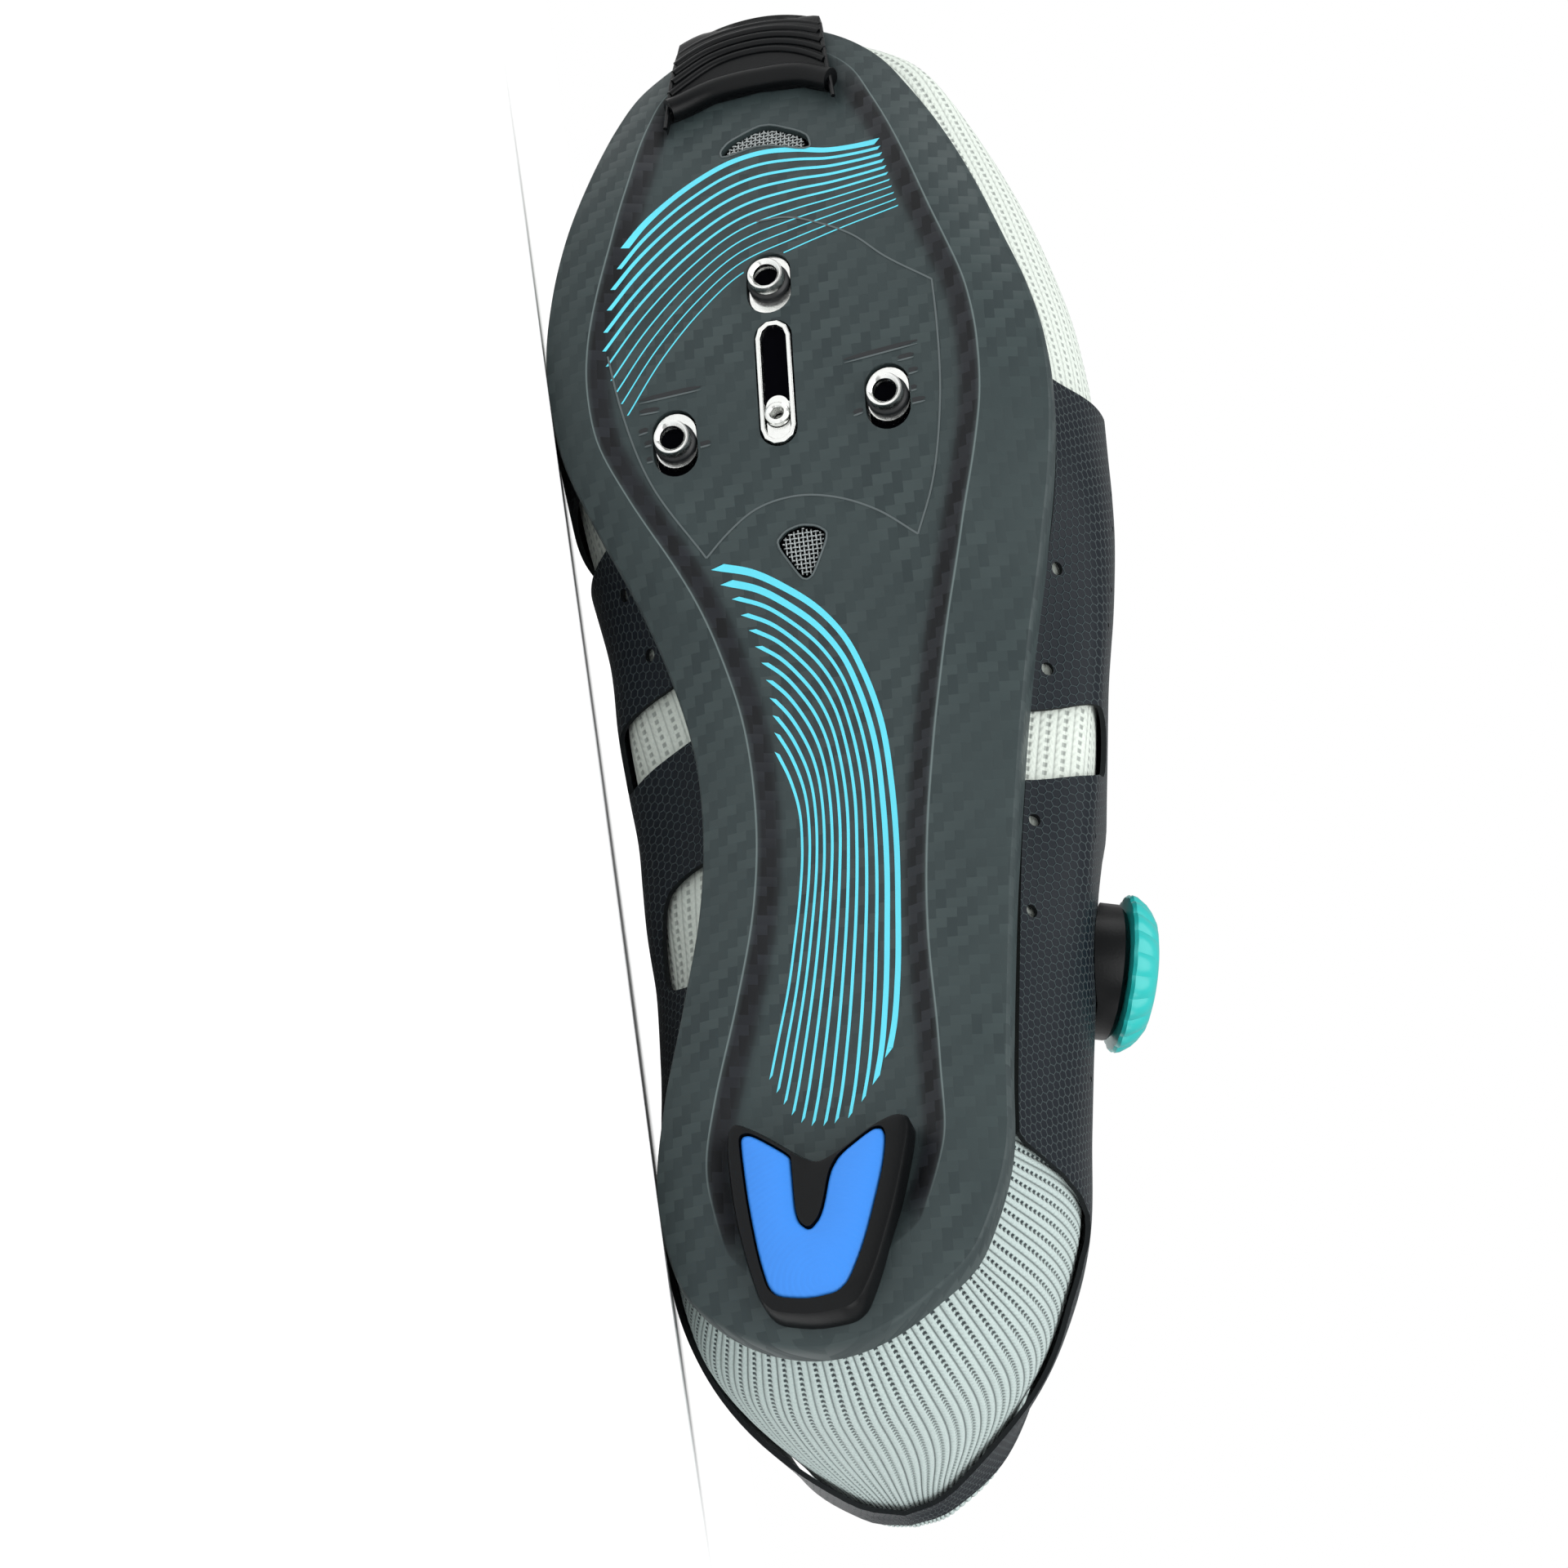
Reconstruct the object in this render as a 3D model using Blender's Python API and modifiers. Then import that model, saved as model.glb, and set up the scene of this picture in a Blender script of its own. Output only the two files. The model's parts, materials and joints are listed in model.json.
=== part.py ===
"""Cycling shoe, left foot: carbon sole, knitted upper, wrap overlay, lace dial and cleat nuts.

Shoe frame: +X towards the toe from the back of the heel, +Y lateral, +Z up from the ground line.
The finished shoe is then laid on its medial side by one parent empty.
"""
import math

import bmesh
import bpy
import numpy as np
from mathutils import Matrix, Vector

# Driving sizes, in metres
LENGTH = 0.288
BALL_WIDTH = 0.099
INSTEP_HEIGHT = 0.098
HEEL_HEIGHT = 0.093
ARCH_RISE = 0.012
TOE_SPRING = 0.0185
EDGE_RISE = 0.0035
CHANNEL_DEPTH = 0.0023
SIDE_HEIGHT = 0.0072
PLATE_THICKNESS = 0.0030
LIP_WIDTH = 0.0018
LIP_DEPTH = 0.0025
FIT_GAP = 0.0003
UPPER_WALL = 0.0022
OVERLAY_WALL = 0.0010
OVERLAY_GAP = 0.0011
FOOT_INSET = 0.0046
FOOT_SINK = 0.0012
WIDE_SHARE = 0.40
FACET_WIDTH = 0.0040
FILLET_WIDTH = 0.0045
FACET_SHARE = 0.70
BAND_CROWN = 0.0003
EDGE_ROUND = 0.0009
LIP_DRAFT = 0.0004
SHELF_REACH = 0.0065

# Outline of the sole: station in shares of LENGTH, sides in shares of BALL_WIDTH
OUTLINE_COLUMNS = ("station", "medial", "lateral")
OUTLINE_ROWS = (
    (0.000, -0.045, -0.045),
    (0.010, -0.125, 0.055),
    (0.025, -0.225, 0.145),
    (0.045, -0.290, 0.230),
    (0.075, -0.328, 0.285),
    (0.115, -0.345, 0.321),
    (0.180, -0.326, 0.332),
    (0.250, -0.286, 0.343),
    (0.320, -0.253, 0.355),
    (0.380, -0.245, 0.370),
    (0.440, -0.258, 0.389),
    (0.500, -0.299, 0.416),
    (0.555, -0.354, 0.452),
    (0.605, -0.417, 0.483),
    (0.655, -0.472, 0.498),
    (0.700, -0.495, 0.490),
    (0.740, -0.498, 0.463),
    (0.780, -0.485, 0.423),
    (0.830, -0.455, 0.370),
    (0.880, -0.410, 0.307),
    (0.925, -0.355, 0.230),
    (0.955, -0.302, 0.165),
    (0.975, -0.225, 0.095),
    (0.991, -0.152, 0.020),
    (1.000, -0.060, -0.060),
)

# Underside of the sole: arch in shares of ARCH_RISE, spring of TOE_SPRING, edge of EDGE_RISE,
# bands in shares of BALL_WIDTH, channel of CHANNEL_DEPTH, side of SIDE_HEIGHT
SOLE_COLUMNS = ("station", "arch", "spring", "edge", "medial_band", "lateral_band", "channel", "side")
SOLE_ROWS = (
    (0.000, 0.62, 0.00, 0.40, 0.110, 0.110, 0.00, 1.00),
    (0.050, 0.42, 0.00, 0.50, 0.108, 0.115, 0.30, 0.98),
    (0.090, 0.37, 0.00, 0.60, 0.109, 0.119, 0.80, 0.95),
    (0.140, 0.36, 0.00, 0.70, 0.104, 0.118, 1.00, 0.95),
    (0.200, 0.42, 0.00, 0.70, 0.111, 0.130, 1.00, 0.98),
    (0.270, 0.58, 0.00, 0.70, 0.116, 0.153, 1.00, 1.00),
    (0.350, 0.82, 0.00, 0.70, 0.115, 0.165, 1.00, 1.05),
    (0.420, 0.96, 0.00, 0.72, 0.112, 0.165, 1.00, 1.05),
    (0.475, 1.00, 0.00, 0.75, 0.111, 0.162, 1.00, 1.02),
    (0.530, 0.87, 0.00, 0.80, 0.107, 0.157, 1.00, 0.98),
    (0.585, 0.50, 0.00, 0.90, 0.090, 0.149, 1.00, 0.90),
    (0.640, 0.18, 0.00, 1.00, 0.080, 0.136, 1.00, 0.82),
    (0.690, 0.06, 0.00, 1.00, 0.086, 0.127, 1.00, 0.80),
    (0.760, 0.04, 0.00, 1.00, 0.103, 0.108, 1.00, 0.80),
    (0.820, 0.02, 0.09, 0.95, 0.112, 0.105, 1.00, 0.82),
    (0.870, 0.00, 0.26, 0.85, 0.103, 0.094, 1.00, 0.80),
    (0.915, 0.00, 0.48, 0.65, 0.085, 0.080, 0.80, 0.76),
    (0.955, 0.00, 0.70, 0.45, 0.068, 0.066, 0.30, 0.72),
    (1.000, 0.00, 1.00, 0.10, 0.058, 0.058, 0.00, 0.65),
)

# Ribs of the last, by the station of their foot on the sole: overhangs and sides in shares of
# BALL_WIDTH, heights in shares of the body height, crest_station of LENGTH, collar 1 on the open rim
LAST_COLUMNS = ("station", "medial_over", "lateral_over", "wide_height",
                "crest_station", "crest_height", "crest_medial", "crest_lateral", "collar")
LAST_ROWS = (
    (0.000, 0.040, 0.040, 0.44, -0.011, 1.000, -0.060, -0.060, 1.0),
    (0.012, 0.036, 0.042, 0.44, -0.004, 0.994, -0.140, 0.020, 1.0),
    (0.040, 0.036, 0.044, 0.45, 0.020, 0.945, -0.235, 0.125, 1.0),
    (0.090, 0.040, 0.050, 0.47, 0.073, 0.815, -0.300, 0.225, 1.0),
    (0.150, 0.048, 0.058, 0.46, 0.140, 0.705, -0.322, 0.275, 1.0),
    (0.220, 0.078, 0.068, 0.43, 0.215, 0.675, -0.312, 0.290, 1.0),
    (0.290, 0.115, 0.076, 0.40, 0.285, 0.765, -0.265, 0.275, 1.0),
    (0.350, 0.142, 0.082, 0.36, 0.335, 0.905, -0.165, 0.205, 0.9),
    (0.385, 0.148, 0.085, 0.36, 0.362, 0.985, -0.070, 0.110, 0.5),
    (0.410, 0.148, 0.087, 0.36, 0.375, 1.000, 0.015, 0.015, 0.0),
    (0.460, 0.147, 0.085, 0.36, 0.425, 0.910, 0.010, 0.010, 0.0),
    (0.510, 0.126, 0.078, 0.35, 0.480, 0.825, 0.005, 0.005, 0.0),
    (0.560, 0.086, 0.064, 0.36, 0.535, 0.750, 0.000, 0.000, 0.0),
    (0.610, 0.052, 0.045, 0.36, 0.590, 0.680, -0.004, -0.004, 0.0),
    (0.660, 0.027, 0.030, 0.36, 0.645, 0.615, -0.008, -0.008, 0.0),
    (0.715, 0.026, 0.040, 0.35, 0.700, 0.560, -0.014, -0.014, 0.0),
    (0.770, 0.032, 0.060, 0.34, 0.755, 0.512, -0.022, -0.022, 0.0),
    (0.830, 0.045, 0.069, 0.32, 0.808, 0.475, -0.032, -0.032, 0.0),
    (0.885, 0.062, 0.070, 0.30, 0.853, 0.448, -0.040, -0.040, 0.0),
    (0.940, 0.050, 0.066, 0.26, 0.892, 0.428, -0.046, -0.046, 0.0),
    (0.980, 0.034, 0.044, 0.29, 0.916, 0.412, -0.050, -0.050, 0.0),
    (1.000, 0.024, 0.024, 0.31, 0.926, 0.404, -0.052, -0.052, 0.0),
)


def spread(count, first=0.0, last=1.0):
    """Evenly spaced values from first to last."""
    return [first + (last - first) * k / (count - 1) for k in range(count)]


def turn_of(station):
    """Half-turn share whose cosine gives the station, so that both ends of a table come out round."""
    return math.acos(1.0 - 2.0 * min(max(station, 0.0), 1.0)) / math.pi


def station_of(turn):
    """Station, as a share of LENGTH, of a half-turn share."""
    return 0.5 * (1.0 - math.cos(math.pi * turn))


class Table:
    """Smooth values read between the rows of a station table."""

    def __init__(self, columns, rows):
        self.columns = columns
        self.knots = np.array([turn_of(row[0]) for row in rows])
        self.values = np.array(rows, float)
        steps = np.diff(self.knots)
        rates = np.diff(self.values, axis=0) / steps[:, None]
        self.slopes = np.zeros_like(self.values)
        before, after = steps[:-1, None], steps[1:, None]
        self.slopes[1:-1] = (rates[:-1] * after + rates[1:] * before) / (before + after)
        self.slopes[0] = rates[0]
        self.slopes[-1] = rates[-1]

    def at(self, turn, column):
        index = self.columns.index(column)
        cell = int(np.clip(np.searchsorted(self.knots, turn) - 1, 0, len(self.knots) - 2))
        step = self.knots[cell + 1] - self.knots[cell]
        u = (turn - self.knots[cell]) / step
        p0, p1 = self.values[cell, index], self.values[cell + 1, index]
        m0, m1 = self.slopes[cell, index] * step, self.slopes[cell + 1, index] * step
        return (p0 * (1 + 2 * u) * (1 - u) ** 2 + m0 * u * (1 - u) ** 2
                + p1 * u * u * (3 - 2 * u) + m1 * u * u * (u - 1))


OUTLINE = Table(OUTLINE_COLUMNS, OUTLINE_ROWS)
SOLE = Table(SOLE_COLUMNS, SOLE_ROWS)
LAST = Table(LAST_COLUMNS, LAST_ROWS)


def body_height(station):
    """Height that the ribs are shares of, from HEEL_HEIGHT at the back to INSTEP_HEIGHT."""
    blend = min(max((station - 0.10) / 0.25, 0.0), 1.0)
    return HEEL_HEIGHT + (INSTEP_HEIGHT - HEEL_HEIGHT) * blend * blend * (3 - 2 * blend)


def edge_point(turn, side):
    """Point of the sole's outline in plan."""
    return np.array([LENGTH * station_of(turn), BALL_WIDTH * OUTLINE.at(turn, side)])


def edge_normal(turn, side):
    """Outward direction of the outline in plan."""
    step = 0.004
    low, high = max(turn - step, 0.0), min(turn + step, 1.0)
    if turn <= 0.0 or turn >= 1.0:
        return np.array([-1.0 if turn <= 0.0 else 1.0, 0.0])
    along = edge_point(high, side) - edge_point(low, side)
    along /= np.linalg.norm(along)
    return np.array([along[1], -along[0]]) if side == "medial" else np.array([-along[1], along[0]])


def inset_point(turn, side, inset):
    """Outline point moved inwards in plan."""
    return edge_point(turn, side) - edge_normal(turn, side) * inset


def own_turn(turn, side, inset):
    """Half-turn share of the station that an inset point has come to lie at."""
    return turn_of(inset_point(turn, side, inset)[0] / LENGTH)


def ridge_height(turn):
    """Lowest line of the underside above the ground line."""
    return ARCH_RISE * SOLE.at(turn, "arch") + TOE_SPRING * SOLE.at(turn, "spring")


def edge_height(turn):
    return ridge_height(turn) + EDGE_RISE * SOLE.at(turn, "edge")


def lip_height(turn):
    """Top of the lip that holds the upper."""
    return edge_height(turn) + SIDE_HEIGHT * SOLE.at(turn, "side")


def channel_height(turn):
    return ridge_height(turn) + CHANNEL_DEPTH * SOLE.at(turn, "channel")


def rib_point(turn, side, rise):
    """Point of the upper's outer face: rise 0 at the sole, WIDE_SHARE at the widest, 1 at the crest."""
    over = BALL_WIDTH * LAST.at(turn, side + "_over")
    outward = edge_normal(turn, side)
    foot_height = lip_height(own_turn(turn, side, FOOT_INSET)) - FOOT_SINK
    foot = np.array([*inset_point(turn, side, FOOT_INSET), foot_height])
    tall = body_height(station_of(turn))
    wide = np.array([*(edge_point(turn, side) + outward * over), tall * LAST.at(turn, "wide_height")])
    crest_station = LAST.at(turn, "crest_station")
    crest = np.array([LENGTH * crest_station, BALL_WIDTH * LAST.at(turn, "crest_" + side),
                      body_height(crest_station) * LAST.at(turn, "crest_height")])
    collar = min(max(LAST.at(turn, "collar"), 0.0), 1.0)
    if rise <= WIDE_SHARE:
        climb = wide[2] - foot[2]
        spread = outward * (0.33 * (over + FOOT_INSET))
        start = foot + np.array([*spread, 0.40 * climb])
        handles = (foot, start, wide - np.array([0.0, 0.0, 0.45 * climb]), wide)
        return bezier(handles, rise / WIDE_SHARE)
    reach = crest - wide
    lift = wide + np.array([0.0, 0.0, 0.55 * reach[2]])
    over_top = np.array([*(0.50 * (1 - collar) * reach[:2]), (0.40 * collar + 0.04 * (1 - collar)) * reach[2]])
    return bezier((wide, lift, crest - over_top, crest), (rise - WIDE_SHARE) / (1 - WIDE_SHARE))


def bezier(handles, u):
    p0, p1, p2, p3 = handles
    return p0 * (1 - u) ** 3 + 3 * p1 * u * (1 - u) ** 2 + 3 * p2 * u * u * (1 - u) + p3 * u ** 3


def around(turn, side, step):
    """Place on the outline a step along its side, which may pass the toe or the heel."""
    turn += step
    if 0.0 <= turn <= 1.0:
        return turn, side
    return (-turn if turn < 0.0 else 2.0 - turn), ("lateral" if side == "medial" else "medial")


def skin_normal(turn, side, rise):
    """Outward direction of the upper's outer face."""
    step = 0.006
    level = min(rise, 0.97)
    along = rib_point(*around(turn, side, step), level) - rib_point(*around(turn, side, -step), level)
    above, below = min(max(rise, 0.0) + step, 1.0), max(rise - step, 0.0)
    climb = rib_point(turn, side, above) - rib_point(turn, side, below)
    normal = np.cross(along, climb) if side == "medial" else np.cross(climb, along)
    return normal / np.linalg.norm(normal)


def skin_point(turn, side, rise, offset):
    """Point at a distance outside the upper's outer face, the same from both sides on the ridge."""
    point = rib_point(turn, side, rise)
    normal = skin_normal(turn, side, rise)
    if rise > 0.999 and LAST.at(turn, "collar") < 0.02:
        # The two sides meet on the ridge
        normal = skin_normal(turn, "medial", rise) + skin_normal(turn, "lateral", rise)
        normal /= np.linalg.norm(normal)
    return point + normal * offset


# Where the overlay leaves the sole behind and climbs round the heel: rise of its lower edge
HEEL_EDGE_COLUMNS = ("station", "medial", "lateral")
HEEL_EDGE_ROWS = (
    (0.000, 0.86, 0.86),
    (0.015, 0.79, 0.80),
    (0.030, 0.68, 0.70),
    (0.045, 0.58, 0.60),
    (0.059, 0.50, 0.52),
    (0.076, 0.44, 0.46),
    (0.100, 0.40, 0.44),
    (0.125, 0.37, 0.40),
    (0.140, 0.35, 0.10),
    (0.155, 0.28, 0.00),
    (0.170, 0.00, 0.00),
    (1.000, 0.00, 0.00),
)
OVERLAY_FRONT = {"medial": 0.745, "lateral": 0.680}
OVERLAY_FRONT_CREST = 0.715
OVERLAY_EVEN_TO = 0.45
OVERLAY_TOP_COLLAR = 0.93
OVERLAY_LOW_RISE = 0.075

# Cut-outs of the overlay: corners as (station, rise), from the sole upwards
OVERLAY_GAPS = {
    "medial": (
        ((0.653, -0.05), (0.657, 0.20), (0.648, 0.38), (0.632, 0.52), (0.618, 0.56), (0.604, 0.52),
         (0.608, 0.36), (0.610, 0.20), (0.604, -0.05)),
        ((0.503, -0.05), (0.508, 0.18), (0.506, 0.34), (0.498, 0.39), (0.466, 0.39), (0.458, 0.34),
         (0.464, 0.18), (0.465, -0.05)),
        ((0.371, -0.05), (0.372, 0.12), (0.362, 0.22), (0.348, 0.25), (0.305, 0.27), (0.288, 0.24),
         (0.283, 0.12), (0.281, -0.05)),
    ),
    "lateral": (
        ((0.445, -0.05), (0.452, 0.12), (0.474, 0.38), (0.466, 0.44), (0.432, 0.44), (0.420, 0.38),
         (0.400, 0.12), (0.394, -0.05)),
    ),
}
OVERLAY_HOLES = {
    "medial": ((0.578, 0.12), (0.535, 0.12)),
    "lateral": ((0.552, 0.12), (0.483, 0.13), (0.371, 0.12), (0.305, 0.12)),
}
OVERLAY_HOLE_RADIUS = 0.0013
HOLE_CORNERS = 10

# Throat of the overlay over the instep, in plan: station in shares of LENGTH, half width in metres
THROAT_COLUMNS = ("station", "half_width")
THROAT_ROWS = ((0.330, 0.024), (0.400, 0.021), (0.480, 0.018), (0.560, 0.015), (0.610, 0.011), (0.625, 0.006))
THROAT_SIDE = -0.002

# Hardware of the sole
CLEAT_BACK_STATION = 0.660
CLEAT_SIDE = -0.031
BOLT_SPREAD = 0.0420
BOLT_REACH = 0.0302
BOLT_SKEW = 0.0030
SLOT_WIDTH = 0.0088
SLOT_LENGTH = 0.0138
NUT_RADIUS = 0.0035
NUT_COLLAR_RADIUS = 0.0041
NUT_PROUD = 0.0034
NUT_COLLAR_PROUD = 0.0006
NUT_BORE_RADIUS = 0.0024
NUT_BASE_THICKNESS = 0.0010
NUT_BASE_SIZE = 0.0126
NUT_SEAT_GAP = 0.0005
CENTRE_SLOT_STATION = 0.688
CENTRE_SLOT_SIDE = -0.037
CENTRE_SLOT_WIDTH = 0.0075
CENTRE_SLOT_LENGTH = 0.0270
INSOLE_ROOM = 0.0026
INSOLE_GAP = 0.0007
INSOLE_THICKNESS = 0.0035
INSOLE_INSET = 0.0078

# Heel pad: its frame and the coloured insert, from the pad's own centre, in metres
PAD_STATION = 0.076
PAD_SIDE = -0.024
PAD_FRAME = ((0.0195, -0.0165), (0.0214, -0.0150), (0.0180, -0.0095), (0.0130, -0.0032), (0.0112, 0.0000),
             (0.0130, 0.0040), (0.0172, 0.0103), (0.0190, 0.0148), (0.0180, 0.0176), (0.0130, 0.0170),
             (0.0018, 0.0143), (-0.0107, 0.0102), (-0.0183, 0.0063), (-0.0190, -0.0026),
             (-0.0170, -0.0112), (-0.0064, -0.0141), (0.0034, -0.0159), (0.0146, -0.0168))
PAD_INSERT = ((0.0183, -0.0143), (0.0186, -0.0120), (0.0131, -0.0047), (0.0115, -0.0046), (0.0004, -0.0042),
              (-0.0019, -0.0020), (0.0008, 0.0003), (0.0111, 0.0025), (0.0166, 0.0104), (0.0164, 0.0126),
              (0.0142, 0.0132), (0.0082, 0.0123), (-0.0060, 0.0082), (-0.0148, 0.0042),
              (-0.0157, -0.0025), (-0.0142, -0.0098), (-0.0064, -0.0118), (0.0048, -0.0134),
              (0.0145, -0.0142))
PAD_POCKET = 0.0028
PAD_INSERT_RECESS = 0.0004

# Vents of the sole, from their own centres, in metres
TOE_VENT_STATION = 0.890
TOE_VENT_SIDE = -0.056
TOE_VENT = ((-0.0050, -0.0102), (0.0000, -0.0092), (0.0048, -0.0006), (0.0010, 0.0064), (-0.0015, 0.0080),
            (-0.0036, 0.0076), (-0.0012, 0.0000))
WAIST_VENT_STATION = 0.572
WAIST_VENT_SIDE = -0.012
WAIST_VENT = ((0.0020, -0.0052), (0.0038, -0.0030), (0.0044, 0.0000), (0.0036, 0.0030), (0.0015, 0.0052),
              (-0.0058, 0.0010), (-0.0062, -0.0002), (-0.0054, -0.0014))
MESH_THICKNESS = 0.0008
MESH_RECESS = 0.0010

# Rubber bumper under the toe
BUMPER_WALL = 0.0024
BUMPER_DROP = 0.0015
BUMPER_PLAN = ((0.905, -0.245), (0.916, -0.240), (0.930, -0.150), (0.934, -0.060), (0.932, 0.030),
               (0.922, 0.090), (0.912, 0.098), (1.030, 0.045), (1.030, -0.215))

# Lace dial on the lateral side, and the lace
DIAL_TURN_STATION = 0.310
DIAL_RISE = 0.55
DIAL_BASE_RADIUS = 0.0130
DIAL_BASE_HEIGHT = 0.0042
DIAL_KNOB_RADIUS = 0.0152
DIAL_KNOB_HEIGHT = 0.0066
DIAL_KNOB_TOP_RADIUS = 0.0118
DIAL_GRIPS = 20
LACE_RADIUS = 0.0008
GUIDE_ROWS = ((0.435, 0.80), (0.505, 0.79), (0.570, 0.78))
GUIDE_LENGTH = 0.010
GUIDE_WIDTH = 0.007
GUIDE_THICKNESS = 0.0022
GUIDE_SINK = 0.0020

# Densities in kilograms per cubic metre, for the centre of mass that the shoe rests over
DENSITIES = {
    "carbon_weave": 1100.0,
    "black_rubber": 1200.0,
    "nickel_steel": 7850.0,
    "vent_mesh": 300.0,
    "blue_pad": 1100.0,
    "pale_knit": 300.0,
    "hexagon_wrap": 1100.0,
    "insole_foam": 300.0,
    "teal_dial": 1100.0,
    "lace_cord": 300.0,
}

# Mesh densities and reaches of the cutters
OPENING_REACH = 0.015
LINER_WALL = 0.0009
LINER_PROUD = 0.0002
LINER_FLOOR = 0.0006
SMALL_NUT_X = -0.0070
SMALL_NUT_BORE = 0.0012
SMALL_NUT_RADIUS = 0.0024
SMALL_NUT_PROUD = 0.0010
NUT_STEPS = 20
PAD_REACH = 0.0080
BUMPER_DEPTH = 0.030
INSOLE_SLOPE = 0.004
INSOLE_SECTIONS = 25
KNIT_ROWS = 13
KNIT_RIBS = 25
OVERLAY_ROWS = 12
OVERLAY_STATIONS = (0.0, 0.006, 0.018, 0.034, 0.054, 0.078, 0.105, 0.128, 0.142, 0.156, 0.172, 0.205, 0.245,
                    0.285, 0.325, 0.365, 0.405, 0.45, 0.495, 0.54, 0.585, 0.63, 0.68, 0.745)
GAP_REACH = 0.010
GAP_SINK = 0.003
THROAT_LOW = 0.045
THROAT_HIGH = 0.130
DIAL_BASE_SINK = 0.004
CLEARANCE_DEPTH = 0.0060
DIAL_STEPS = 24
SIDE_FACING = 0.6

HEEL_EDGE = Table(HEEL_EDGE_COLUMNS, HEEL_EDGE_ROWS)

SOLE_RUNGS = 39
BUMPER_RUNG = 26

part = bpy.data.collections.new("cycling_shoe")
cutters = bpy.data.collections.new("cutters")


def clear_scene():
    for item in list(bpy.data.objects):
        bpy.data.objects.remove(item, do_unlink=True)


def finish(name, colour, roughness, metallic=0.0):
    """Principled material of one sub-part."""
    made = bpy.data.materials.new(name)
    made.use_nodes = True
    shader = made.node_tree.nodes["Principled BSDF"]
    shader.inputs["Base Color"].default_value = (*colour, 1.0)
    shader.inputs["Roughness"].default_value = roughness
    shader.inputs["Metallic"].default_value = metallic
    made.diffuse_color = (*colour, 1.0)
    return made


def add_object(name, mesh, coat=None):
    """Object of the part when it has a material, or else a hidden cutter."""
    made = bpy.data.objects.new(name, mesh)
    if coat is None:
        cutters.objects.link(made)
        made.hide_render = True
        made.display_type = "WIRE"
    else:
        part.objects.link(made)
        mesh.materials.append(coat)
    return made


def mesh_from(name, points, faces):
    """Mesh of a hand-made loft, with its doubles merged."""
    mesh = bpy.data.meshes.new(name)
    mesh.from_pydata([tuple(point) for point in points], [], faces)
    work = bmesh.new()
    work.from_mesh(mesh)
    bmesh.ops.remove_doubles(work, verts=work.verts, dist=0.00001)
    work.to_mesh(mesh)
    work.free()
    return mesh


def cut(target, tool, operation="DIFFERENCE"):
    step = target.modifiers.new("cut_" + tool.name, "BOOLEAN")
    step.operation = operation
    step.solver = "EXACT"
    step.object = tool


def shell(target, thickness, outwards):
    step = target.modifiers.new("wall", "SOLIDIFY")
    step.thickness = thickness
    step.offset = 1.0 if outwards else -1.0
    step.use_even_offset = True


def loft_mesh(name, rings):
    """Closed mesh through rings of equal length, whose end rings are folded flat or get a face."""
    size = len(rings[0])
    points = [point for ring in rings for point in ring]
    faces = []
    for row in range(len(rings) - 1):
        for k in range(size):
            after = (k + 1) % size
            faces.append((row * size + k, row * size + after, (row + 1) * size + after, (row + 1) * size + k))
    mesh = mesh_from(name, points, faces)
    work = bmesh.new()
    work.from_mesh(mesh)
    bmesh.ops.holes_fill(work, edges=work.edges, sides=0)
    bmesh.ops.recalc_face_normals(work, faces=work.faces)
    work.to_mesh(mesh)
    work.free()
    return mesh


def plate_top(turn, side, inset):
    """Height of the sole's upper face at an inset from the outline, inside the lip."""
    outer = LIP_WIDTH + LIP_DRAFT
    inner = BALL_WIDTH * SOLE.at(turn, side + "_band") + SHELF_REACH
    own = own_turn(turn, side, inset)
    high = lip_height(own) - LIP_DEPTH
    low = channel_height(own) + PLATE_THICKNESS
    share = min(max((inset - outer) / (inner - outer), 0.0), 1.0)
    return high + (low - high) * share


def facet_height(turn):
    """Foot of the ridge's steep inner facet."""
    return ridge_height(turn) + FACET_SHARE * (channel_height(turn) - ridge_height(turn))


def band_height(turn):
    """Middle of the outer band, a little below the straight line from ridge to edge."""
    return 0.5 * (ridge_height(turn) + edge_height(turn)) - BAND_CROWN


def side_height(turn):
    return edge_height(turn) + 0.35 * (lip_height(turn) - edge_height(turn))


def sole_section(turn, side, grow):
    """Points of one half section of the sole, from the underside's middle to the top's.

    Each height is read at the station that its own point lies at.
    """
    band = BALL_WIDTH * SOLE.at(turn, side + "_band")
    inner = LIP_WIDTH + LIP_DRAFT + grow
    reach = band + SHELF_REACH
    outside = (
        (band + FACET_WIDTH + FILLET_WIDTH, channel_height, -grow),
        (band + FACET_WIDTH, facet_height, -grow),
        (band, ridge_height, -grow),
        (0.5 * band, band_height, -grow),
        (EDGE_ROUND - grow, edge_height, -grow),
        (-grow, side_height, 0.0),
        (EDGE_ROUND * 0.4 - grow, lip_height, grow),
        (LIP_WIDTH + grow, lip_height, grow),
    )
    points = [np.array([*inset_point(turn, side, inset), height(own_turn(turn, side, inset)) + raised])
              for inset, height, raised in outside]
    points += [np.array([*inset_point(turn, side, inset), plate_top(turn, side, inset) + grow])
               for inset in (inner, reach)]
    return points


def sole_mesh(name, grow, first_rung=0):
    """Closed loft of the sole, with every face moved outwards by grow."""
    rings = []
    for turn in spread(SOLE_RUNGS)[first_rung:]:
        halves = {side: sole_section(turn, side, grow) for side in ("medial", "lateral")}
        under = 0.5 * (halves["medial"][0] + halves["lateral"][0])
        top = 0.5 * (halves["medial"][-1] + halves["lateral"][-1])
        rings.append([under, *halves["medial"], top, *reversed(halves["lateral"])])
    return loft_mesh(name, rings)


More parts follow.
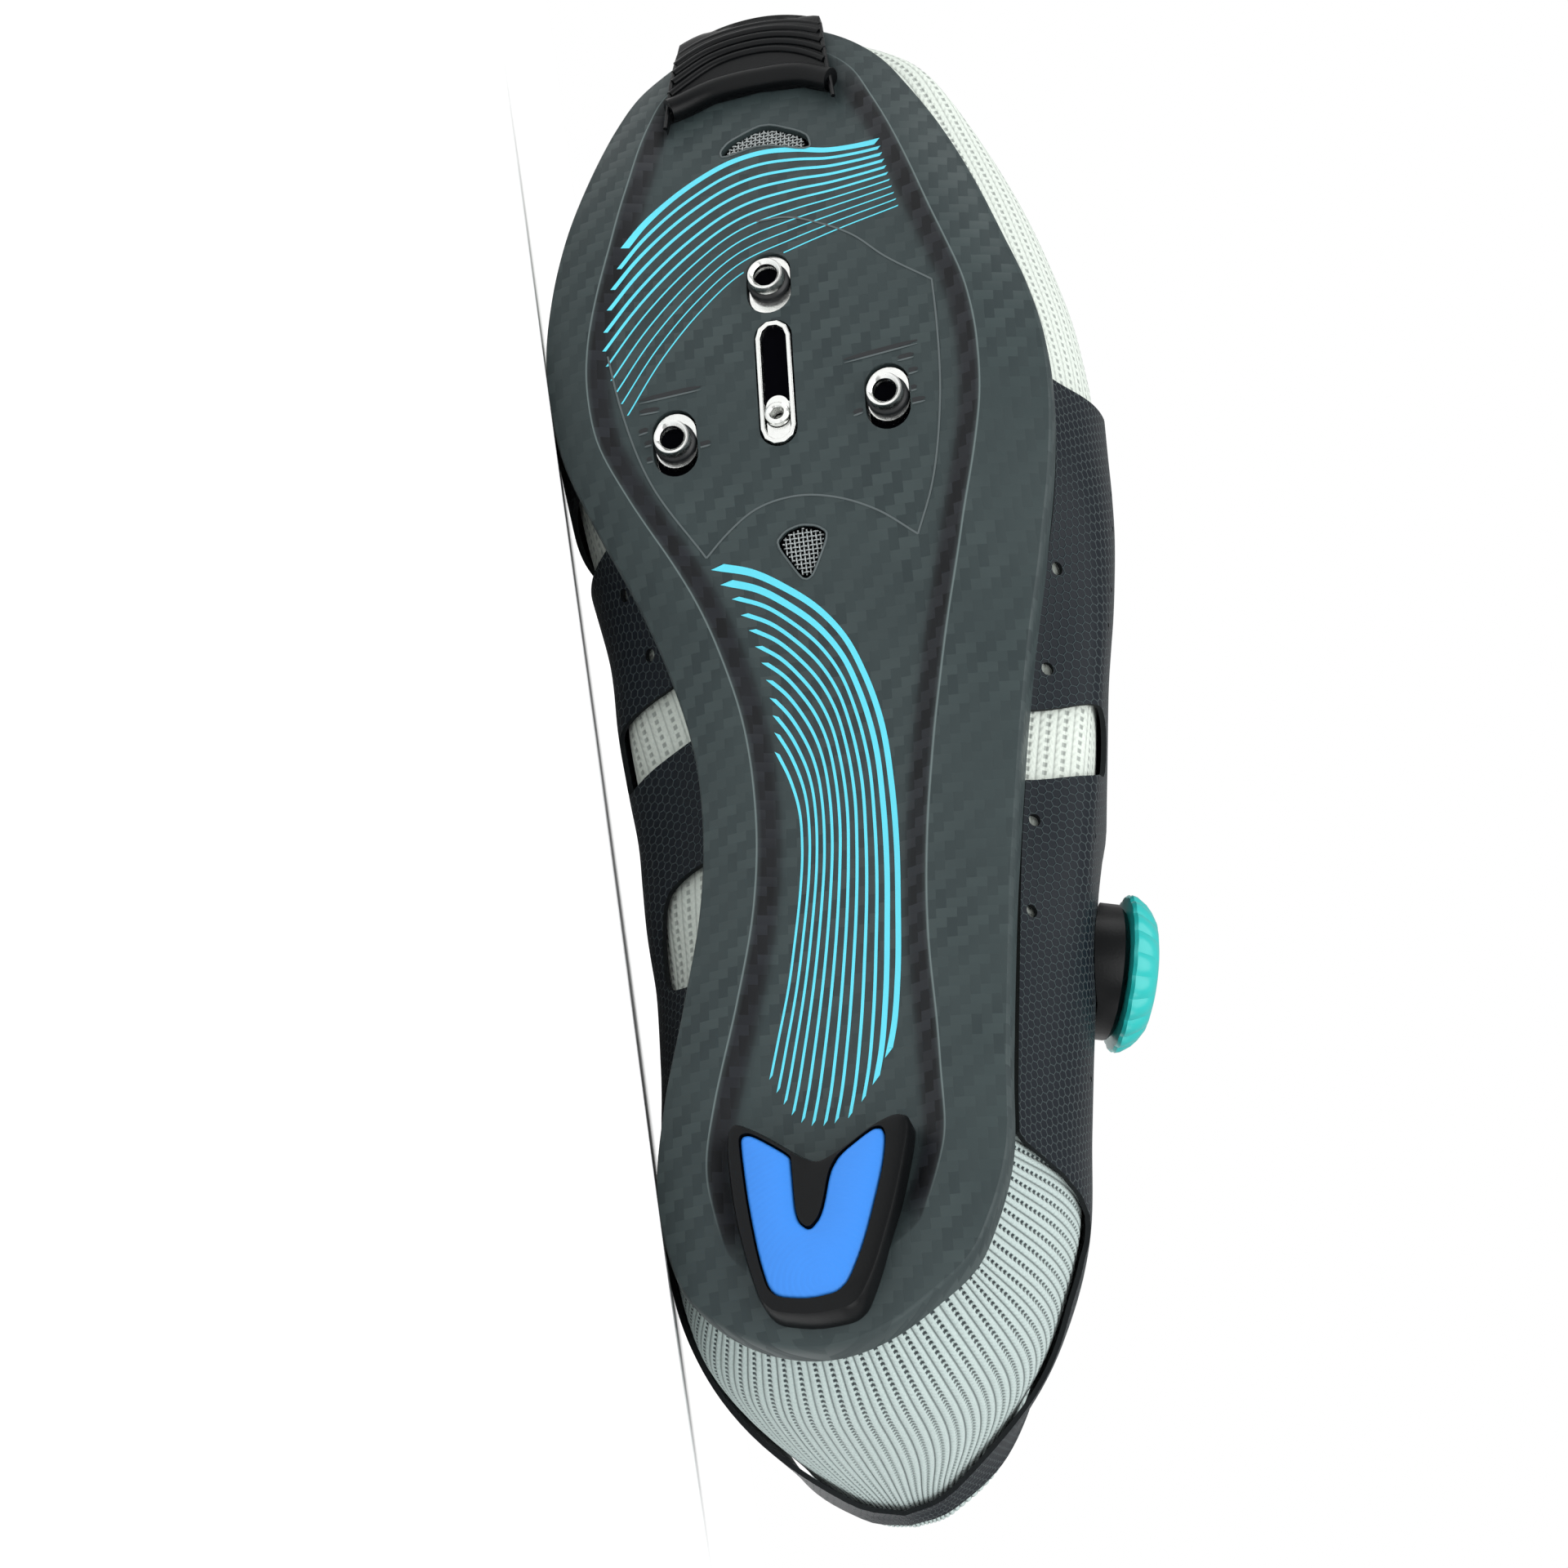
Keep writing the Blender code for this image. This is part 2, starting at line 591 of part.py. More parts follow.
def skin_mesh(name, columns, offset):
    """Open face over the last, from columns of (turn, side, rise) places with the same count in each."""
    rows = len(columns[0])
    points = [skin_point(*place, offset) for column in columns for place in column]
    faces = []
    for column in range(len(columns) - 1):
        low, high = column * rows, (column + 1) * rows
        for row in range(rows - 1):
            faces.append((low + row, high + row, high + row + 1, low + row + 1))
    return mesh_from(name, points, faces)


def turned(name, profile, coat, steps):
    """Round piece from a closed profile of (radius, height) points around its own Z."""
    mesh = bpy.data.meshes.new(name)
    edges = [(k, (k + 1) % len(profile)) for k in range(len(profile))]
    mesh.from_pydata([(radius, 0.0, height) for radius, height in profile], edges, [])
    made = add_object(name, mesh, coat)
    screw = made.modifiers.new("turn", "SCREW")
    screw.steps = steps
    screw.render_steps = steps
    screw.use_merge_vertices = True
    screw.merge_threshold = 0.00001
    screw.use_smooth_shade = False
    return made


def prism(name, outline, low, high, coat=None):
    """Straight piece between two heights, made from a flat outline curve."""
    curve = bpy.data.curves.new(name, "CURVE")
    curve.dimensions = "2D"
    curve.fill_mode = "BOTH"
    curve.extrude = 0.5 * (high - low)
    spline = curve.splines.new("POLY")
    spline.points.add(len(outline) - 1)
    for point, (x, y) in zip(spline.points, outline):
        point.co = (x, y, 0.0, 1.0)
    spline.use_cyclic_u = True
    flat = bpy.data.objects.new(name + "_outline", curve)
    cutters.objects.link(flat)
    mesh = evaluated_mesh(flat)
    bpy.data.objects.remove(flat)
    mesh.transform(Matrix.Translation((0.0, 0.0, 0.5 * (low + high))))
    return add_object(name, mesh, coat)


def evaluated_mesh(item):
    """Mesh of an object as its modifiers leave it, closed where its caps were loose."""
    graph = bpy.context.evaluated_depsgraph_get()
    mesh = bpy.data.meshes.new_from_object(item.evaluated_get(graph))
    work = bmesh.new()
    work.from_mesh(mesh)
    bmesh.ops.remove_doubles(work, verts=work.verts, dist=0.000001)
    bmesh.ops.recalc_face_normals(work, faces=work.faces)
    work.to_mesh(mesh)
    work.free()
    mesh.materials.clear()
    return mesh


def skin_block(name, side, corners, inner, outer):
    """Cutter through the wall over the last, with corners given as (station, rise)."""
    count = len(corners)
    points = []
    for offset in (inner, outer):
        points += [skin_point(turn_of(station), side, rise, offset) for station, rise in corners]
    faces = [tuple(range(count)), tuple(range(count, 2 * count))]
    faces += [(k, (k + 1) % count, count + (k + 1) % count, count + k) for k in range(count)]
    mesh = mesh_from(name, points, faces)
    work = bmesh.new()
    work.from_mesh(mesh)
    bmesh.ops.triangulate(work, faces=[face for face in work.faces if len(face.verts) > 4])
    bmesh.ops.recalc_face_normals(work, faces=work.faces)
    work.to_mesh(mesh)
    work.free()
    return add_object(name, mesh)


def skin_frame(turn, side, rise, offset):
    """Placement on the last: Z outwards, X towards the toe."""
    up = Vector(skin_normal(turn, side, rise))
    ahead = Vector((1.0, 0.0, 0.0))
    ahead = (ahead - up * ahead.dot(up)).normalized()
    turn_matrix = Matrix((ahead, up.cross(ahead), up)).transposed().to_4x4()
    return Matrix.Translation(Vector(skin_point(turn, side, rise, offset))) @ turn_matrix


def under_frame(station, side_share):
    """Placement on the sole's channel: Z out of the underside, X towards the toe."""
    step = 0.004
    low, high = station - step, station + step
    climb = channel_height(turn_of(high)) - channel_height(turn_of(low))
    ahead = Vector((2 * step * LENGTH, 0.0, climb)).normalized()
    out = Vector((ahead.z, 0.0, -ahead.x))
    turn_matrix = Matrix((ahead, out.cross(ahead), out)).transposed().to_4x4()
    point = Vector((station * LENGTH, side_share * BALL_WIDTH, channel_height(turn_of(station))))
    return Matrix.Translation(point) @ turn_matrix


def stadium(length, width, steps=5):
    """Slot outline with round ends, its length along X."""
    radius = 0.5 * width
    reach = 0.5 * length - radius
    points = []
    for end, start in ((1.0, -0.5), (-1.0, 0.5)):
        for k in range(steps + 1):
            angle = math.pi * (start + k / steps)
            points.append((end * reach + radius * math.cos(angle), radius * math.sin(angle)))
    return points


def circle(radius, corners):
    return [(radius * math.cos(2 * math.pi * k / corners), radius * math.sin(2 * math.pi * k / corners))
            for k in range(corners)]


def shrunk(outline, gap):
    """Outline moved inwards by a gap."""
    points = [Vector(point) for point in outline]
    area = sum(a.x * b.y - b.x * a.y for a, b in zip(points, points[1:] + points[:1]))
    inwards = 1.0 if area > 0 else -1.0
    result = []
    for k, point in enumerate(points):
        before = (point - points[k - 1]).normalized()
        after = (points[(k + 1) % len(points)] - point).normalized()
        left_before = Vector((-before.y, before.x)) * inwards
        left_after = Vector((-after.y, after.x)) * inwards
        middle = (left_before + left_after).normalized()
        result.append(tuple(point + middle * (gap / max(middle.dot(left_after), 0.5))))
    return result


def build_outsole(carbon):
    sole = add_object("outsole", sole_mesh("outsole", 0.0), carbon)
    for name, outline, place in sole_openings():
        tool = prism(name, outline, -OPENING_REACH, OPENING_REACH)
        tool.matrix_basis = place
        cut(sole, tool)
    return sole


def cleat_places():
    """Placement of each cleat slot and nut on the underside."""
    back = CLEAT_BACK_STATION
    skew = 0.5 * BOLT_SKEW / LENGTH
    spread_share = 0.5 * BOLT_SPREAD / BALL_WIDTH
    return {
        "front": under_frame(back + BOLT_REACH / LENGTH, CLEAT_SIDE - 0.01),
        "medial": under_frame(back - skew, CLEAT_SIDE - spread_share),
        "lateral": under_frame(back + skew, CLEAT_SIDE + spread_share),
    }


def sole_openings():
    """Name, outline and placement of every hole through the sole."""
    slot = stadium(SLOT_LENGTH, SLOT_WIDTH)
    found = [("cleat_slot_" + name, slot, place) for name, place in cleat_places().items()]
    centre = stadium(CENTRE_SLOT_LENGTH, CENTRE_SLOT_WIDTH)
    found.append(("centre_slot", centre, under_frame(CENTRE_SLOT_STATION, CENTRE_SLOT_SIDE)))
    found.append(("toe_vent", TOE_VENT, under_frame(TOE_VENT_STATION, TOE_VENT_SIDE)))
    found.append(("waist_vent", WAIST_VENT, under_frame(WAIST_VENT_STATION, WAIST_VENT_SIDE)))
    return found


def build_vent_meshes(mesh_coat):
    for name, outline, place in sole_openings()[-2:]:
        plate = prism(name + "_mesh", shrunk(outline, FIT_GAP), -MESH_RECESS - MESH_THICKNESS, -MESH_RECESS,
                      mesh_coat)
        plate.matrix_basis = place


def build_cleat_nuts(steel):
    seat = -PLATE_THICKNESS - NUT_SEAT_GAP
    profile = ((NUT_BORE_RADIUS, NUT_PROUD), (NUT_RADIUS, NUT_PROUD), (NUT_RADIUS, NUT_COLLAR_PROUD),
               (NUT_COLLAR_RADIUS, NUT_COLLAR_PROUD), (NUT_COLLAR_RADIUS, seat),
               (0.5 * NUT_BASE_SIZE, seat), (0.5 * NUT_BASE_SIZE, seat - NUT_BASE_THICKNESS),
               (NUT_BORE_RADIUS, seat - NUT_BASE_THICKNESS))
    for name, place in cleat_places().items():
        nut = turned("cleat_nut_" + name, profile, steel, NUT_STEPS)
        nut.matrix_basis = place


def build_centre_slot(steel):
    """Metal liner of the centre slot, with the small nut at its back."""
    place = under_frame(CENTRE_SLOT_STATION, CENTRE_SLOT_SIDE)
    outer = shrunk(stadium(CENTRE_SLOT_LENGTH, CENTRE_SLOT_WIDTH), FIT_GAP)
    inner = shrunk(outer, LINER_WALL)
    low = -PLATE_THICKNESS
    liner = prism("centre_slot_liner", outer, low, LINER_PROUD, steel)
    liner.matrix_basis = place
    bore = prism("liner_bore", inner, low + LINER_FLOOR, 2 * OPENING_REACH)
    bore.matrix_basis = place
    cut(liner, bore)
    nut_place = place @ Matrix.Translation((SMALL_NUT_X, 0.0, 0.0))
    foot = low + LINER_FLOOR + FIT_GAP
    profile = ((SMALL_NUT_BORE, SMALL_NUT_PROUD), (SMALL_NUT_RADIUS, SMALL_NUT_PROUD),
               (SMALL_NUT_RADIUS, foot), (SMALL_NUT_BORE, foot))
    nut = turned("centre_slot_nut", profile, steel, NUT_STEPS)
    nut.matrix_basis = nut_place


def build_heel_pad(black, colour):
    place = Matrix.Translation((PAD_STATION * LENGTH, PAD_SIDE * BALL_WIDTH, 0.0))
    frame = prism("heel_pad_frame", PAD_FRAME, 0.0, PAD_REACH, black)
    frame.matrix_basis = place
    cut(frame, bpy.data.objects["sole_clearance"])
    pocket = prism("pad_pocket", PAD_INSERT, -PAD_POCKET, PAD_POCKET)
    pocket.matrix_basis = place
    cut(frame, pocket)
    insert = prism("heel_pad_insert", shrunk(PAD_INSERT, FIT_GAP), PAD_INSERT_RECESS, PAD_POCKET - FIT_GAP, colour)
    insert.matrix_basis = place


def build_bumper(rubber):
    grown = add_object("toe_bumper", sole_mesh("toe_bumper", FIT_GAP + BUMPER_WALL, BUMPER_RUNG), rubber)
    cut(grown, bpy.data.objects["sole_clearance"])
    start, end = BUMPER_PLAN[0][0], 1.0
    low = 0.5 * (ridge_height(turn_of(start)) + lip_height(turn_of(start))) - BUMPER_DROP
    high = 0.5 * (edge_height(turn_of(end)) + lip_height(turn_of(end))) - BUMPER_DROP
    lean = math.atan2(high - low, (end - start) * LENGTH)
    outline = [((station - start) * LENGTH / math.cos(lean), side * BALL_WIDTH) for station, side in BUMPER_PLAN]
    region = prism("bumper_region", outline, -BUMPER_DEPTH, 0.0)
    region.matrix_basis = Matrix.Translation((start * LENGTH, 0.0, low)) @ Matrix.Rotation(-lean, 4, "Y")
    cut(grown, region, "INTERSECT")


def build_insole(foam):
    rings = []
    for turn in spread(INSOLE_SECTIONS):
        halves = {}
        for side in ("medial", "lateral"):
            inner = BALL_WIDTH * SOLE.at(turn, side + "_band") + SHELF_REACH
            rest = plate_top(turn, side, INSOLE_INSET) + INSOLE_GAP
            inner = max(inner, INSOLE_INSET + INSOLE_SLOPE)
            middle = channel_height(own_turn(turn, side, inner)) + PLATE_THICKNESS + INSOLE_ROOM
            profile = ((inner, middle), (INSOLE_INSET, rest), (INSOLE_INSET, rest + 0.6 * INSOLE_THICKNESS),
                       (inner, middle + INSOLE_THICKNESS))
            halves[side] = [np.array([*inset_point(turn, side, inset), height]) for inset, height in profile]
        under = 0.5 * (halves["medial"][0] + halves["lateral"][0])
        top = 0.5 * (halves["medial"][-1] + halves["lateral"][-1])
        rings.append([under, *halves["medial"], top, *reversed(halves["lateral"])])
    add_object("insole", loft_mesh("insole", rings), foam)


def build_knit_upper(knit):
    columns = []
    rises = spread(KNIT_ROWS)
    turns = spread(KNIT_RIBS)
    columns += [[(turn, "medial", rise) for rise in rises] for turn in turns]
    columns += [[(turn, "lateral", rise) for rise in rises] for turn in reversed(turns)]
    upper = add_object("knit_upper", skin_mesh("knit_upper", columns, 0.0), knit)
    shell(upper, UPPER_WALL, outwards=False)
    cut(upper, bpy.data.objects["sole_clearance"])


def overlay_column(base, side):
    """Places up one column of the overlay, named by its station on an overlay with an upright front."""
    low = max(HEEL_EDGE.at(turn_of(base), side), OVERLAY_LOW_RISE)
    beyond = max(base - OVERLAY_EVEN_TO, 0.0) / (OVERLAY_STATIONS[-1] - OVERLAY_EVEN_TO)
    column = []
    for share in spread(OVERLAY_ROWS):
        front = OVERLAY_FRONT[side] + (OVERLAY_FRONT_CREST - OVERLAY_FRONT[side]) * share * share
        turn = turn_of(min(base, OVERLAY_EVEN_TO) + beyond * (front - OVERLAY_EVEN_TO))
        collar = min(max(LAST.at(turn, "collar"), 0.0), 1.0)
        top = 1.0 - (1.0 - OVERLAY_TOP_COLLAR) * collar
        column.append((turn, side, low + (top - low) * share))
    return column


def overlay_skin(name):
    """Inner face of the whole overlay, before its cut-outs."""
    columns = [overlay_column(station, "lateral") for station in reversed(OVERLAY_STATIONS)]
    columns += [overlay_column(station, "medial") for station in OVERLAY_STATIONS]
    return skin_mesh(name, columns, OVERLAY_GAP)


def build_overlay_clearance():
    """Hidden block from deep under the overlay to a fit gap above its outer face."""
    clear = add_object("overlay_clearance", overlay_skin("overlay_clearance"))
    above = OVERLAY_WALL + FIT_GAP
    step = clear.modifiers.new("wall", "SOLIDIFY")
    step.thickness = above + CLEARANCE_DEPTH
    step.offset = (above - CLEARANCE_DEPTH) / (above + CLEARANCE_DEPTH)
    step.use_even_offset = True
    return clear


def build_overlay(wrap):
    overlay = add_object("wrap_overlay", overlay_skin("wrap_overlay"), wrap)
    shell(overlay, OVERLAY_WALL, outwards=True)
    for side, gaps in OVERLAY_GAPS.items():
        for number, corners in enumerate(gaps):
            cut(overlay, skin_block(f"{side}_gap_{number + 1}", side, corners, -GAP_SINK, GAP_REACH))
        for number, (station, rise) in enumerate(OVERLAY_HOLES[side]):
            tool = prism(f"{side}_hole_{number + 1}", circle(OVERLAY_HOLE_RADIUS, HOLE_CORNERS), -GAP_REACH, GAP_REACH)
            tool.matrix_basis = skin_frame(turn_of(station), side, rise, 0.0)
            cut(overlay, tool)
    throat = [(station * LENGTH, THROAT_SIDE + half) for station, half in THROAT_ROWS]
    throat += [(station * LENGTH, THROAT_SIDE - half) for station, half in reversed(THROAT_ROWS)]
    cut(overlay, prism("throat", throat, THROAT_LOW, THROAT_HIGH))
    cut(overlay, bpy.data.objects["sole_clearance"])


def build_dial(black, colour):
    turn = turn_of(DIAL_TURN_STATION)
    outside = OVERLAY_GAP + OVERLAY_WALL
    place = skin_frame(turn, "lateral", DIAL_RISE, outside + FIT_GAP)
    base = turned("dial_base", ((0.0, DIAL_BASE_HEIGHT), (DIAL_BASE_RADIUS - 0.001, DIAL_BASE_HEIGHT),
                                (DIAL_BASE_RADIUS, DIAL_BASE_HEIGHT - 0.001),
                                (DIAL_BASE_RADIUS, -DIAL_BASE_SINK), (0.0, -DIAL_BASE_SINK)), black, DIAL_STEPS)
    base.matrix_basis = place
    cut(base, bpy.data.objects["overlay_clearance"])
    low = DIAL_BASE_HEIGHT + FIT_GAP
    knob = turned("dial_knob", ((0.0, low + DIAL_KNOB_HEIGHT), (0.60 * DIAL_KNOB_RADIUS, low + 0.92 * DIAL_KNOB_HEIGHT),
                                (0.82 * DIAL_KNOB_RADIUS, low + 0.70 * DIAL_KNOB_HEIGHT),
                                (DIAL_KNOB_RADIUS, low + 0.15 * DIAL_KNOB_HEIGHT),
                                (0.97 * DIAL_KNOB_RADIUS, low), (0.0, low)), colour, DIAL_STEPS)
    knob.matrix_basis = place


def build_lace(cord_coat, black):
    """Six guides beside the throat, and the lace that joins them to the dial."""
    outside = OVERLAY_GAP + OVERLAY_WALL
    stops = []
    for number, (station, rise) in enumerate(GUIDE_ROWS):
        for side in ("lateral", "medial"):
            guide = prism(f"lace_guide_{side}_{number + 1}", stadium(GUIDE_LENGTH, GUIDE_WIDTH, 4),
                          -GUIDE_SINK, GUIDE_THICKNESS, black)
            guide.matrix_basis = skin_frame(turn_of(station), side, rise, outside + FIT_GAP)
            cut(guide, bpy.data.objects["overlay_clearance"])
            stops.append((station, side, rise))
    lift = outside + 2 * FIT_GAP + GUIDE_THICKNESS + FIT_GAP + LACE_RADIUS
    path = []
    for (station, side, rise), (next_station, next_side, next_rise) in zip(stops, stops[1:]):
        for share in spread(8)[:-1]:
            along = station + (next_station - station) * share
            if share < 0.5:
                path.append(skin_point(turn_of(along), side, rise + (1.0 - rise) * 2 * share, lift))
            else:
                path.append(skin_point(turn_of(along), next_side, next_rise + (1.0 - next_rise) * 2 * (1 - share), lift))
    station, side, rise = stops[-1]
    path.append(skin_point(turn_of(station), side, rise, lift))
    station, side, rise = stops[0]
    lead = [skin_point(turn_of(DIAL_TURN_STATION + share * (station - DIAL_TURN_STATION)), "lateral",
                       DIAL_RISE + share * (rise - DIAL_RISE), lift) for share in spread(6, 0.62, 0.92)]
    curve = bpy.data.curves.new("lace", "CURVE")
    curve.dimensions = "3D"
    curve.bevel_depth = LACE_RADIUS
    curve.bevel_resolution = 1
    curve.use_fill_caps = True
    points = lead + path
    spline = curve.splines.new("POLY")
    spline.points.add(len(points) - 1)
    for target, point in zip(spline.points, points):
        target.co = (*point, 1.0)
    lace = bpy.data.objects.new("lace", curve)
    part.objects.link(lace)
    curve.materials.append(cord_coat)


def margin_inside(face, point):
    """Distance from a hull face's nearest edge to the point dropped onto that face, negative outside."""
    corners = [vertex.co for vertex in face.verts]
    margins = []
    for a, b in zip(corners, corners[1:] + corners[:1]):
        outward = (b - a).cross(face.normal).normalized()
        margins.append((a - point).dot(outward))
    return min(margins)


def rest_frame(points, centre):
    """Placement that lays the shoe on its medial side, on the face of its hull where it is steadiest."""
    work = bmesh.new()
    for point in points:
        work.verts.new(point)
    bmesh.ops.convex_hull(work, input=work.verts)
    work.normal_update()
    medial = [face for face in work.faces if face.normal.y < -SIDE_FACING]
    best = max(medial, key=lambda face: margin_inside(face, centre)).normal.copy()
    work.free()
    up = -best
    ahead = Vector((-1.0, 0.0, 0.0))
    ahead = (ahead - up * ahead.dot(up)).normalized()
    turned_frame = Matrix((ahead, up.cross(ahead), up)).to_4x4()
    laid = [turned_frame @ Vector(point) for point in points]
    low = Vector([min(point[k] for point in laid) for k in range(3)])
    high = Vector([max(point[k] for point in laid) for k in range(3)])
    return Matrix.Translation((-0.5 * (low.x + high.x), -0.5 * (low.y + high.y), -low.z)) @ turned_frame


def lay_down():
    """Parents every object to one empty and lays it on its side, with the origin under its box."""
    points = []
    weighted = Vector()
    total = 0.0
    for item in part.objects:
        density = DENSITIES[item.data.materials[0].name]
        mesh = evaluated_mesh(item)
        mesh.transform(item.matrix_basis)
        points += [vertex.co.copy() for vertex in mesh.vertices]
        mesh.calc_loop_triangles()
        for triangle in mesh.loop_triangles:
            a, b, c = (mesh.vertices[index].co for index in triangle.vertices)
            weight = density * a.dot(b.cross(c)) / 6.0
            weighted += weight * (a + b + c) / 4.0
            total += weight
        bpy.data.meshes.remove(mesh)
    pose = bpy.data.objects.new("laid_on_side", None)
    part.objects.link(pose)
    pose.matrix_basis = rest_frame(points, weighted / total)
    for item in list(part.objects) + list(cutters.objects):
        if item is not pose:
            item.parent = pose
    bpy.context.view_layer.update()
    return pose


def main():
    clear_scene()
    bpy.context.scene.collection.children.link(part)
    bpy.context.scene.collection.children.link(cutters)
    carbon = finish("carbon_weave", (0.055, 0.068, 0.072), 0.38)
    rubber = finish("black_rubber", (0.020, 0.024, 0.026), 0.70)
    steel = finish("nickel_steel", (0.62, 0.62, 0.60), 0.28, 1.0)
    mesh_coat = finish("vent_mesh", (0.35, 0.37, 0.37), 0.60)
    blue = finish("blue_pad", (0.045, 0.270, 0.860), 0.45)
    knit = finish("pale_knit", (0.78, 0.80, 0.80), 0.85)
    wrap = finish("hexagon_wrap", (0.020, 0.028, 0.040), 0.42)
    foam = finish("insole_foam", (0.050, 0.055, 0.060), 0.90)
    teal = finish("teal_dial", (0.070, 0.580, 0.560), 0.35)
    cord_coat = finish("lace_cord", (0.120, 0.130, 0.140), 0.50)
    add_object("sole_clearance", sole_mesh("sole_clearance", FIT_GAP))
    build_outsole(carbon)
    build_bumper(rubber)
    build_vent_meshes(mesh_coat)
    build_cleat_nuts(steel)
    build_centre_slot(steel)
    build_heel_pad(rubber, blue)
    build_insole(foam)
    build_knit_upper(knit)
    build_overlay(wrap)
    build_overlay_clearance()
    build_dial(rubber, teal)
    build_lace(cord_coat, rubber)
    lay_down()


main()
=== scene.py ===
"""Looks of the cycling shoe: carbon sole from beneath, knitted upper, hexagon wrap, nuts, pads and dial.

Pieces are shaped in the shoe's own frame (+X towards the toe, +Y lateral, +Z up, in metres) from the
same tables as the part's source, and then laid on the medial side by the place that the mounts give.
"""

import json
import math

import bmesh
import bpy
import numpy as np
from mathutils import Matrix, Vector
from mathutils.bvhtree import BVHTree
from mathutils.geometry import delaunay_2d_cdt


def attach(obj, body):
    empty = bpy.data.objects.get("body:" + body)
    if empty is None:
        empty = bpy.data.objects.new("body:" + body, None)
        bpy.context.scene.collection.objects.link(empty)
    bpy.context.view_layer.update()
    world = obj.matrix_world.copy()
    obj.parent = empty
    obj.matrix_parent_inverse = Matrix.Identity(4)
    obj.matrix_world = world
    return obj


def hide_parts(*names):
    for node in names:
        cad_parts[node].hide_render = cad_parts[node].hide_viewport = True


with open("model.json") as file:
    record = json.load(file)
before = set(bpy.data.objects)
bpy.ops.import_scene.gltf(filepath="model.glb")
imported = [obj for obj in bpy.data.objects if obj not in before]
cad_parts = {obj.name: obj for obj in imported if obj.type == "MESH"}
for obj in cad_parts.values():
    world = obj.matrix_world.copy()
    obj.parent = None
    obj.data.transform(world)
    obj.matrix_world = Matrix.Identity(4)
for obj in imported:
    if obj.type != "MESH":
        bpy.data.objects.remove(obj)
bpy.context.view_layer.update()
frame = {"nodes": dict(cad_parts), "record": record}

# Driving sizes of the shoe, in metres, as in the part's source
LENGTH = 0.288
BALL_WIDTH = 0.099
INSTEP_HEIGHT = 0.098
HEEL_HEIGHT = 0.093
ARCH_RISE = 0.012
TOE_SPRING = 0.0185
EDGE_RISE = 0.0035
CHANNEL_DEPTH = 0.0023
SIDE_HEIGHT = 0.0072
PLATE_THICKNESS = 0.0030
LIP_WIDTH = 0.0018
LIP_DEPTH = 0.0025
LIP_DRAFT = 0.0004
FIT_GAP = 0.0003
UPPER_WALL = 0.0022
OVERLAY_WALL = 0.0010
OVERLAY_GAP = 0.0011
FOOT_INSET = 0.0046
FOOT_SINK = 0.0012
WIDE_SHARE = 0.40
FACET_WIDTH = 0.0040
FILLET_WIDTH = 0.0045
FACET_SHARE = 0.70
BAND_CROWN = 0.0003
EDGE_ROUND = 0.0009
SHELF_REACH = 0.0065
MM = 0.001
MEDIAL, LATERAL = -1.0, 1.0

# Outline of the sole: station in shares of LENGTH, sides in shares of BALL_WIDTH
OUTLINE_COLUMNS = ("station", "medial", "lateral")
OUTLINE_ROWS = (
    (0.000, -0.045, -0.045),
    (0.010, -0.175, 0.085),
    (0.025, -0.243, 0.160),
    (0.045, -0.296, 0.236),
    (0.075, -0.328, 0.285),
    (0.115, -0.345, 0.321),
    (0.180, -0.326, 0.332),
    (0.250, -0.286, 0.343),
    (0.320, -0.253, 0.355),
    (0.380, -0.245, 0.370),
    (0.440, -0.258, 0.389),
    (0.500, -0.299, 0.416),
    (0.555, -0.354, 0.452),
    (0.605, -0.417, 0.483),
    (0.655, -0.472, 0.498),
    (0.700, -0.495, 0.490),
    (0.740, -0.498, 0.463),
    (0.780, -0.485, 0.423),
    (0.830, -0.455, 0.370),
    (0.880, -0.410, 0.307),
    (0.925, -0.360, 0.238),
    (0.955, -0.312, 0.184),
    (0.975, -0.252, 0.128),
    (0.991, -0.184, 0.056),
    (1.000, -0.060, -0.060),
)

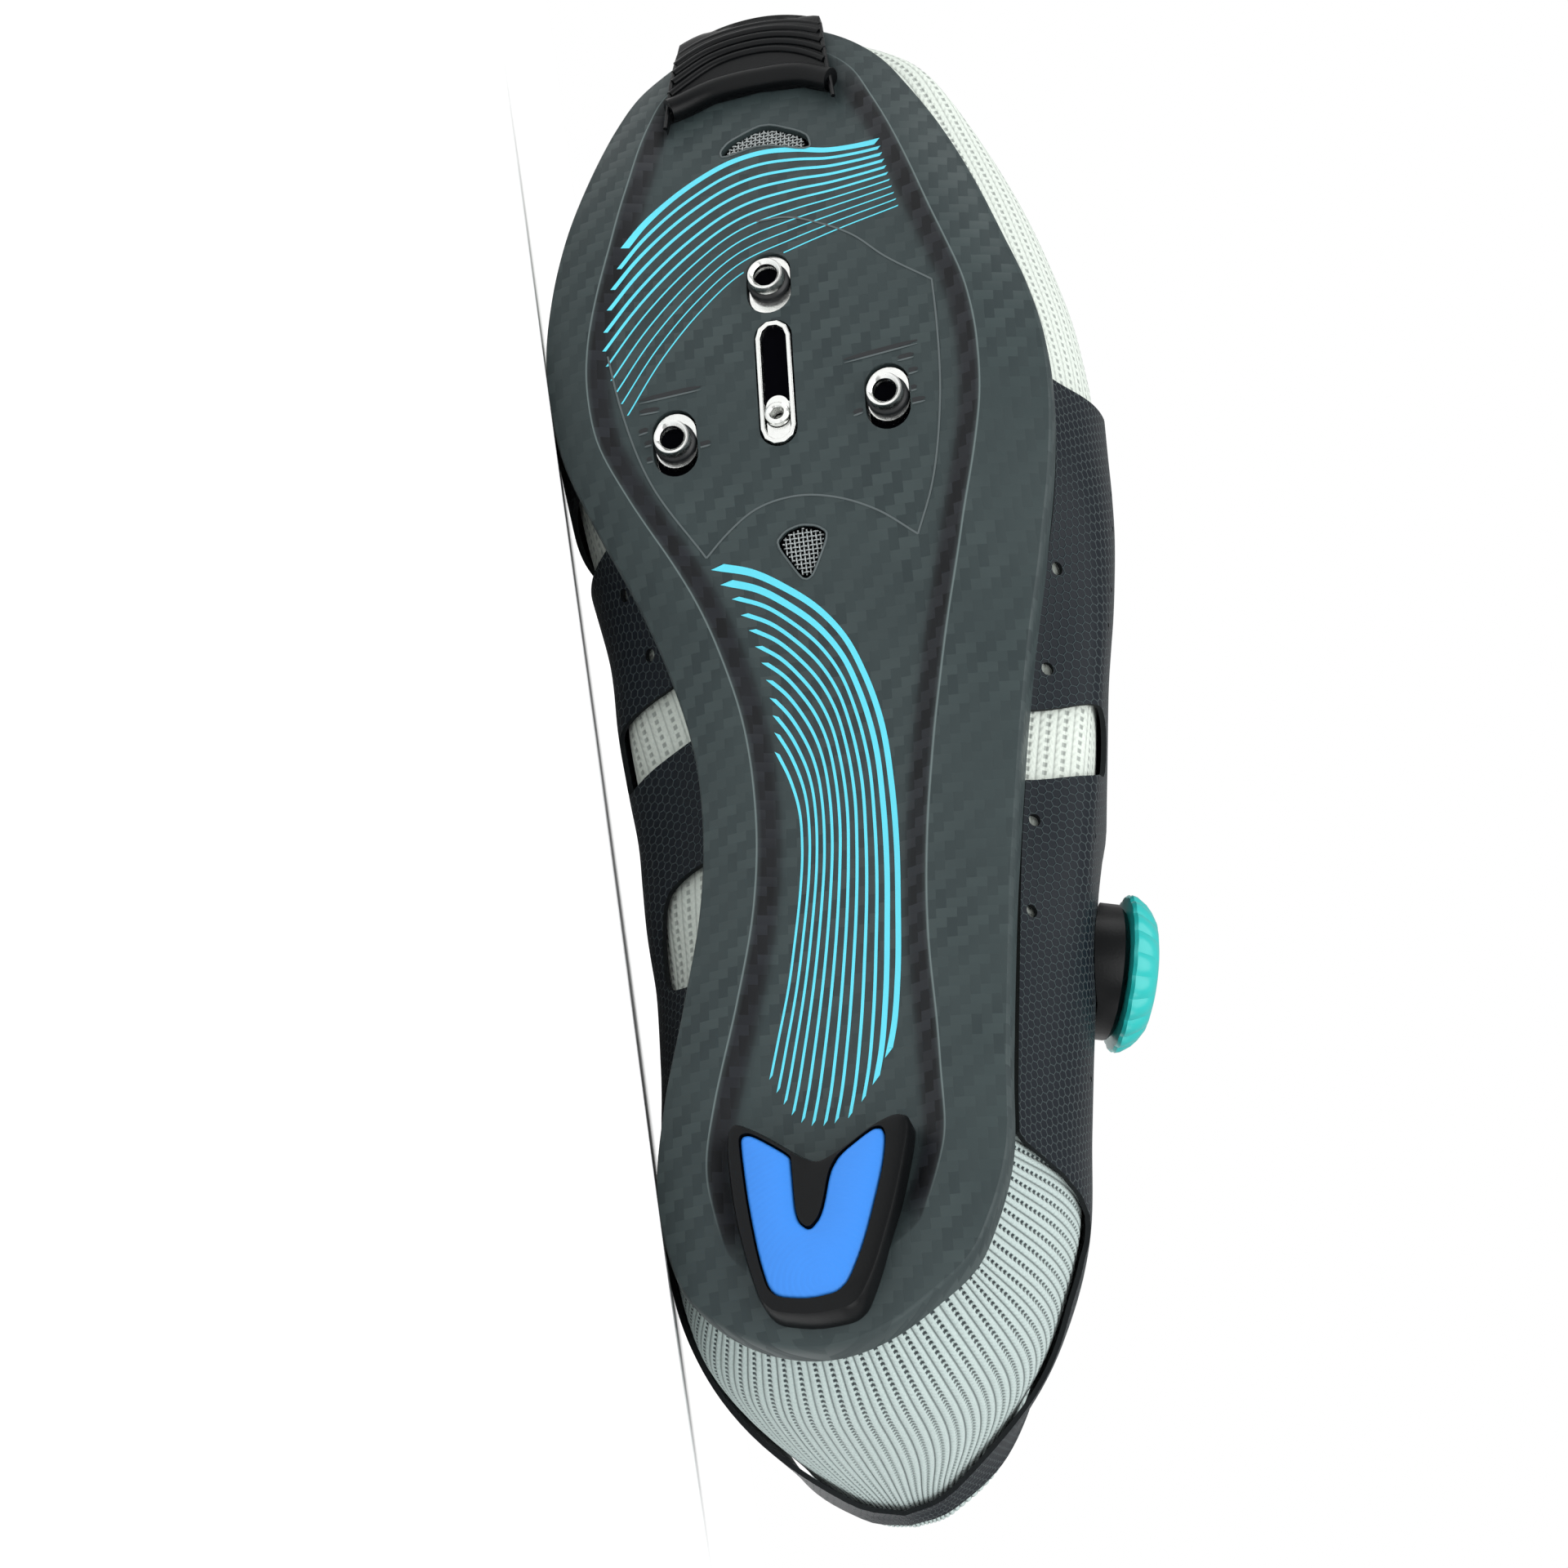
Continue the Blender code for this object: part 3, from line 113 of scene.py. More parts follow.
# Underside: arch in shares of ARCH_RISE, spring of TOE_SPRING, edge of EDGE_RISE, bands of
# BALL_WIDTH, channel of CHANNEL_DEPTH, side of SIDE_HEIGHT
SOLE_COLUMNS = ("station", "arch", "spring", "edge", "medial_band", "lateral_band", "channel", "side")
SOLE_ROWS = (
    (0.000, 0.62, 0.00, 0.40, 0.110, 0.110, 0.00, 1.00),
    (0.050, 0.42, 0.00, 0.50, 0.108, 0.115, 0.30, 0.98),
    (0.090, 0.37, 0.00, 0.60, 0.109, 0.119, 0.80, 0.95),
    (0.140, 0.36, 0.00, 0.70, 0.104, 0.118, 1.00, 0.95),
    (0.200, 0.42, 0.00, 0.70, 0.111, 0.130, 1.00, 0.98),
    (0.270, 0.58, 0.00, 0.70, 0.116, 0.153, 1.00, 1.00),
    (0.350, 0.82, 0.00, 0.70, 0.115, 0.165, 1.00, 1.05),
    (0.420, 0.96, 0.00, 0.72, 0.112, 0.165, 1.00, 1.05),
    (0.475, 1.00, 0.00, 0.75, 0.111, 0.162, 1.00, 1.02),
    (0.530, 0.87, 0.00, 0.80, 0.107, 0.157, 1.00, 0.98),
    (0.585, 0.50, 0.00, 0.90, 0.090, 0.149, 1.00, 0.90),
    (0.640, 0.18, 0.00, 1.00, 0.080, 0.136, 1.00, 0.82),
    (0.690, 0.06, 0.00, 1.00, 0.086, 0.127, 1.00, 0.80),
    (0.760, 0.04, 0.00, 1.00, 0.103, 0.108, 1.00, 0.80),
    (0.820, 0.02, 0.09, 0.95, 0.112, 0.105, 1.00, 0.82),
    (0.870, 0.00, 0.26, 0.85, 0.103, 0.094, 1.00, 0.80),
    (0.915, 0.00, 0.48, 0.65, 0.085, 0.080, 0.80, 0.76),
    (0.955, 0.00, 0.70, 0.45, 0.068, 0.066, 0.30, 0.72),
    (1.000, 0.00, 1.00, 0.10, 0.058, 0.058, 0.00, 0.65),
)

# Ribs of the last: overhangs and sides in shares of BALL_WIDTH, heights of the body height,
# crest_station of LENGTH, collar 1 on the open rim
LAST_COLUMNS = ("station", "medial_over", "lateral_over", "wide_height",
                "crest_station", "crest_height", "crest_medial", "crest_lateral", "collar")
LAST_ROWS = (
    (0.000, 0.040, 0.040, 0.44, -0.011, 1.000, -0.060, -0.060, 1.0),
    (0.012, 0.036, 0.042, 0.44, -0.004, 0.994, -0.140, 0.020, 1.0),
    (0.040, 0.036, 0.044, 0.45, 0.020, 0.945, -0.235, 0.125, 1.0),
    (0.090, 0.040, 0.050, 0.47, 0.073, 0.815, -0.300, 0.225, 1.0),
    (0.150, 0.048, 0.058, 0.46, 0.140, 0.705, -0.322, 0.275, 1.0),
    (0.220, 0.078, 0.068, 0.43, 0.215, 0.675, -0.312, 0.290, 1.0),
    (0.290, 0.115, 0.076, 0.40, 0.285, 0.765, -0.265, 0.275, 1.0),
    (0.350, 0.142, 0.082, 0.36, 0.335, 0.905, -0.165, 0.205, 0.9),
    (0.385, 0.148, 0.085, 0.36, 0.362, 0.985, -0.070, 0.110, 0.5),
    (0.410, 0.148, 0.087, 0.36, 0.375, 1.000, 0.015, 0.015, 0.0),
    (0.460, 0.147, 0.085, 0.36, 0.425, 0.910, 0.010, 0.010, 0.0),
    (0.510, 0.126, 0.078, 0.35, 0.480, 0.825, 0.005, 0.005, 0.0),
    (0.560, 0.086, 0.064, 0.36, 0.535, 0.750, 0.000, 0.000, 0.0),
    (0.610, 0.052, 0.045, 0.36, 0.590, 0.680, -0.004, -0.004, 0.0),
    (0.660, 0.027, 0.030, 0.36, 0.645, 0.615, -0.008, -0.008, 0.0),
    (0.715, 0.026, 0.040, 0.35, 0.700, 0.560, -0.014, -0.014, 0.0),
    (0.770, 0.032, 0.060, 0.34, 0.755, 0.512, -0.022, -0.022, 0.0),
    (0.830, 0.045, 0.069, 0.32, 0.808, 0.475, -0.032, -0.032, 0.0),
    (0.885, 0.062, 0.070, 0.30, 0.853, 0.448, -0.040, -0.040, 0.0),
    (0.940, 0.050, 0.066, 0.26, 0.892, 0.428, -0.046, -0.046, 0.0),
    (0.980, 0.034, 0.044, 0.29, 0.916, 0.412, -0.050, -0.050, 0.0),
    (1.000, 0.024, 0.024, 0.31, 0.926, 0.404, -0.052, -0.052, 0.0),
)

# Overlay: its lower edge round the heel, its front, and its cut-outs as (station, rise)
HEEL_EDGE_COLUMNS = ("station", "medial", "lateral")
HEEL_EDGE_ROWS = (
    (0.000, 0.86, 0.86),
    (0.015, 0.79, 0.80),
    (0.030, 0.68, 0.70),
    (0.045, 0.58, 0.60),
    (0.059, 0.50, 0.52),
    (0.076, 0.44, 0.46),
    (0.100, 0.40, 0.44),
    (0.125, 0.37, 0.40),
    (0.140, 0.35, 0.10),
    (0.155, 0.28, 0.00),
    (0.170, 0.00, 0.00),
    (1.000, 0.00, 0.00),
)
OVERLAY_FRONT = {MEDIAL: 0.745, LATERAL: 0.680}
OVERLAY_FRONT_CREST = 0.715
OVERLAY_TOP_COLLAR = 0.93
OVERLAY_LOW_RISE = 0.075
OVERLAY_GAPS = {
    MEDIAL: (
        ((0.653, -0.05), (0.657, 0.20), (0.648, 0.38), (0.632, 0.52), (0.618, 0.56), (0.604, 0.52),
         (0.608, 0.36), (0.610, 0.20), (0.604, -0.05)),
        ((0.503, -0.05), (0.508, 0.18), (0.506, 0.34), (0.498, 0.39), (0.466, 0.39), (0.458, 0.34),
         (0.464, 0.18), (0.465, -0.05)),
        ((0.371, -0.05), (0.372, 0.12), (0.362, 0.22), (0.348, 0.25), (0.305, 0.27), (0.288, 0.24),
         (0.283, 0.12), (0.281, -0.05)),
    ),
    LATERAL: (
        ((0.445, -0.05), (0.452, 0.12), (0.474, 0.38), (0.466, 0.44), (0.432, 0.44), (0.420, 0.38),
         (0.400, 0.12), (0.394, -0.05)),
    ),
}
OVERLAY_HOLES = {
    MEDIAL: ((0.578, 0.12), (0.535, 0.12)),
    LATERAL: ((0.552, 0.12), (0.483, 0.13), (0.371, 0.12), (0.305, 0.12)),
}
OVERLAY_HOLE_RADIUS = 0.0013
PINHOLES = ((0.629, 0.40), (0.604, 0.40), (0.561, 0.40), (0.535, 0.40),
            (0.379, 0.40), (0.321, 0.40), (0.265, 0.40), (0.213, 0.40))
PINHOLE_RADIUS = 0.0005
THROAT_ROWS = ((0.330, 0.024), (0.400, 0.021), (0.480, 0.018), (0.560, 0.015), (0.610, 0.011),
               (0.625, 0.006))
THROAT_SIDE = -0.002

# Hardware of the sole
CLEAT_BACK_STATION = 0.660
CLEAT_SIDE = -0.031
BOLT_SPREAD = 0.0420
BOLT_REACH = 0.0302
BOLT_SKEW = 0.0030
SLOT_WIDTH = 0.0088
SLOT_LENGTH = 0.0138
NUT_RADIUS = 0.0035
NUT_COLLAR_RADIUS = 0.0041
NUT_PROUD = 0.0034
NUT_COLLAR_PROUD = 0.0006
NUT_BORE_RADIUS = 0.0024
NUT_BASE_THICKNESS = 0.0010
NUT_BASE_SIZE = 0.0126
NUT_SEAT_GAP = 0.0005
CENTRE_SLOT_STATION = 0.688
CENTRE_SLOT_SIDE = -0.037
CENTRE_SLOT_WIDTH = 0.0075
CENTRE_SLOT_LENGTH = 0.0270
LINER_WALL = 0.0009
LINER_FLOOR = 0.0006
SMALL_NUT_X = -0.0070
SMALL_NUT_BORE = 0.0012
SMALL_NUT_RADIUS = 0.0024
SMALL_NUT_PROUD = 0.0010
INSOLE_ROOM = 0.0026
INSOLE_GAP = 0.0007
INSOLE_THICKNESS = 0.0035
INSOLE_INSET = 0.0078
INSOLE_SLOPE = 0.004
PAD_STATION = 0.076
PAD_SIDE = -0.024
PAD_FRAME = ((0.0195, -0.0165), (0.0214, -0.0150), (0.0180, -0.0095), (0.0130, -0.0032), (0.0112, 0.0000),
             (0.0130, 0.0040), (0.0172, 0.0103), (0.0190, 0.0148), (0.0180, 0.0176), (0.0130, 0.0170),
             (0.0018, 0.0143), (-0.0107, 0.0102), (-0.0183, 0.0063), (-0.0190, -0.0026),
             (-0.0170, -0.0112), (-0.0064, -0.0141), (0.0034, -0.0159), (0.0146, -0.0168))
PAD_INSERT = ((0.0183, -0.0143), (0.0186, -0.0120), (0.0131, -0.0047), (0.0115, -0.0046), (0.0004, -0.0042),
              (-0.0019, -0.0020), (0.0008, 0.0003), (0.0111, 0.0025), (0.0166, 0.0104), (0.0164, 0.0126),
              (0.0142, 0.0132), (0.0082, 0.0123), (-0.0060, 0.0082), (-0.0148, 0.0042),
              (-0.0157, -0.0025), (-0.0142, -0.0098), (-0.0064, -0.0118), (0.0048, -0.0134),
              (0.0145, -0.0142))
PAD_POCKET = 0.0028
PAD_INSERT_RECESS = 0.0004
PAD_ROUNDING = 0.20
TOE_VENT_STATION = 0.890
TOE_VENT_SIDE = -0.056
TOE_VENT = ((-0.0050, -0.0102), (0.0000, -0.0092), (0.0048, -0.0006), (0.0010, 0.0064), (-0.0015, 0.0080),
            (-0.0036, 0.0076), (-0.0012, 0.0000))
WAIST_VENT_STATION = 0.572
WAIST_VENT_SIDE = -0.012
WAIST_VENT = ((0.0020, -0.0052), (0.0038, -0.0030), (0.0044, 0.0000), (0.0036, 0.0030), (0.0015, 0.0052),
              (-0.0058, 0.0010), (-0.0062, -0.0002), (-0.0054, -0.0014))
MESH_THICKNESS = 0.0008
MESH_RECESS = 0.0010
BUMPER_WALL = 0.0024
BUMPER_DROP = 0.0015
BUMPER_START_TURN = 26 / 38
BUMPER_DEPTH = 0.030
BUMPER_PLAN = ((0.905, -0.245), (0.916, -0.240), (0.930, -0.150), (0.934, -0.060), (0.932, 0.030),
               (0.922, 0.090), (0.912, 0.098), (1.030, 0.045), (1.030, -0.215))
DIAL_TURN_STATION = 0.310
DIAL_RISE = 0.55
DIAL_BASE_HEIGHT = 0.0042
DIAL_KNOB_RADIUS = 0.0152
DIAL_KNOB_HEIGHT = 0.0066
DIAL_GRIPS = 20
# Dial knob from its base to its top: radius and height in shares, and how deep the grips cut the rim
DIAL_PROFILE = ((0.0, 0.0, 0.0), (0.90, 0.0, 0.0), (0.965, 0.02, 0.02), (1.00, 0.12, 0.035),
                (0.985, 0.26, 0.045), (0.90, 0.55, 0.045), (0.82, 0.72, 0.035), (0.74, 0.84, 0.015),
                (0.60, 0.92, 0.0), (0.35, 0.98, 0.0), (0.0, 1.0, 0.0))
LACE_RADIUS = 0.0008
GUIDE_ROWS = ((0.435, 0.80), (0.505, 0.79), (0.570, 0.78))
GUIDE_THICKNESS = 0.0022

# Places of two mounts on the shoe, from the heel pad's and the front nut's middle
HEEL_MOUNT = (-0.0156, -0.0105)
NUT_MOUNT_REACH = 0.0030

# Small steps over which a direction on the surfaces is measured, and the least length that counts
PROBE_STEP = 0.004
SKIN_PROBE_STEP = 0.006
RING_PROBE_STEP = 0.01
TINY = 1e-12

# The photograph's camera, in the shoe's frame: tilt behind the sole, turn to the side, roll, distance
PHOTO_SIZE = 1920
PHOTO_TILT = math.radians(27.0)
PHOTO_TURN = math.radians(2.0)
PHOTO_ROLL = math.radians(1.97)
PHOTO_DISTANCE = 1.4
PHOTO_SCALE = 6470.0
PHOTO_TARGET = np.array([0.5 * LENGTH, 0.0, 0.010])
PHOTO_TARGET_PIXEL = np.array([998.0, 778.0])
EYE_TILT = math.radians(28.5)
EYE_TARGET_PIXEL = np.array([998.0, 786.0])
EYE_HEIGHT = 0.012
SENSOR = 36.0
WORLD_LIGHT = 0.45
EVEN_LIGHT = 2.4

# Printed stripes, in photograph pixels: outer and inner line, and where the lines between them end
TOE_STRIPES_TOP = ((776, 264), (799, 238), (823, 218), (864, 192), (905, 174), (946, 166), (986, 167),
                   (1027, 172), (1060, 171), (1090, 168))
TOE_STRIPES_LOW = ((775, 475), (820, 410), (870, 355), (920, 315), (985, 290), (1040, 272), (1118, 250))
TOE_STRIPES_LEFT = ((775, 268), (768, 293), (760, 318), (755, 343), (750, 370), (748, 393), (751, 412),
                    (756, 430), (762, 445), (768, 460), (775, 475))
TOE_STRIPE_WIDTHS = (8.5, 4.8, 4.8, 4.6, 4.2, 3.6, 2.3, 2.1, 1.9, 1.8, 1.8)
WAIST_STRIPES_OUTER = ((878, 672), (920, 683), (960, 705), (1000, 735), (1030, 770), (1055, 820),
                       (1075, 880), (1088, 960), (1095, 1040), (1097, 1100), (1097, 1200), (1092, 1260),
                       (1086, 1290))
WAIST_STRIPES_INNER = ((945, 908), (960, 940), (972, 980), (976, 1030), (974, 1080), (968, 1140),
                       (960, 1200), (948, 1260), (938, 1308))
WAIST_STRIPES_START = ((878, 672), (888, 692), (898, 712), (908, 733), (917, 753), (924, 774), (931, 795),
                       (936, 817), (940, 840), (943, 862), (945, 884), (945, 908))
WAIST_STRIPES_END = ((1086, 1290), (1070, 1322), (1054, 1344), (1037, 1363), (1020, 1368), (1006, 1370),
                     (991, 1369), (978, 1364), (966, 1354), (956, 1340), (947, 1325), (938, 1308))
WAIST_STRIPE_WIDTHS = (7.2, 6.8, 4.0, 3.9, 3.8, 3.7, 3.6, 3.5, 3.4, 3.3, 3.2, 3.0)

# Raised step of the cleat platform, and the adjustment marks, in photograph pixels, along which painted
# highlight and painted groove shade are laid
PLATFORM_STEPS = (
    ((940, 252), (975, 250), (1020, 262), (1060, 280), (1100, 310), (1160, 345)),
    ((1160, 345), (1165, 400), (1166, 500), (1150, 600), (1130, 655)),
    ((1130, 655), (1080, 620), (1030, 600), (985, 594), (930, 606), (890, 635), (865, 660)),
    ((865, 660), (800, 560), (765, 460), (752, 400)),
)
ADJUSTMENT_MARKS = (
    ((790, 458), (868, 448)), ((790, 472), (815, 470)), ((788, 497), (800, 494)),
    ((795, 512), (805, 510)), ((797, 532), (808, 530)), ((860, 520), (878, 517)),
    ((1048, 433), (1140, 418)), ((1115, 437), (1135, 434)), ((1120, 456), (1140, 452)),
    ((1128, 476), (1138, 474)), ((1125, 492), (1148, 489)), ((1058, 499), (1070, 496)),
)


def turn_of(station):
    """Half-turn share whose cosine gives the station, so that both ends of a table come out round."""
    return np.arccos(1.0 - 2.0 * np.clip(station, 0.0, 1.0)) / math.pi


def station_of(turn):
    return 0.5 * (1.0 - np.cos(math.pi * np.asarray(turn, float)))


class Table:
    """Smooth values read between the rows of a station table, for whole arrays of places."""

    def __init__(self, columns, rows):
        """Keeps the rows and their slopes, with the stations as shares of a half turn."""
        self.columns = columns
        self.knots = np.array([turn_of(row[0]) for row in rows])
        self.values = np.array(rows, float)
        steps = np.diff(self.knots)
        rates = np.diff(self.values, axis=0) / steps[:, None]
        self.slopes = np.zeros_like(self.values)
        before, after = steps[:-1, None], steps[1:, None]
        self.slopes[1:-1] = (rates[:-1] * after + rates[1:] * before) / (before + after)
        self.slopes[0] = rates[0]
        self.slopes[-1] = rates[-1]

    def at(self, turn, column):
        """Value of one column at each turn."""
        turn = np.asarray(turn, float)
        index = self.columns.index(column)
        cell = np.clip(np.searchsorted(self.knots, turn) - 1, 0, len(self.knots) - 2)
        step = self.knots[cell + 1] - self.knots[cell]
        u = (turn - self.knots[cell]) / step
        p0, p1 = self.values[cell, index], self.values[cell + 1, index]
        m0, m1 = self.slopes[cell, index] * step, self.slopes[cell + 1, index] * step
        return (p0 * (1 + 2 * u) * (1 - u) ** 2 + m0 * u * (1 - u) ** 2
                + p1 * u * u * (3 - 2 * u) + m1 * u * u * (u - 1))

    def sided(self, turn, side, column="{}"):
        """Value of the medial or the lateral column, whichever the side asks for."""
        return np.where(np.asarray(side) < 0, self.at(turn, column.format("medial")),
                        self.at(turn, column.format("lateral")))


OUTLINE = Table(OUTLINE_COLUMNS, OUTLINE_ROWS)
SOLE = Table(SOLE_COLUMNS, SOLE_ROWS)
LAST = Table(LAST_COLUMNS, LAST_ROWS)
HEEL_EDGE = Table(HEEL_EDGE_COLUMNS, HEEL_EDGE_ROWS)


def stacked(*parts):
    return np.stack(np.broadcast_arrays(*parts), axis=-1)


def unit(given):
    return given / np.maximum(np.linalg.norm(given, axis=-1, keepdims=True), TINY)


CLIMB_START = 0.10
CLIMB_LENGTH = 0.25


def body_height(station):
    """Height that the last is drawn to, from the heel's up to the instep's."""
    share = np.clip((station - CLIMB_START) / CLIMB_LENGTH, 0.0, 1.0)
    return HEEL_HEIGHT + (INSTEP_HEIGHT - HEEL_HEIGHT) * share * share * (3 - 2 * share)


def edge_point(turn, side):
    """Point of the sole's outline in plan."""
    return stacked(LENGTH * station_of(turn), BALL_WIDTH * OUTLINE.sided(turn, side))


def edge_normal(turn, side):
    """Outward direction of the outline in plan."""
    before, after = np.maximum(turn - PROBE_STEP, 0.0), np.minimum(turn + PROBE_STEP, 1.0)
    along = unit(edge_point(after, side) - edge_point(before, side))
    outward = stacked(-along[..., 1] * side, along[..., 0] * side)
    tip = np.asarray(turn)[..., None]
    outward = np.where(tip <= 0.0, np.array([-1.0, 0.0]), outward)
    return np.where(tip >= 1.0, np.array([1.0, 0.0]), outward)


def inset_point(turn, side, inset):
    return edge_point(turn, side) - edge_normal(turn, side) * np.asarray(inset)[..., None]


def own_turn(turn, side, inset):
    """Half-turn share of the station that an inset point has come to lie at."""
    return turn_of(inset_point(turn, side, inset)[..., 0] / LENGTH)


def ridge_height(turn):
    return ARCH_RISE * SOLE.at(turn, "arch") + TOE_SPRING * SOLE.at(turn, "spring")


def edge_height(turn):
    return ridge_height(turn) + EDGE_RISE * SOLE.at(turn, "edge")


def lip_height(turn):
    return edge_height(turn) + SIDE_HEIGHT * SOLE.at(turn, "side")


def channel_height(turn):
    return ridge_height(turn) + CHANNEL_DEPTH * SOLE.at(turn, "channel")


def facet_height(turn):
    return ridge_height(turn) + FACET_SHARE * (channel_height(turn) - ridge_height(turn))


def side_height(turn):
    return edge_height(turn) + 0.35 * (lip_height(turn) - edge_height(turn))


def bezier(handles, u):
    p0, p1, p2, p3 = handles
    u = np.asarray(u, float)[..., None]
    return p0 * (1 - u) ** 3 + 3 * p1 * u * (1 - u) ** 2 + 3 * p2 * u * u * (1 - u) + p3 * u ** 3


def rib_point(turn, side, rise):
    """Point of the upper's outer face: rise 0 at the sole, WIDE_SHARE at the widest, 1 at the crest."""
    turn, side, rise = (np.asarray(part, float) for part in np.broadcast_arrays(turn, side, rise))
    over = BALL_WIDTH * LAST.sided(turn, side, "{}_over")
    outward = edge_normal(turn, side)
    foot_plan = inset_point(turn, side, np.full_like(turn, FOOT_INSET))
    foot_height = lip_height(turn_of(foot_plan[..., 0] / LENGTH)) - FOOT_SINK
    foot = stacked(foot_plan[..., 0], foot_plan[..., 1], foot_height)
    tall = body_height(station_of(turn))
    wide_plan = edge_point(turn, side) + outward * over[..., None]
    wide = stacked(wide_plan[..., 0], wide_plan[..., 1], tall * LAST.at(turn, "wide_height"))
    crest_station = LAST.at(turn, "crest_station")
    crest = stacked(LENGTH * crest_station, BALL_WIDTH * LAST.sided(turn, side, "crest_{}"),
                    body_height(crest_station) * LAST.at(turn, "crest_height"))
    collar = np.clip(LAST.at(turn, "collar"), 0.0, 1.0)
    climb = wide[..., 2] - foot[..., 2]
    swell = outward * (0.33 * (over + FOOT_INSET))[..., None]
    start = foot + stacked(swell[..., 0], swell[..., 1], 0.40 * climb)
    none = np.zeros_like(turn)
    low = bezier((foot, start, wide - stacked(none, none, 0.45 * climb), wide), rise / WIDE_SHARE)
    reach = crest - wide
    lift = wide + stacked(none, none, 0.55 * reach[..., 2])
    over_top = stacked(0.50 * (1 - collar) * reach[..., 0], 0.50 * (1 - collar) * reach[..., 1],
                       (0.40 * collar + 0.04 * (1 - collar)) * reach[..., 2])
    high = bezier((wide, lift, crest - over_top, crest), (rise - WIDE_SHARE) / (1 - WIDE_SHARE))
    return np.where((rise <= WIDE_SHARE)[..., None], low, high)


def around(turn, side, step):
    """Place on the outline a step along its side, which may pass the toe or the heel."""
    moved = turn + step
    outside = (moved < 0.0) | (moved > 1.0)
    moved = np.where(moved < 0.0, -moved, np.where(moved > 1.0, 2.0 - moved, moved))
    return moved, np.where(outside, -side, side)


def skin_normal(turn, side, rise):
    """Outward direction of the upper's outer face."""
    turn, side, rise = (np.asarray(part, float) for part in np.broadcast_arrays(turn, side, rise))
    step = SKIN_PROBE_STEP
    level = np.minimum(rise, 0.97)
    along = rib_point(*around(turn, side, step), level) - rib_point(*around(turn, side, -step), level)
    climb = (rib_point(turn, side, np.minimum(np.maximum(rise, 0.0) + step, 1.0))
             - rib_point(turn, side, np.maximum(rise - step, 0.0)))
    return unit(np.cross(climb, along) * side[..., None])


def skin_point(turn, side, rise, offset):
    """Point at a distance outside the upper's outer face, the same from both sides on the ridge."""
    turn, side, rise = (np.asarray(part, float) for part in np.broadcast_arrays(turn, side, rise))
    normal = skin_normal(turn, side, rise)
    on_ridge = (rise > 0.999) & (LAST.at(turn, "collar") < 0.02)
    both = unit(skin_normal(turn, np.full_like(side, MEDIAL), rise)
                + skin_normal(turn, np.full_like(side, LATERAL), rise))
    normal = np.where(on_ridge[..., None], both, normal)
    return rib_point(turn, side, rise) + normal * np.asarray(offset, float)[..., None]


GIRTH_LEVEL = 0.40
GIRTH_TURNS = np.linspace(0.0, 1.0, 400)


def girth_tables():
    """Length along each side of the shoe from the heel's middle, at the widest level, in millimetres."""
    tables = {}
    for side in (MEDIAL, LATERAL):
        line = rib_point(GIRTH_TURNS, side, GIRTH_LEVEL)
        steps = np.linalg.norm(np.diff(line, axis=0), axis=1)
        tables[side] = np.concatenate([[0.0], np.cumsum(steps)]) / MM
    return tables


GIRTH = girth_tables()


def cloth_place(turn, side, rise):
    """Millimetres along the side and up the upper, for patterns that follow its surface."""
    turn, side, rise = (np.asarray(part, float) for part in np.broadcast_arrays(turn, side, rise))
    along = np.where(side < 0, -np.interp(turn, GIRTH_TURNS, GIRTH[MEDIAL]),
                     np.interp(turn, GIRTH_TURNS, GIRTH[LATERAL]))
    shares = np.linspace(0.0, 1.0, 25)
    steps = [rib_point(turn, side, rise * share) for share in shares]
    climb = sum(np.linalg.norm(after - before, axis=-1) for before, after in zip(steps, steps[1:]))
    return stacked(along, climb / MM)


def solved_pose():
    """Place of the shoe's frame in the row frame, from two mounts whose places on the shoe are known."""
    mounts = {mount["name"]: mount for mount in frame["record"]["mounts"]}
    heel, nut = mounts["heel_pad_face"], mounts["cleat_nut_front_face"]
    heel_shoe = np.array([PAD_STATION * LENGTH + HEEL_MOUNT[0], PAD_SIDE * BALL_WIDTH + HEEL_MOUNT[1], 0.0])
    nut_shoe = np.array(under_frame(*CLEAT_PLACES["front"]) @ Vector((NUT_MOUNT_REACH, 0.0, NUT_PROUD)))
    heel_row, nut_row = np.array(heel["pos_m"]), np.array(nut["pos_m"])

    def axes(up, ahead):
        up = unit(up)
        ahead = unit(ahead - up * ahead.dot(up))
        return np.stack([ahead, np.cross(up, ahead), up], axis=1)

    laid = axes(-np.array(heel["axis"]), nut_row - heel_row)
    standing = axes(np.array([0, 0, 1.0]), nut_shoe - heel_shoe)
    turned = laid @ standing.T
    moved = heel_row - turned @ heel_shoe
    return Matrix([[*turned[k], moved[k]] for k in range(3)] + [[0.0, 0.0, 0.0, 1.0]])


def under_frame(station, side_share):
    """Placement on the sole's channel: Z out of the underside, X towards the toe."""
    step = PROBE_STEP
    climb = channel_height(turn_of(station + step)) - channel_height(turn_of(station - step))
    ahead = Vector((2 * step * LENGTH, 0.0, float(climb))).normalized()
    out = Vector((ahead.z, 0.0, -ahead.x))
    turned = Matrix((ahead, out.cross(ahead), out)).transposed().to_4x4()
    point = Vector((station * LENGTH, side_share * BALL_WIDTH, float(channel_height(turn_of(station)))))
    return Matrix.Translation(point) @ turned


def skin_frame(station, side, rise, offset):
    """Placement on the last: Z outwards, X towards the toe."""
    turn = float(turn_of(station))
    up = Vector(skin_normal(turn, side, rise))
    ahead = Vector((1.0, 0.0, 0.0))
    ahead = (ahead - up * ahead.dot(up)).normalized()
    turned = Matrix((ahead, up.cross(ahead), up)).transposed().to_4x4()
    return Matrix.Translation(Vector(skin_point(turn, side, rise, offset))) @ turned


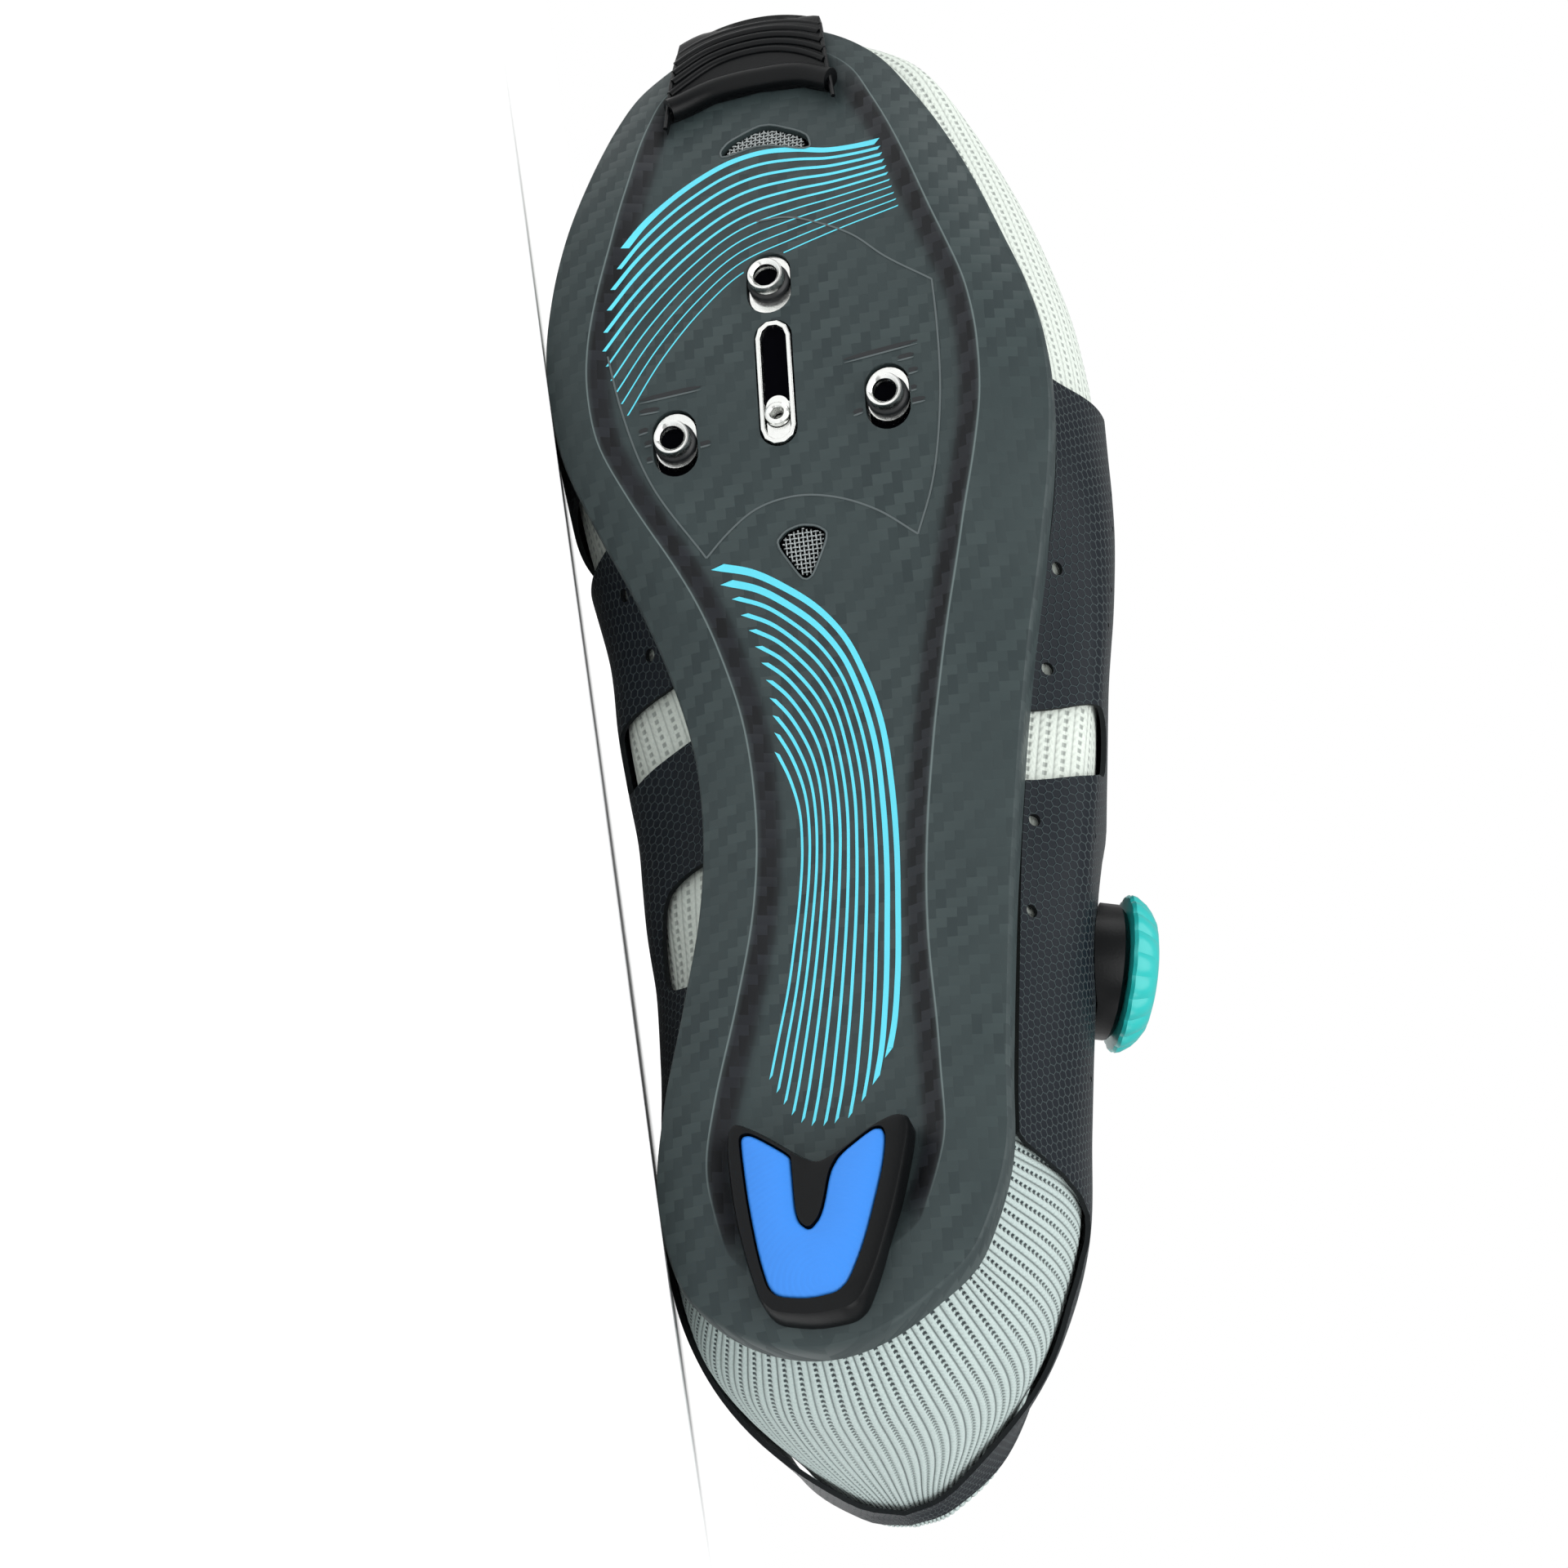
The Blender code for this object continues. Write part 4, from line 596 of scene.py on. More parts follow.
SKEW_SHARE = 0.5 * BOLT_SKEW / LENGTH
SPREAD_SHARE = 0.5 * BOLT_SPREAD / BALL_WIDTH
CLEAT_PLACES = {
    "front": (CLEAT_BACK_STATION + BOLT_REACH / LENGTH, CLEAT_SIDE - 0.01),
    "medial": (CLEAT_BACK_STATION - SKEW_SHARE, CLEAT_SIDE - SPREAD_SHARE),
    "lateral": (CLEAT_BACK_STATION + SKEW_SHARE, CLEAT_SIDE + SPREAD_SHARE),
}
POSE = solved_pose()


# Meshes and pieces
def mesh_of(name, points, faces, **maps):
    """Mesh in the shoe's frame; its UV maps are cloth, in millimetres, and shade, two masks: painted shade
    on the facets and painted highlight along the ridges.
    """
    mesh = bpy.data.meshes.new(name)
    mesh.from_pydata(np.asarray(points, float).reshape(-1, 3).tolist(), [], [tuple(face) for face in faces])
    corners = np.empty(len(mesh.loops), int)
    mesh.loops.foreach_get("vertex_index", corners)
    for label, places in maps.items():
        layer = mesh.uv_layers.new(name=label)
        layer.data.foreach_set("uv", np.asarray(places, float).reshape(-1, 2)[corners].ravel())
    return mesh


def grid_faces(rows, columns, closed=False):
    """Quads of a grid of points, whose columns may close on themselves."""
    across = np.arange(columns if closed else columns - 1)
    after = (across + 1) % columns
    low = np.arange(rows - 1)[:, None] * columns
    quads = np.stack([low + across, low + after, low + columns + after, low + columns + across], axis=-1)
    return quads.reshape(-1, 4)


def tidied(mesh, merge=0.000005):
    """Mesh with its doubled points merged and its faces turned outwards."""
    work = bmesh.new()
    work.from_mesh(mesh)
    bmesh.ops.remove_doubles(work, verts=work.verts, dist=merge)
    bmesh.ops.dissolve_degenerate(work, edges=work.edges, dist=merge)
    bmesh.ops.recalc_face_normals(work, faces=work.faces)
    work.to_mesh(mesh)
    work.free()
    return mesh


def smooth(mesh, angle=35.0):
    mesh.shade_smooth()
    mesh.set_sharp_from_angle(angle=math.radians(angle))
    return mesh


def loose(name, mesh, material=None):
    """Object that isn't finished yet, or only cuts or shapes others."""
    made = bpy.data.objects.new(name, mesh)
    bpy.context.scene.collection.objects.link(made)
    if material is not None:
        mesh.materials.append(material)
    return made


def evaluated(item):
    """Plain mesh of an object as its modifiers leave it."""
    graph = bpy.context.evaluated_depsgraph_get()
    mesh = bpy.data.meshes.new_from_object(item.evaluated_get(graph))
    mesh.transform(item.matrix_world)
    return mesh


def discard(*items):
    for item in items:
        bpy.data.objects.remove(item, do_unlink=True)


def piece(name, mesh, material, replaced=(), place=True):
    """Finished piece: laid down with the shoe, riding on it and standing for its CAD nodes."""
    if place:
        mesh.transform(POSE)
    made = loose(name, mesh)
    if len(mesh.materials) == 0:
        mesh.materials.append(material)
    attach(made, "root")
    if replaced:
        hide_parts(*replaced)
    return made


def carved(mesh, cuts):
    """Mesh after exact Booleans, each given as (operation, mesh)."""
    body = loose("carving", mesh)
    tools = []
    for operation, tool_mesh in cuts:
        tool = loose("carver", tool_mesh)
        tool.hide_render = True
        step = body.modifiers.new("carve", "BOOLEAN")
        step.operation = operation
        step.solver = "EXACT"
        step.object = tool
        tools.append(tool)
    bpy.context.view_layer.update()
    result = evaluated(body)
    discard(body, *tools)
    return result


def prism_mesh(name, outline, low, high, place=None):
    """Straight block between two heights from a flat outline."""
    work = bmesh.new()
    rings = [[work.verts.new((x, y, height)) for x, y in outline] for height in (low, high)]
    count = len(outline)
    work.faces.new(rings[0])
    work.faces.new(rings[1])
    for k in range(count):
        after = (k + 1) % count
        work.faces.new((rings[0][k], rings[0][after], rings[1][after], rings[1][k]))
    work.normal_update()
    bmesh.ops.triangulate(work, faces=[face for face in work.faces if len(face.verts) > 4])
    bmesh.ops.recalc_face_normals(work, faces=work.faces)
    mesh = bpy.data.meshes.new(name)
    work.to_mesh(mesh)
    work.free()
    if place is not None:
        mesh.transform(place)
    return mesh


def joined(name, meshes):
    """One mesh of several, which keeps each one's first material."""
    work = bmesh.new()
    materials = []
    for mesh in meshes:
        first = len(work.faces)
        work.from_mesh(mesh)
        work.faces.ensure_lookup_table()
        coat = mesh.materials[0] if len(mesh.materials) else None
        if coat is not None:
            if coat not in materials:
                materials.append(coat)
            for index in range(first, len(work.faces)):
                work.faces[index].material_index = materials.index(coat)
    made = bpy.data.meshes.new(name)
    work.to_mesh(made)
    work.free()
    for coat in materials:
        made.materials.append(coat)
    return made


def turned_mesh(name, profile, place, steps=64, wave=None):
    """Round piece from a profile of (radius, height); wave shapes its rim as a share of each radius."""
    angles = np.arange(steps) * 2 * math.pi / steps
    rings = []
    for number, (radius, height) in enumerate(profile):
        share = np.ones(steps) if wave is None else wave(number, angles)
        rings.append(np.stack([radius * share * np.cos(angles), radius * share * np.sin(angles),
                               np.full(steps, height)], axis=-1))
    mesh = mesh_of(name, np.array(rings), grid_faces(len(profile), steps, closed=True))
    tidied(mesh, 0.0000005)
    mesh.transform(place)
    return mesh


def stadium(length, width, steps=14):
    """Slot outline with round ends, its length along X."""
    radius = 0.5 * width
    reach = 0.5 * length - radius
    points = []
    for end, start in ((1.0, -0.5), (-1.0, 0.5)):
        for k in range(steps + 1):
            angle = math.pi * (start + k / steps)
            points.append((end * reach + radius * math.cos(angle), radius * math.sin(angle)))
    return points


def smooth_path(points, count, closed=False):
    """Evenly spaced points on a smooth curve through the given ones."""
    points = np.asarray(points, float)
    if closed:
        points = np.concatenate([points[-2:], points, points[:3]])
    along = np.concatenate([[0.0], np.cumsum(np.linalg.norm(np.diff(points, axis=0), axis=1))])
    slopes = np.gradient(points, along, axis=0)
    first, last = (along[2], along[-3]) if closed else (along[0], along[-1])
    where = np.linspace(first, last, count, endpoint=not closed)
    cell = np.clip(np.searchsorted(along, where, side="right") - 1, 0, len(along) - 2)
    step = (along[cell + 1] - along[cell])[:, None]
    u = (where - along[cell])[:, None] / step
    return (points[cell] * (1 + 2 * u) * (1 - u) ** 2 + slopes[cell] * step * u * (1 - u) ** 2
            + points[cell + 1] * u * u * (3 - 2 * u) + slopes[cell + 1] * step * u * u * (u - 1))


# Node helpers
def node(tree, kind, inputs=None, **settings):
    """New node, each input linked to a socket or set to a value."""
    made = tree.nodes.new(kind)
    for key, value in settings.items():
        setattr(made, key, value)
    for key, value in (inputs or {}).items():
        if isinstance(value, bpy.types.NodeSocket):
            tree.links.new(value, made.inputs[key])
        else:
            made.inputs[key].default_value = value
    return made


def maths(tree, operation, a, b=None, c=None, clamp=False):
    inputs = {index: value for index, value in enumerate((a, b, c)) if value is not None}
    return node(tree, "ShaderNodeMath", inputs, operation=operation, use_clamp=clamp).outputs[0]


def vectors(tree, operation, a, b=None, output=0):
    inputs = {index: value for index, value in enumerate((a, b)) if value is not None}
    return node(tree, "ShaderNodeVectorMath", inputs, operation=operation).outputs[output]


def split(tree, vector):
    parts = node(tree, "ShaderNodeSeparateXYZ", {0: vector})
    return parts.outputs[0], parts.outputs[1], parts.outputs[2]


def blend(tree, share, a, b):
    """Colour between a and b."""
    made = node(tree, "ShaderNodeMix", data_type="RGBA")
    for socket, value in ((made.inputs[0], share), (made.inputs[6], a), (made.inputs[7], b)):
        if isinstance(value, bpy.types.NodeSocket):
            tree.links.new(value, socket)
        else:
            socket.default_value = value
    return made.outputs[2]


def ranged(tree, value, low, high, to_low=0.0, to_high=1.0):
    """Value spread smoothly from one range to another, held at its ends."""
    return node(tree, "ShaderNodeMapRange", {0: value, 1: low, 2: high, 3: to_low, 4: to_high},
                interpolation_type="SMOOTHSTEP").outputs[0]


def noise(tree, vector, scale, detail=2.0):
    return node(tree, "ShaderNodeTexNoise", {"Vector": vector, "Scale": scale, "Detail": detail}).outputs[0]


def group(name, inputs, outputs):
    """Empty shader group with its input and output nodes."""
    tree = bpy.data.node_groups.new(name, "ShaderNodeTree")
    for label, kind, value in inputs:
        socket = tree.interface.new_socket(label, in_out="INPUT", socket_type=kind)
        if value is not None:
            socket.default_value = value
    for label, kind in outputs:
        tree.interface.new_socket(label, in_out="OUTPUT", socket_type=kind)
    return tree, tree.nodes.new("NodeGroupInput"), tree.nodes.new("NodeGroupOutput")


def use(tree, shared, inputs):
    """Node that uses a shared group, each input linked or set."""
    made = tree.nodes.new("ShaderNodeGroup")
    made.node_tree = shared
    for key, value in inputs.items():
        if isinstance(value, bpy.types.NodeSocket):
            tree.links.new(value, made.inputs[key])
        else:
            made.inputs[key].default_value = value
    return made


def finish(name, colour, roughness, metallic=0.0, **more):
    """Principled material with its constants on the shader's own sockets."""
    made = bpy.data.materials.new(name)
    made.use_nodes = True
    tree = made.node_tree
    shader = tree.nodes["Principled BSDF"]
    values = {"Base Color": (*colour, 1.0), "Roughness": roughness, "Metallic": metallic, **more}
    for key, value in values.items():
        shader.inputs[key].default_value = value
    return made, tree, shader


def relief(tree, shader, height, distance, strength=1.0):
    bump = node(tree, "ShaderNodeBump", {"Height": height, "Distance": distance, "Strength": strength})
    tree.links.new(bump.outputs[0], shader.inputs["Normal"])


def surface_map(tree, label="cloth"):
    made = tree.nodes.new("ShaderNodeUVMap")
    made.uv_map = label
    return made.outputs[0]


def twill_group():
    """Two-by-two twill of flat tows: which tow lies on top, its shade and its height."""
    tree, given, result = group("carbon twill", (
        ("Place", "NodeSocketVector", None), ("Tow length", "NodeSocketFloat", 2.1),
        ("Tow width", "NodeSocketFloat", 1.93)),
        (("Weft", "NodeSocketFloat"), ("Shade", "NodeSocketFloat"), ("Height", "NodeSocketFloat")))
    u, v, _ = split(tree, given.outputs["Place"])
    x = maths(tree, "DIVIDE", u, given.outputs["Tow length"])
    y = maths(tree, "DIVIDE", v, given.outputs["Tow width"])
    row, column = maths(tree, "FLOOR", x), maths(tree, "FLOOR", y)
    step = maths(tree, "FLOORED_MODULO", maths(tree, "SUBTRACT", column, row), 4.0)
    weft = maths(tree, "LESS_THAN", step, 1.5)
    along_x, along_y = maths(tree, "FRACT", x), maths(tree, "FRACT", y)

    def crown(share):
        centred = maths(tree, "MULTIPLY_ADD", share, 2.0, -1.0)
        return maths(tree, "SUBTRACT", 1.0, maths(tree, "MULTIPLY", centred, centred))

    weft_run = maths(tree, "MULTIPLY", maths(tree, "ADD", step, along_y), 0.5)
    warp_run = maths(tree, "MULTIPLY", maths(tree, "ADD", maths(tree, "SUBTRACT", 3.0, step), along_x), 0.5)
    weft_high = maths(tree, "ADD", crown(along_x), maths(tree, "MULTIPLY", crown(weft_run), 0.7))
    warp_high = maths(tree, "ADD", crown(along_y), maths(tree, "MULTIPLY", crown(warp_run), 0.7))
    height = maths(tree, "ADD", maths(tree, "MULTIPLY", weft_high, weft),
                   maths(tree, "MULTIPLY", warp_high, maths(tree, "SUBTRACT", 1.0, weft)))
    strand = maths(tree, "ADD", maths(tree, "MULTIPLY", row, weft),
                   maths(tree, "MULTIPLY", column, maths(tree, "SUBTRACT", 1.0, weft)))
    float_number = maths(tree, "SUBTRACT", maths(tree, "SUBTRACT", column, row), step)
    seed = node(tree, "ShaderNodeCombineXYZ", {0: strand, 1: float_number, 2: weft}).outputs[0]
    shade = node(tree, "ShaderNodeTexWhiteNoise", {"Vector": seed}, noise_dimensions="3D").outputs[0]
    for key, value in (("Weft", weft), ("Shade", shade), ("Height", height)):
        tree.links.new(value, result.inputs[key])
    return tree


def hexagon_group():
    """Close-packed hexagon cells, each a low dome: its height and the groove between cells."""
    tree, given, result = group("hexagon grain", (
        ("Place", "NodeSocketVector", None), ("Cell", "NodeSocketFloat", 2.0)),
        (("Groove", "NodeSocketFloat"), ("Height", "NodeSocketFloat")))
    rows = (1.0, math.sqrt(3.0), 1.0)
    half = (0.5, 0.5 * math.sqrt(3.0), 0.5)
    cell = given.outputs["Cell"]
    size = node(tree, "ShaderNodeCombineXYZ", {0: cell, 1: cell, 2: 1.0}).outputs[0]
    place = vectors(tree, "DIVIDE", given.outputs["Place"], size)
    offsets = []
    for start in ((0.0, 0.0, 0.0), half):
        moved = vectors(tree, "DIVIDE", vectors(tree, "SUBTRACT", place, start), rows)
        within = vectors(tree, "MULTIPLY", vectors(tree, "FRACTION", moved), rows)
        centred = vectors(tree, "SUBTRACT", within, half)
        offsets.append(vectors(tree, "MULTIPLY", centred, (1.0, 1.0, 0.0)))
    lengths = [vectors(tree, "LENGTH", offset, output=1) for offset in offsets]
    nearer = maths(tree, "LESS_THAN", lengths[0], lengths[1])
    mixed = node(tree, "ShaderNodeMix", data_type="VECTOR")
    tree.links.new(nearer, mixed.inputs[0])
    tree.links.new(offsets[1], mixed.inputs[4])
    tree.links.new(offsets[0], mixed.inputs[5])
    x, y, _ = split(tree, vectors(tree, "ABSOLUTE", mixed.outputs[1]))
    slant = maths(tree, "ADD", maths(tree, "MULTIPLY", x, 0.5),
                  maths(tree, "MULTIPLY", y, 0.5 * math.sqrt(3.0)))
    from_edge = maths(tree, "SUBTRACT", 0.5, maths(tree, "MAXIMUM", x, slant))
    tree.links.new(ranged(tree, from_edge, 0.0, 0.10, 1.0, 0.0), result.inputs["Groove"])
    tree.links.new(ranged(tree, from_edge, 0.0, 0.34), result.inputs["Height"])
    return tree


def knit_group():
    """Ribbed knit: plain valleys and ladders of small holes by turns between its ribs."""
    tree, given, result = group("ribbed knit", (
        ("Across", "NodeSocketFloat", None), ("Along", "NodeSocketFloat", None),
        ("Pitch", "NodeSocketFloat", 1.55), ("Stitch", "NodeSocketFloat", 0.9)),
        (("Lines", "NodeSocketFloat"), ("Holes", "NodeSocketFloat"), ("Height", "NodeSocketFloat")))
    across = maths(tree, "DIVIDE", given.outputs["Across"], given.outputs["Pitch"])
    share = maths(tree, "FRACT", across)
    from_middle = maths(tree, "ABSOLUTE", maths(tree, "MULTIPLY_ADD", share, 2.0, -1.0))
    ladder = maths(tree, "FLOORED_MODULO", maths(tree, "FLOOR", maths(tree, "ADD", across, 0.5)), 2.0)
    plain_valley = maths(tree, "SUBTRACT", 1.0, ladder)
    stitch = maths(tree, "FRACT", maths(tree, "DIVIDE", given.outputs["Along"], given.outputs["Stitch"]))
    bar = maths(tree, "ABSOLUTE", maths(tree, "MULTIPLY_ADD", stitch, 2.0, -1.0))
    gate = ranged(tree, bar, 0.30, 0.60)
    gap = maths(tree, "MULTIPLY", ranged(tree, from_middle, 0.34, 0.60), gate)
    holes = maths(tree, "MULTIPLY", gap, ladder)
    lines = maths(tree, "MULTIPLY", ranged(tree, from_middle, 0.66, 0.90), plain_valley)
    lean = maths(tree, "ADD", stitch, maths(tree, "MULTIPLY", from_middle, 0.6))
    loop = maths(tree, "SINE", maths(tree, "MULTIPLY", lean, 2 * math.pi))
    dome = maths(tree, "SUBTRACT", 1.0, maths(tree, "POWER", from_middle, 2.4))
    tree.links.new(lines, result.inputs["Lines"])
    tree.links.new(holes, result.inputs["Holes"])
    tree.links.new(maths(tree, "ADD", dome, maths(tree, "MULTIPLY", loop, 0.22)), result.inputs["Height"])
    return tree


TWILL = twill_group()
HEXAGONS = hexagon_group()
KNIT = knit_group()


# Materials
def carbon_material():
    """Satin carbon twill of the sole, its weave stronger on the facets, with painted shade darkening the
    facets and a painted highlight along the ridges.
    """
    made, tree, shader = finish("carbon twill", (0.05, 0.075, 0.08), 0.45, **{"Specular IOR Level": 0.24})
    place = surface_map(tree)
    # Two masks from the sole: where painted shade darkens the facets, and where a painted highlight runs
    # along the ridges
    painted_facet_shade, ridge, _ = split(tree, surface_map(tree, "shade"))
    weave = use(tree, TWILL, {"Place": place})
    clouds = noise(tree, place, 0.05, 3.0)
    shade = maths(tree, "ADD", maths(tree, "MULTIPLY", weave.outputs["Weft"], 0.60),
                  maths(tree, "MULTIPLY", weave.outputs["Shade"], 0.40))
    patches = ranged(tree, noise(tree, place, 0.04, 1.0), 0.38, 0.62, 0.30, 1.0)
    contrast = maths(tree, "MAXIMUM", patches, painted_facet_shade)
    swing = maths(tree, "MULTIPLY", maths(tree, "SUBTRACT", shade, 0.5), contrast)
    level = maths(tree, "MULTIPLY_ADD", clouds, 0.7, 0.15)
    mixed = maths(tree, "ADD", level, swing, clamp=True)
    colour = blend(tree, mixed, (0.023, 0.034, 0.036, 1.0), (0.040, 0.056, 0.057, 1.0))
    # Painted shade: a near-black copy of the weave colour, laid on the facets
    deep = blend(tree, mixed, (0.0015, 0.002, 0.003, 1.0), (0.014, 0.016, 0.020, 1.0))
    colour = blend(tree, painted_facet_shade, colour, deep)
    # Painted highlight: a lighter colour laid along the ridges
    tree.links.new(blend(tree, ridge, colour, (0.14, 0.18, 0.18, 1.0)), shader.inputs["Base Color"])
    tree.links.new(ranged(tree, weave.outputs["Weft"], 0.0, 1.0, 0.52, 0.42), shader.inputs["Roughness"])
    relief(tree, shader, weave.outputs["Height"], 0.00006, 0.5)
    return made


def rubber_material(name="black rubber", colour=(0.0025, 0.003, 0.0035), roughness=0.34):
    """Matt black rubber with a fine grain."""
    made, tree, shader = finish(name, colour, roughness, **{"Specular IOR Level": 0.17})
    place = node(tree, "ShaderNodeTexCoord").outputs["Object"]
    relief(tree, shader, noise(tree, place, 1800.0), 0.00005, 0.5)
    return made


def nickel_material():
    """Bright plated steel of the nuts and plates, a little uneven."""
    made, tree, shader = finish("bright nickel", (0.78, 0.79, 0.77), 0.22, 1.0)
    place = node(tree, "ShaderNodeTexCoord").outputs["Object"]
    uneven = noise(tree, place, 900.0)
    tree.links.new(ranged(tree, uneven, 0.2, 0.8, 0.14, 0.32), shader.inputs["Roughness"])
    return made


def plain(name, colour, roughness, **more):
    return finish(name, colour, roughness, **more)[0]


RIB_PITCH = 1.80


def knit_material():
    """Off-white knit: ribs up the heel, columns along the sides and toe."""
    made, tree, shader = finish("pale knit", (0.74, 0.78, 0.78), 0.85, **{
        "Sheen Weight": 0.15, "Specular IOR Level": 0.25})
    along, climb, _ = split(tree, surface_map(tree))
    heel = node(tree, "ShaderNodeAttribute", attribute_name="heel").outputs["Fac"]
    side = maths(tree, "SUBTRACT", 1.0, heel)
    ribs = use(tree, KNIT, {"Across": along, "Along": climb, "Pitch": RIB_PITCH, "Stitch": 1.35})
    columns = use(tree, KNIT, {"Across": climb, "Along": along, "Pitch": 1.80, "Stitch": 1.70})
    fade = ranged(tree, climb, 8.0, 55.0, 1.0, 0.45)
    deep = maths(tree, "ADD", maths(tree, "MULTIPLY", ribs.outputs["Holes"], fade),
                 maths(tree, "MULTIPLY", ribs.outputs["Lines"], 0.55))
    light = maths(tree, "ADD", maths(tree, "MULTIPLY", columns.outputs["Holes"], 0.45),
                  maths(tree, "MULTIPLY", columns.outputs["Lines"], 0.22))
    valley = maths(tree, "ADD", maths(tree, "MULTIPLY", deep, heel), maths(tree, "MULTIPLY", light, side),
                   clamp=True)
    fuzz = noise(tree, surface_map(tree), 2.4, 3.0)
    rib_pale = blend(tree, fuzz, (0.31, 0.39, 0.38, 1.0), (0.52, 0.60, 0.58, 1.0))
    side_pale = blend(tree, fuzz, (0.52, 0.58, 0.54, 1.0), (0.72, 0.77, 0.70, 1.0))
    pale = blend(tree, heel, side_pale, rib_pale)
    tree.links.new(blend(tree, valley, pale, (0.020, 0.034, 0.038, 1.0)), shader.inputs["Base Color"])
    height = maths(tree, "ADD", maths(tree, "MULTIPLY", ribs.outputs["Height"], heel),
                   maths(tree, "MULTIPLY", columns.outputs["Height"], side))
    relief(tree, shader, height, 0.00028, 0.8)
    return made


def wrap_material():
    """Dark satin film with fine hexagon cells."""
    made, tree, shader = finish("hexagon wrap", (0.007, 0.012, 0.018), 0.40, **{
        "Specular IOR Level": 0.16, "Sheen Weight": 0.08, "Sheen Roughness": 0.14,
        "Sheen Tint": (0.80, 0.90, 0.86, 1.0)})
    cells = use(tree, HEXAGONS, {"Place": surface_map(tree), "Cell": 1.8})
    colour = blend(tree, cells.outputs["Groove"], (0.003, 0.006, 0.010, 1.0), (0.050, 0.068, 0.074, 1.0))
    tree.links.new(colour, shader.inputs["Base Color"])
    relief(tree, shader, cells.outputs["Groove"], 0.00022, 1.0)
    return made


# Sole
CHANNEL_STEPS = 16
FILLET_STEPS = 7
BAND_STEPS = 12
ROUND_STEPS = 6
SOLE_FINE_RUNGS = 230


def sole_half(turns, side, grow):
    """Fine half sections of the sole, from the fillet's start round the lip to the shelf inside."""
    def at(inset, height, raised):
        inset = np.broadcast_to(inset, turns.shape)
        plan = inset_point(turns, side, inset)
        return stacked(plan[:, 0], plan[:, 1], height(turn_of(plan[:, 0] / LENGTH)) + raised)

    band = BALL_WIDTH * SOLE.sided(turns, side, "{}_band")
    line = []
    for u in np.linspace(0.0, 1.0, FILLET_STEPS):
        # The fillet leaves the channel level and turns into the steep facet
        inset = band + FACET_WIDTH + FILLET_WIDTH * (1 - u)
        line.append(at(inset, lambda turn, u=u: channel_height(turn)
                       + (facet_height(turn) - channel_height(turn)) * u * u, -grow))
    for u in (0.25, 0.5, 0.75, 0.94):
        line.append(at(band + FACET_WIDTH * (1 - u), lambda turn, u=u: facet_height(turn)
                       + (ridge_height(turn) - facet_height(turn)) * u, -grow))
    for u in (0.010, 0.026, *np.linspace(0.06, 1.0, BAND_STEPS)):
        inset = band * (1 - u) + EDGE_ROUND * u - grow * u
        line.append(at(inset, lambda turn, u=u: ridge_height(turn) * (1 - u) + edge_height(turn) * u
                       - 4 * BAND_CROWN * u * (1 - u), -grow))
    for u in np.linspace(0.0, 1.0, ROUND_STEPS)[1:]:
        inset = EDGE_ROUND * (1 - u) ** 2 - grow
        line.append(at(inset, lambda turn, u=u: edge_height(turn) * (1 - u * u)
                       + side_height(turn) * u * u, -grow * (1 - u)))
    for u in (0.4, 0.8, 0.95):
        line.append(at(0.4 * EDGE_ROUND * u - grow, lambda turn, u=u: side_height(turn) * (1 - u)
                       + lip_height(turn) * u, 0.0))
    line.append(at(0.7 * EDGE_ROUND - grow, lip_height, grow))
    line.append(at(LIP_WIDTH - 0.0003 + grow, lip_height, grow))
    line.append(at(LIP_WIDTH + grow, lambda turn: lip_height(turn) - 0.0003, grow))
    for inset in (LIP_WIDTH + LIP_DRAFT + grow, band + SHELF_REACH):
        line.append(at(inset, lambda turn, inset=inset: plate_top(turn, turns, side, inset), grow))
    return np.stack(line, axis=1)


def plate_top(own, turns, side, inset):
    """Height of the sole's upper face at an inset from the outline, inside the lip."""
    outer = LIP_WIDTH + LIP_DRAFT
    inner = BALL_WIDTH * SOLE.sided(turns, side, "{}_band") + SHELF_REACH
    high = lip_height(own) - LIP_DEPTH
    low = channel_height(own) + PLATE_THICKNESS
    return high + (low - high) * np.clip((inset - outer) / (inner - outer), 0.0, 1.0)


# Where the painted highlight along the ridges fades in from the heel, and over what length
RIDGE_FADE_START = 0.16
RIDGE_FADE_LENGTH = 0.10


def section_masks(turns, columns):
    """How much each point of a half section takes of the painted shade on the facets and of the painted
    highlight along the ridges.
    """
    painted_facet_shade, ridge = np.zeros(columns), np.zeros(columns)
    painted_facet_shade[FILLET_STEPS - 3:FILLET_STEPS + 4] = (0.05, 0.25, 0.75, 1.0, 1.0, 1.0, 0.9)
    ridge[FILLET_STEPS + 3:FILLET_STEPS + 5] = (0.1, 1.0)
    depth = np.clip(1.6 * SOLE.at(turns, "channel"), 0.0, 1.0)
    heel_fade = np.clip((turns - RIDGE_FADE_START) / RIDGE_FADE_LENGTH, 0.0, 1.0)
    return np.stack([depth[:, None] * painted_facet_shade, (heel_fade * np.sqrt(depth))[:, None] * ridge], axis=-1)


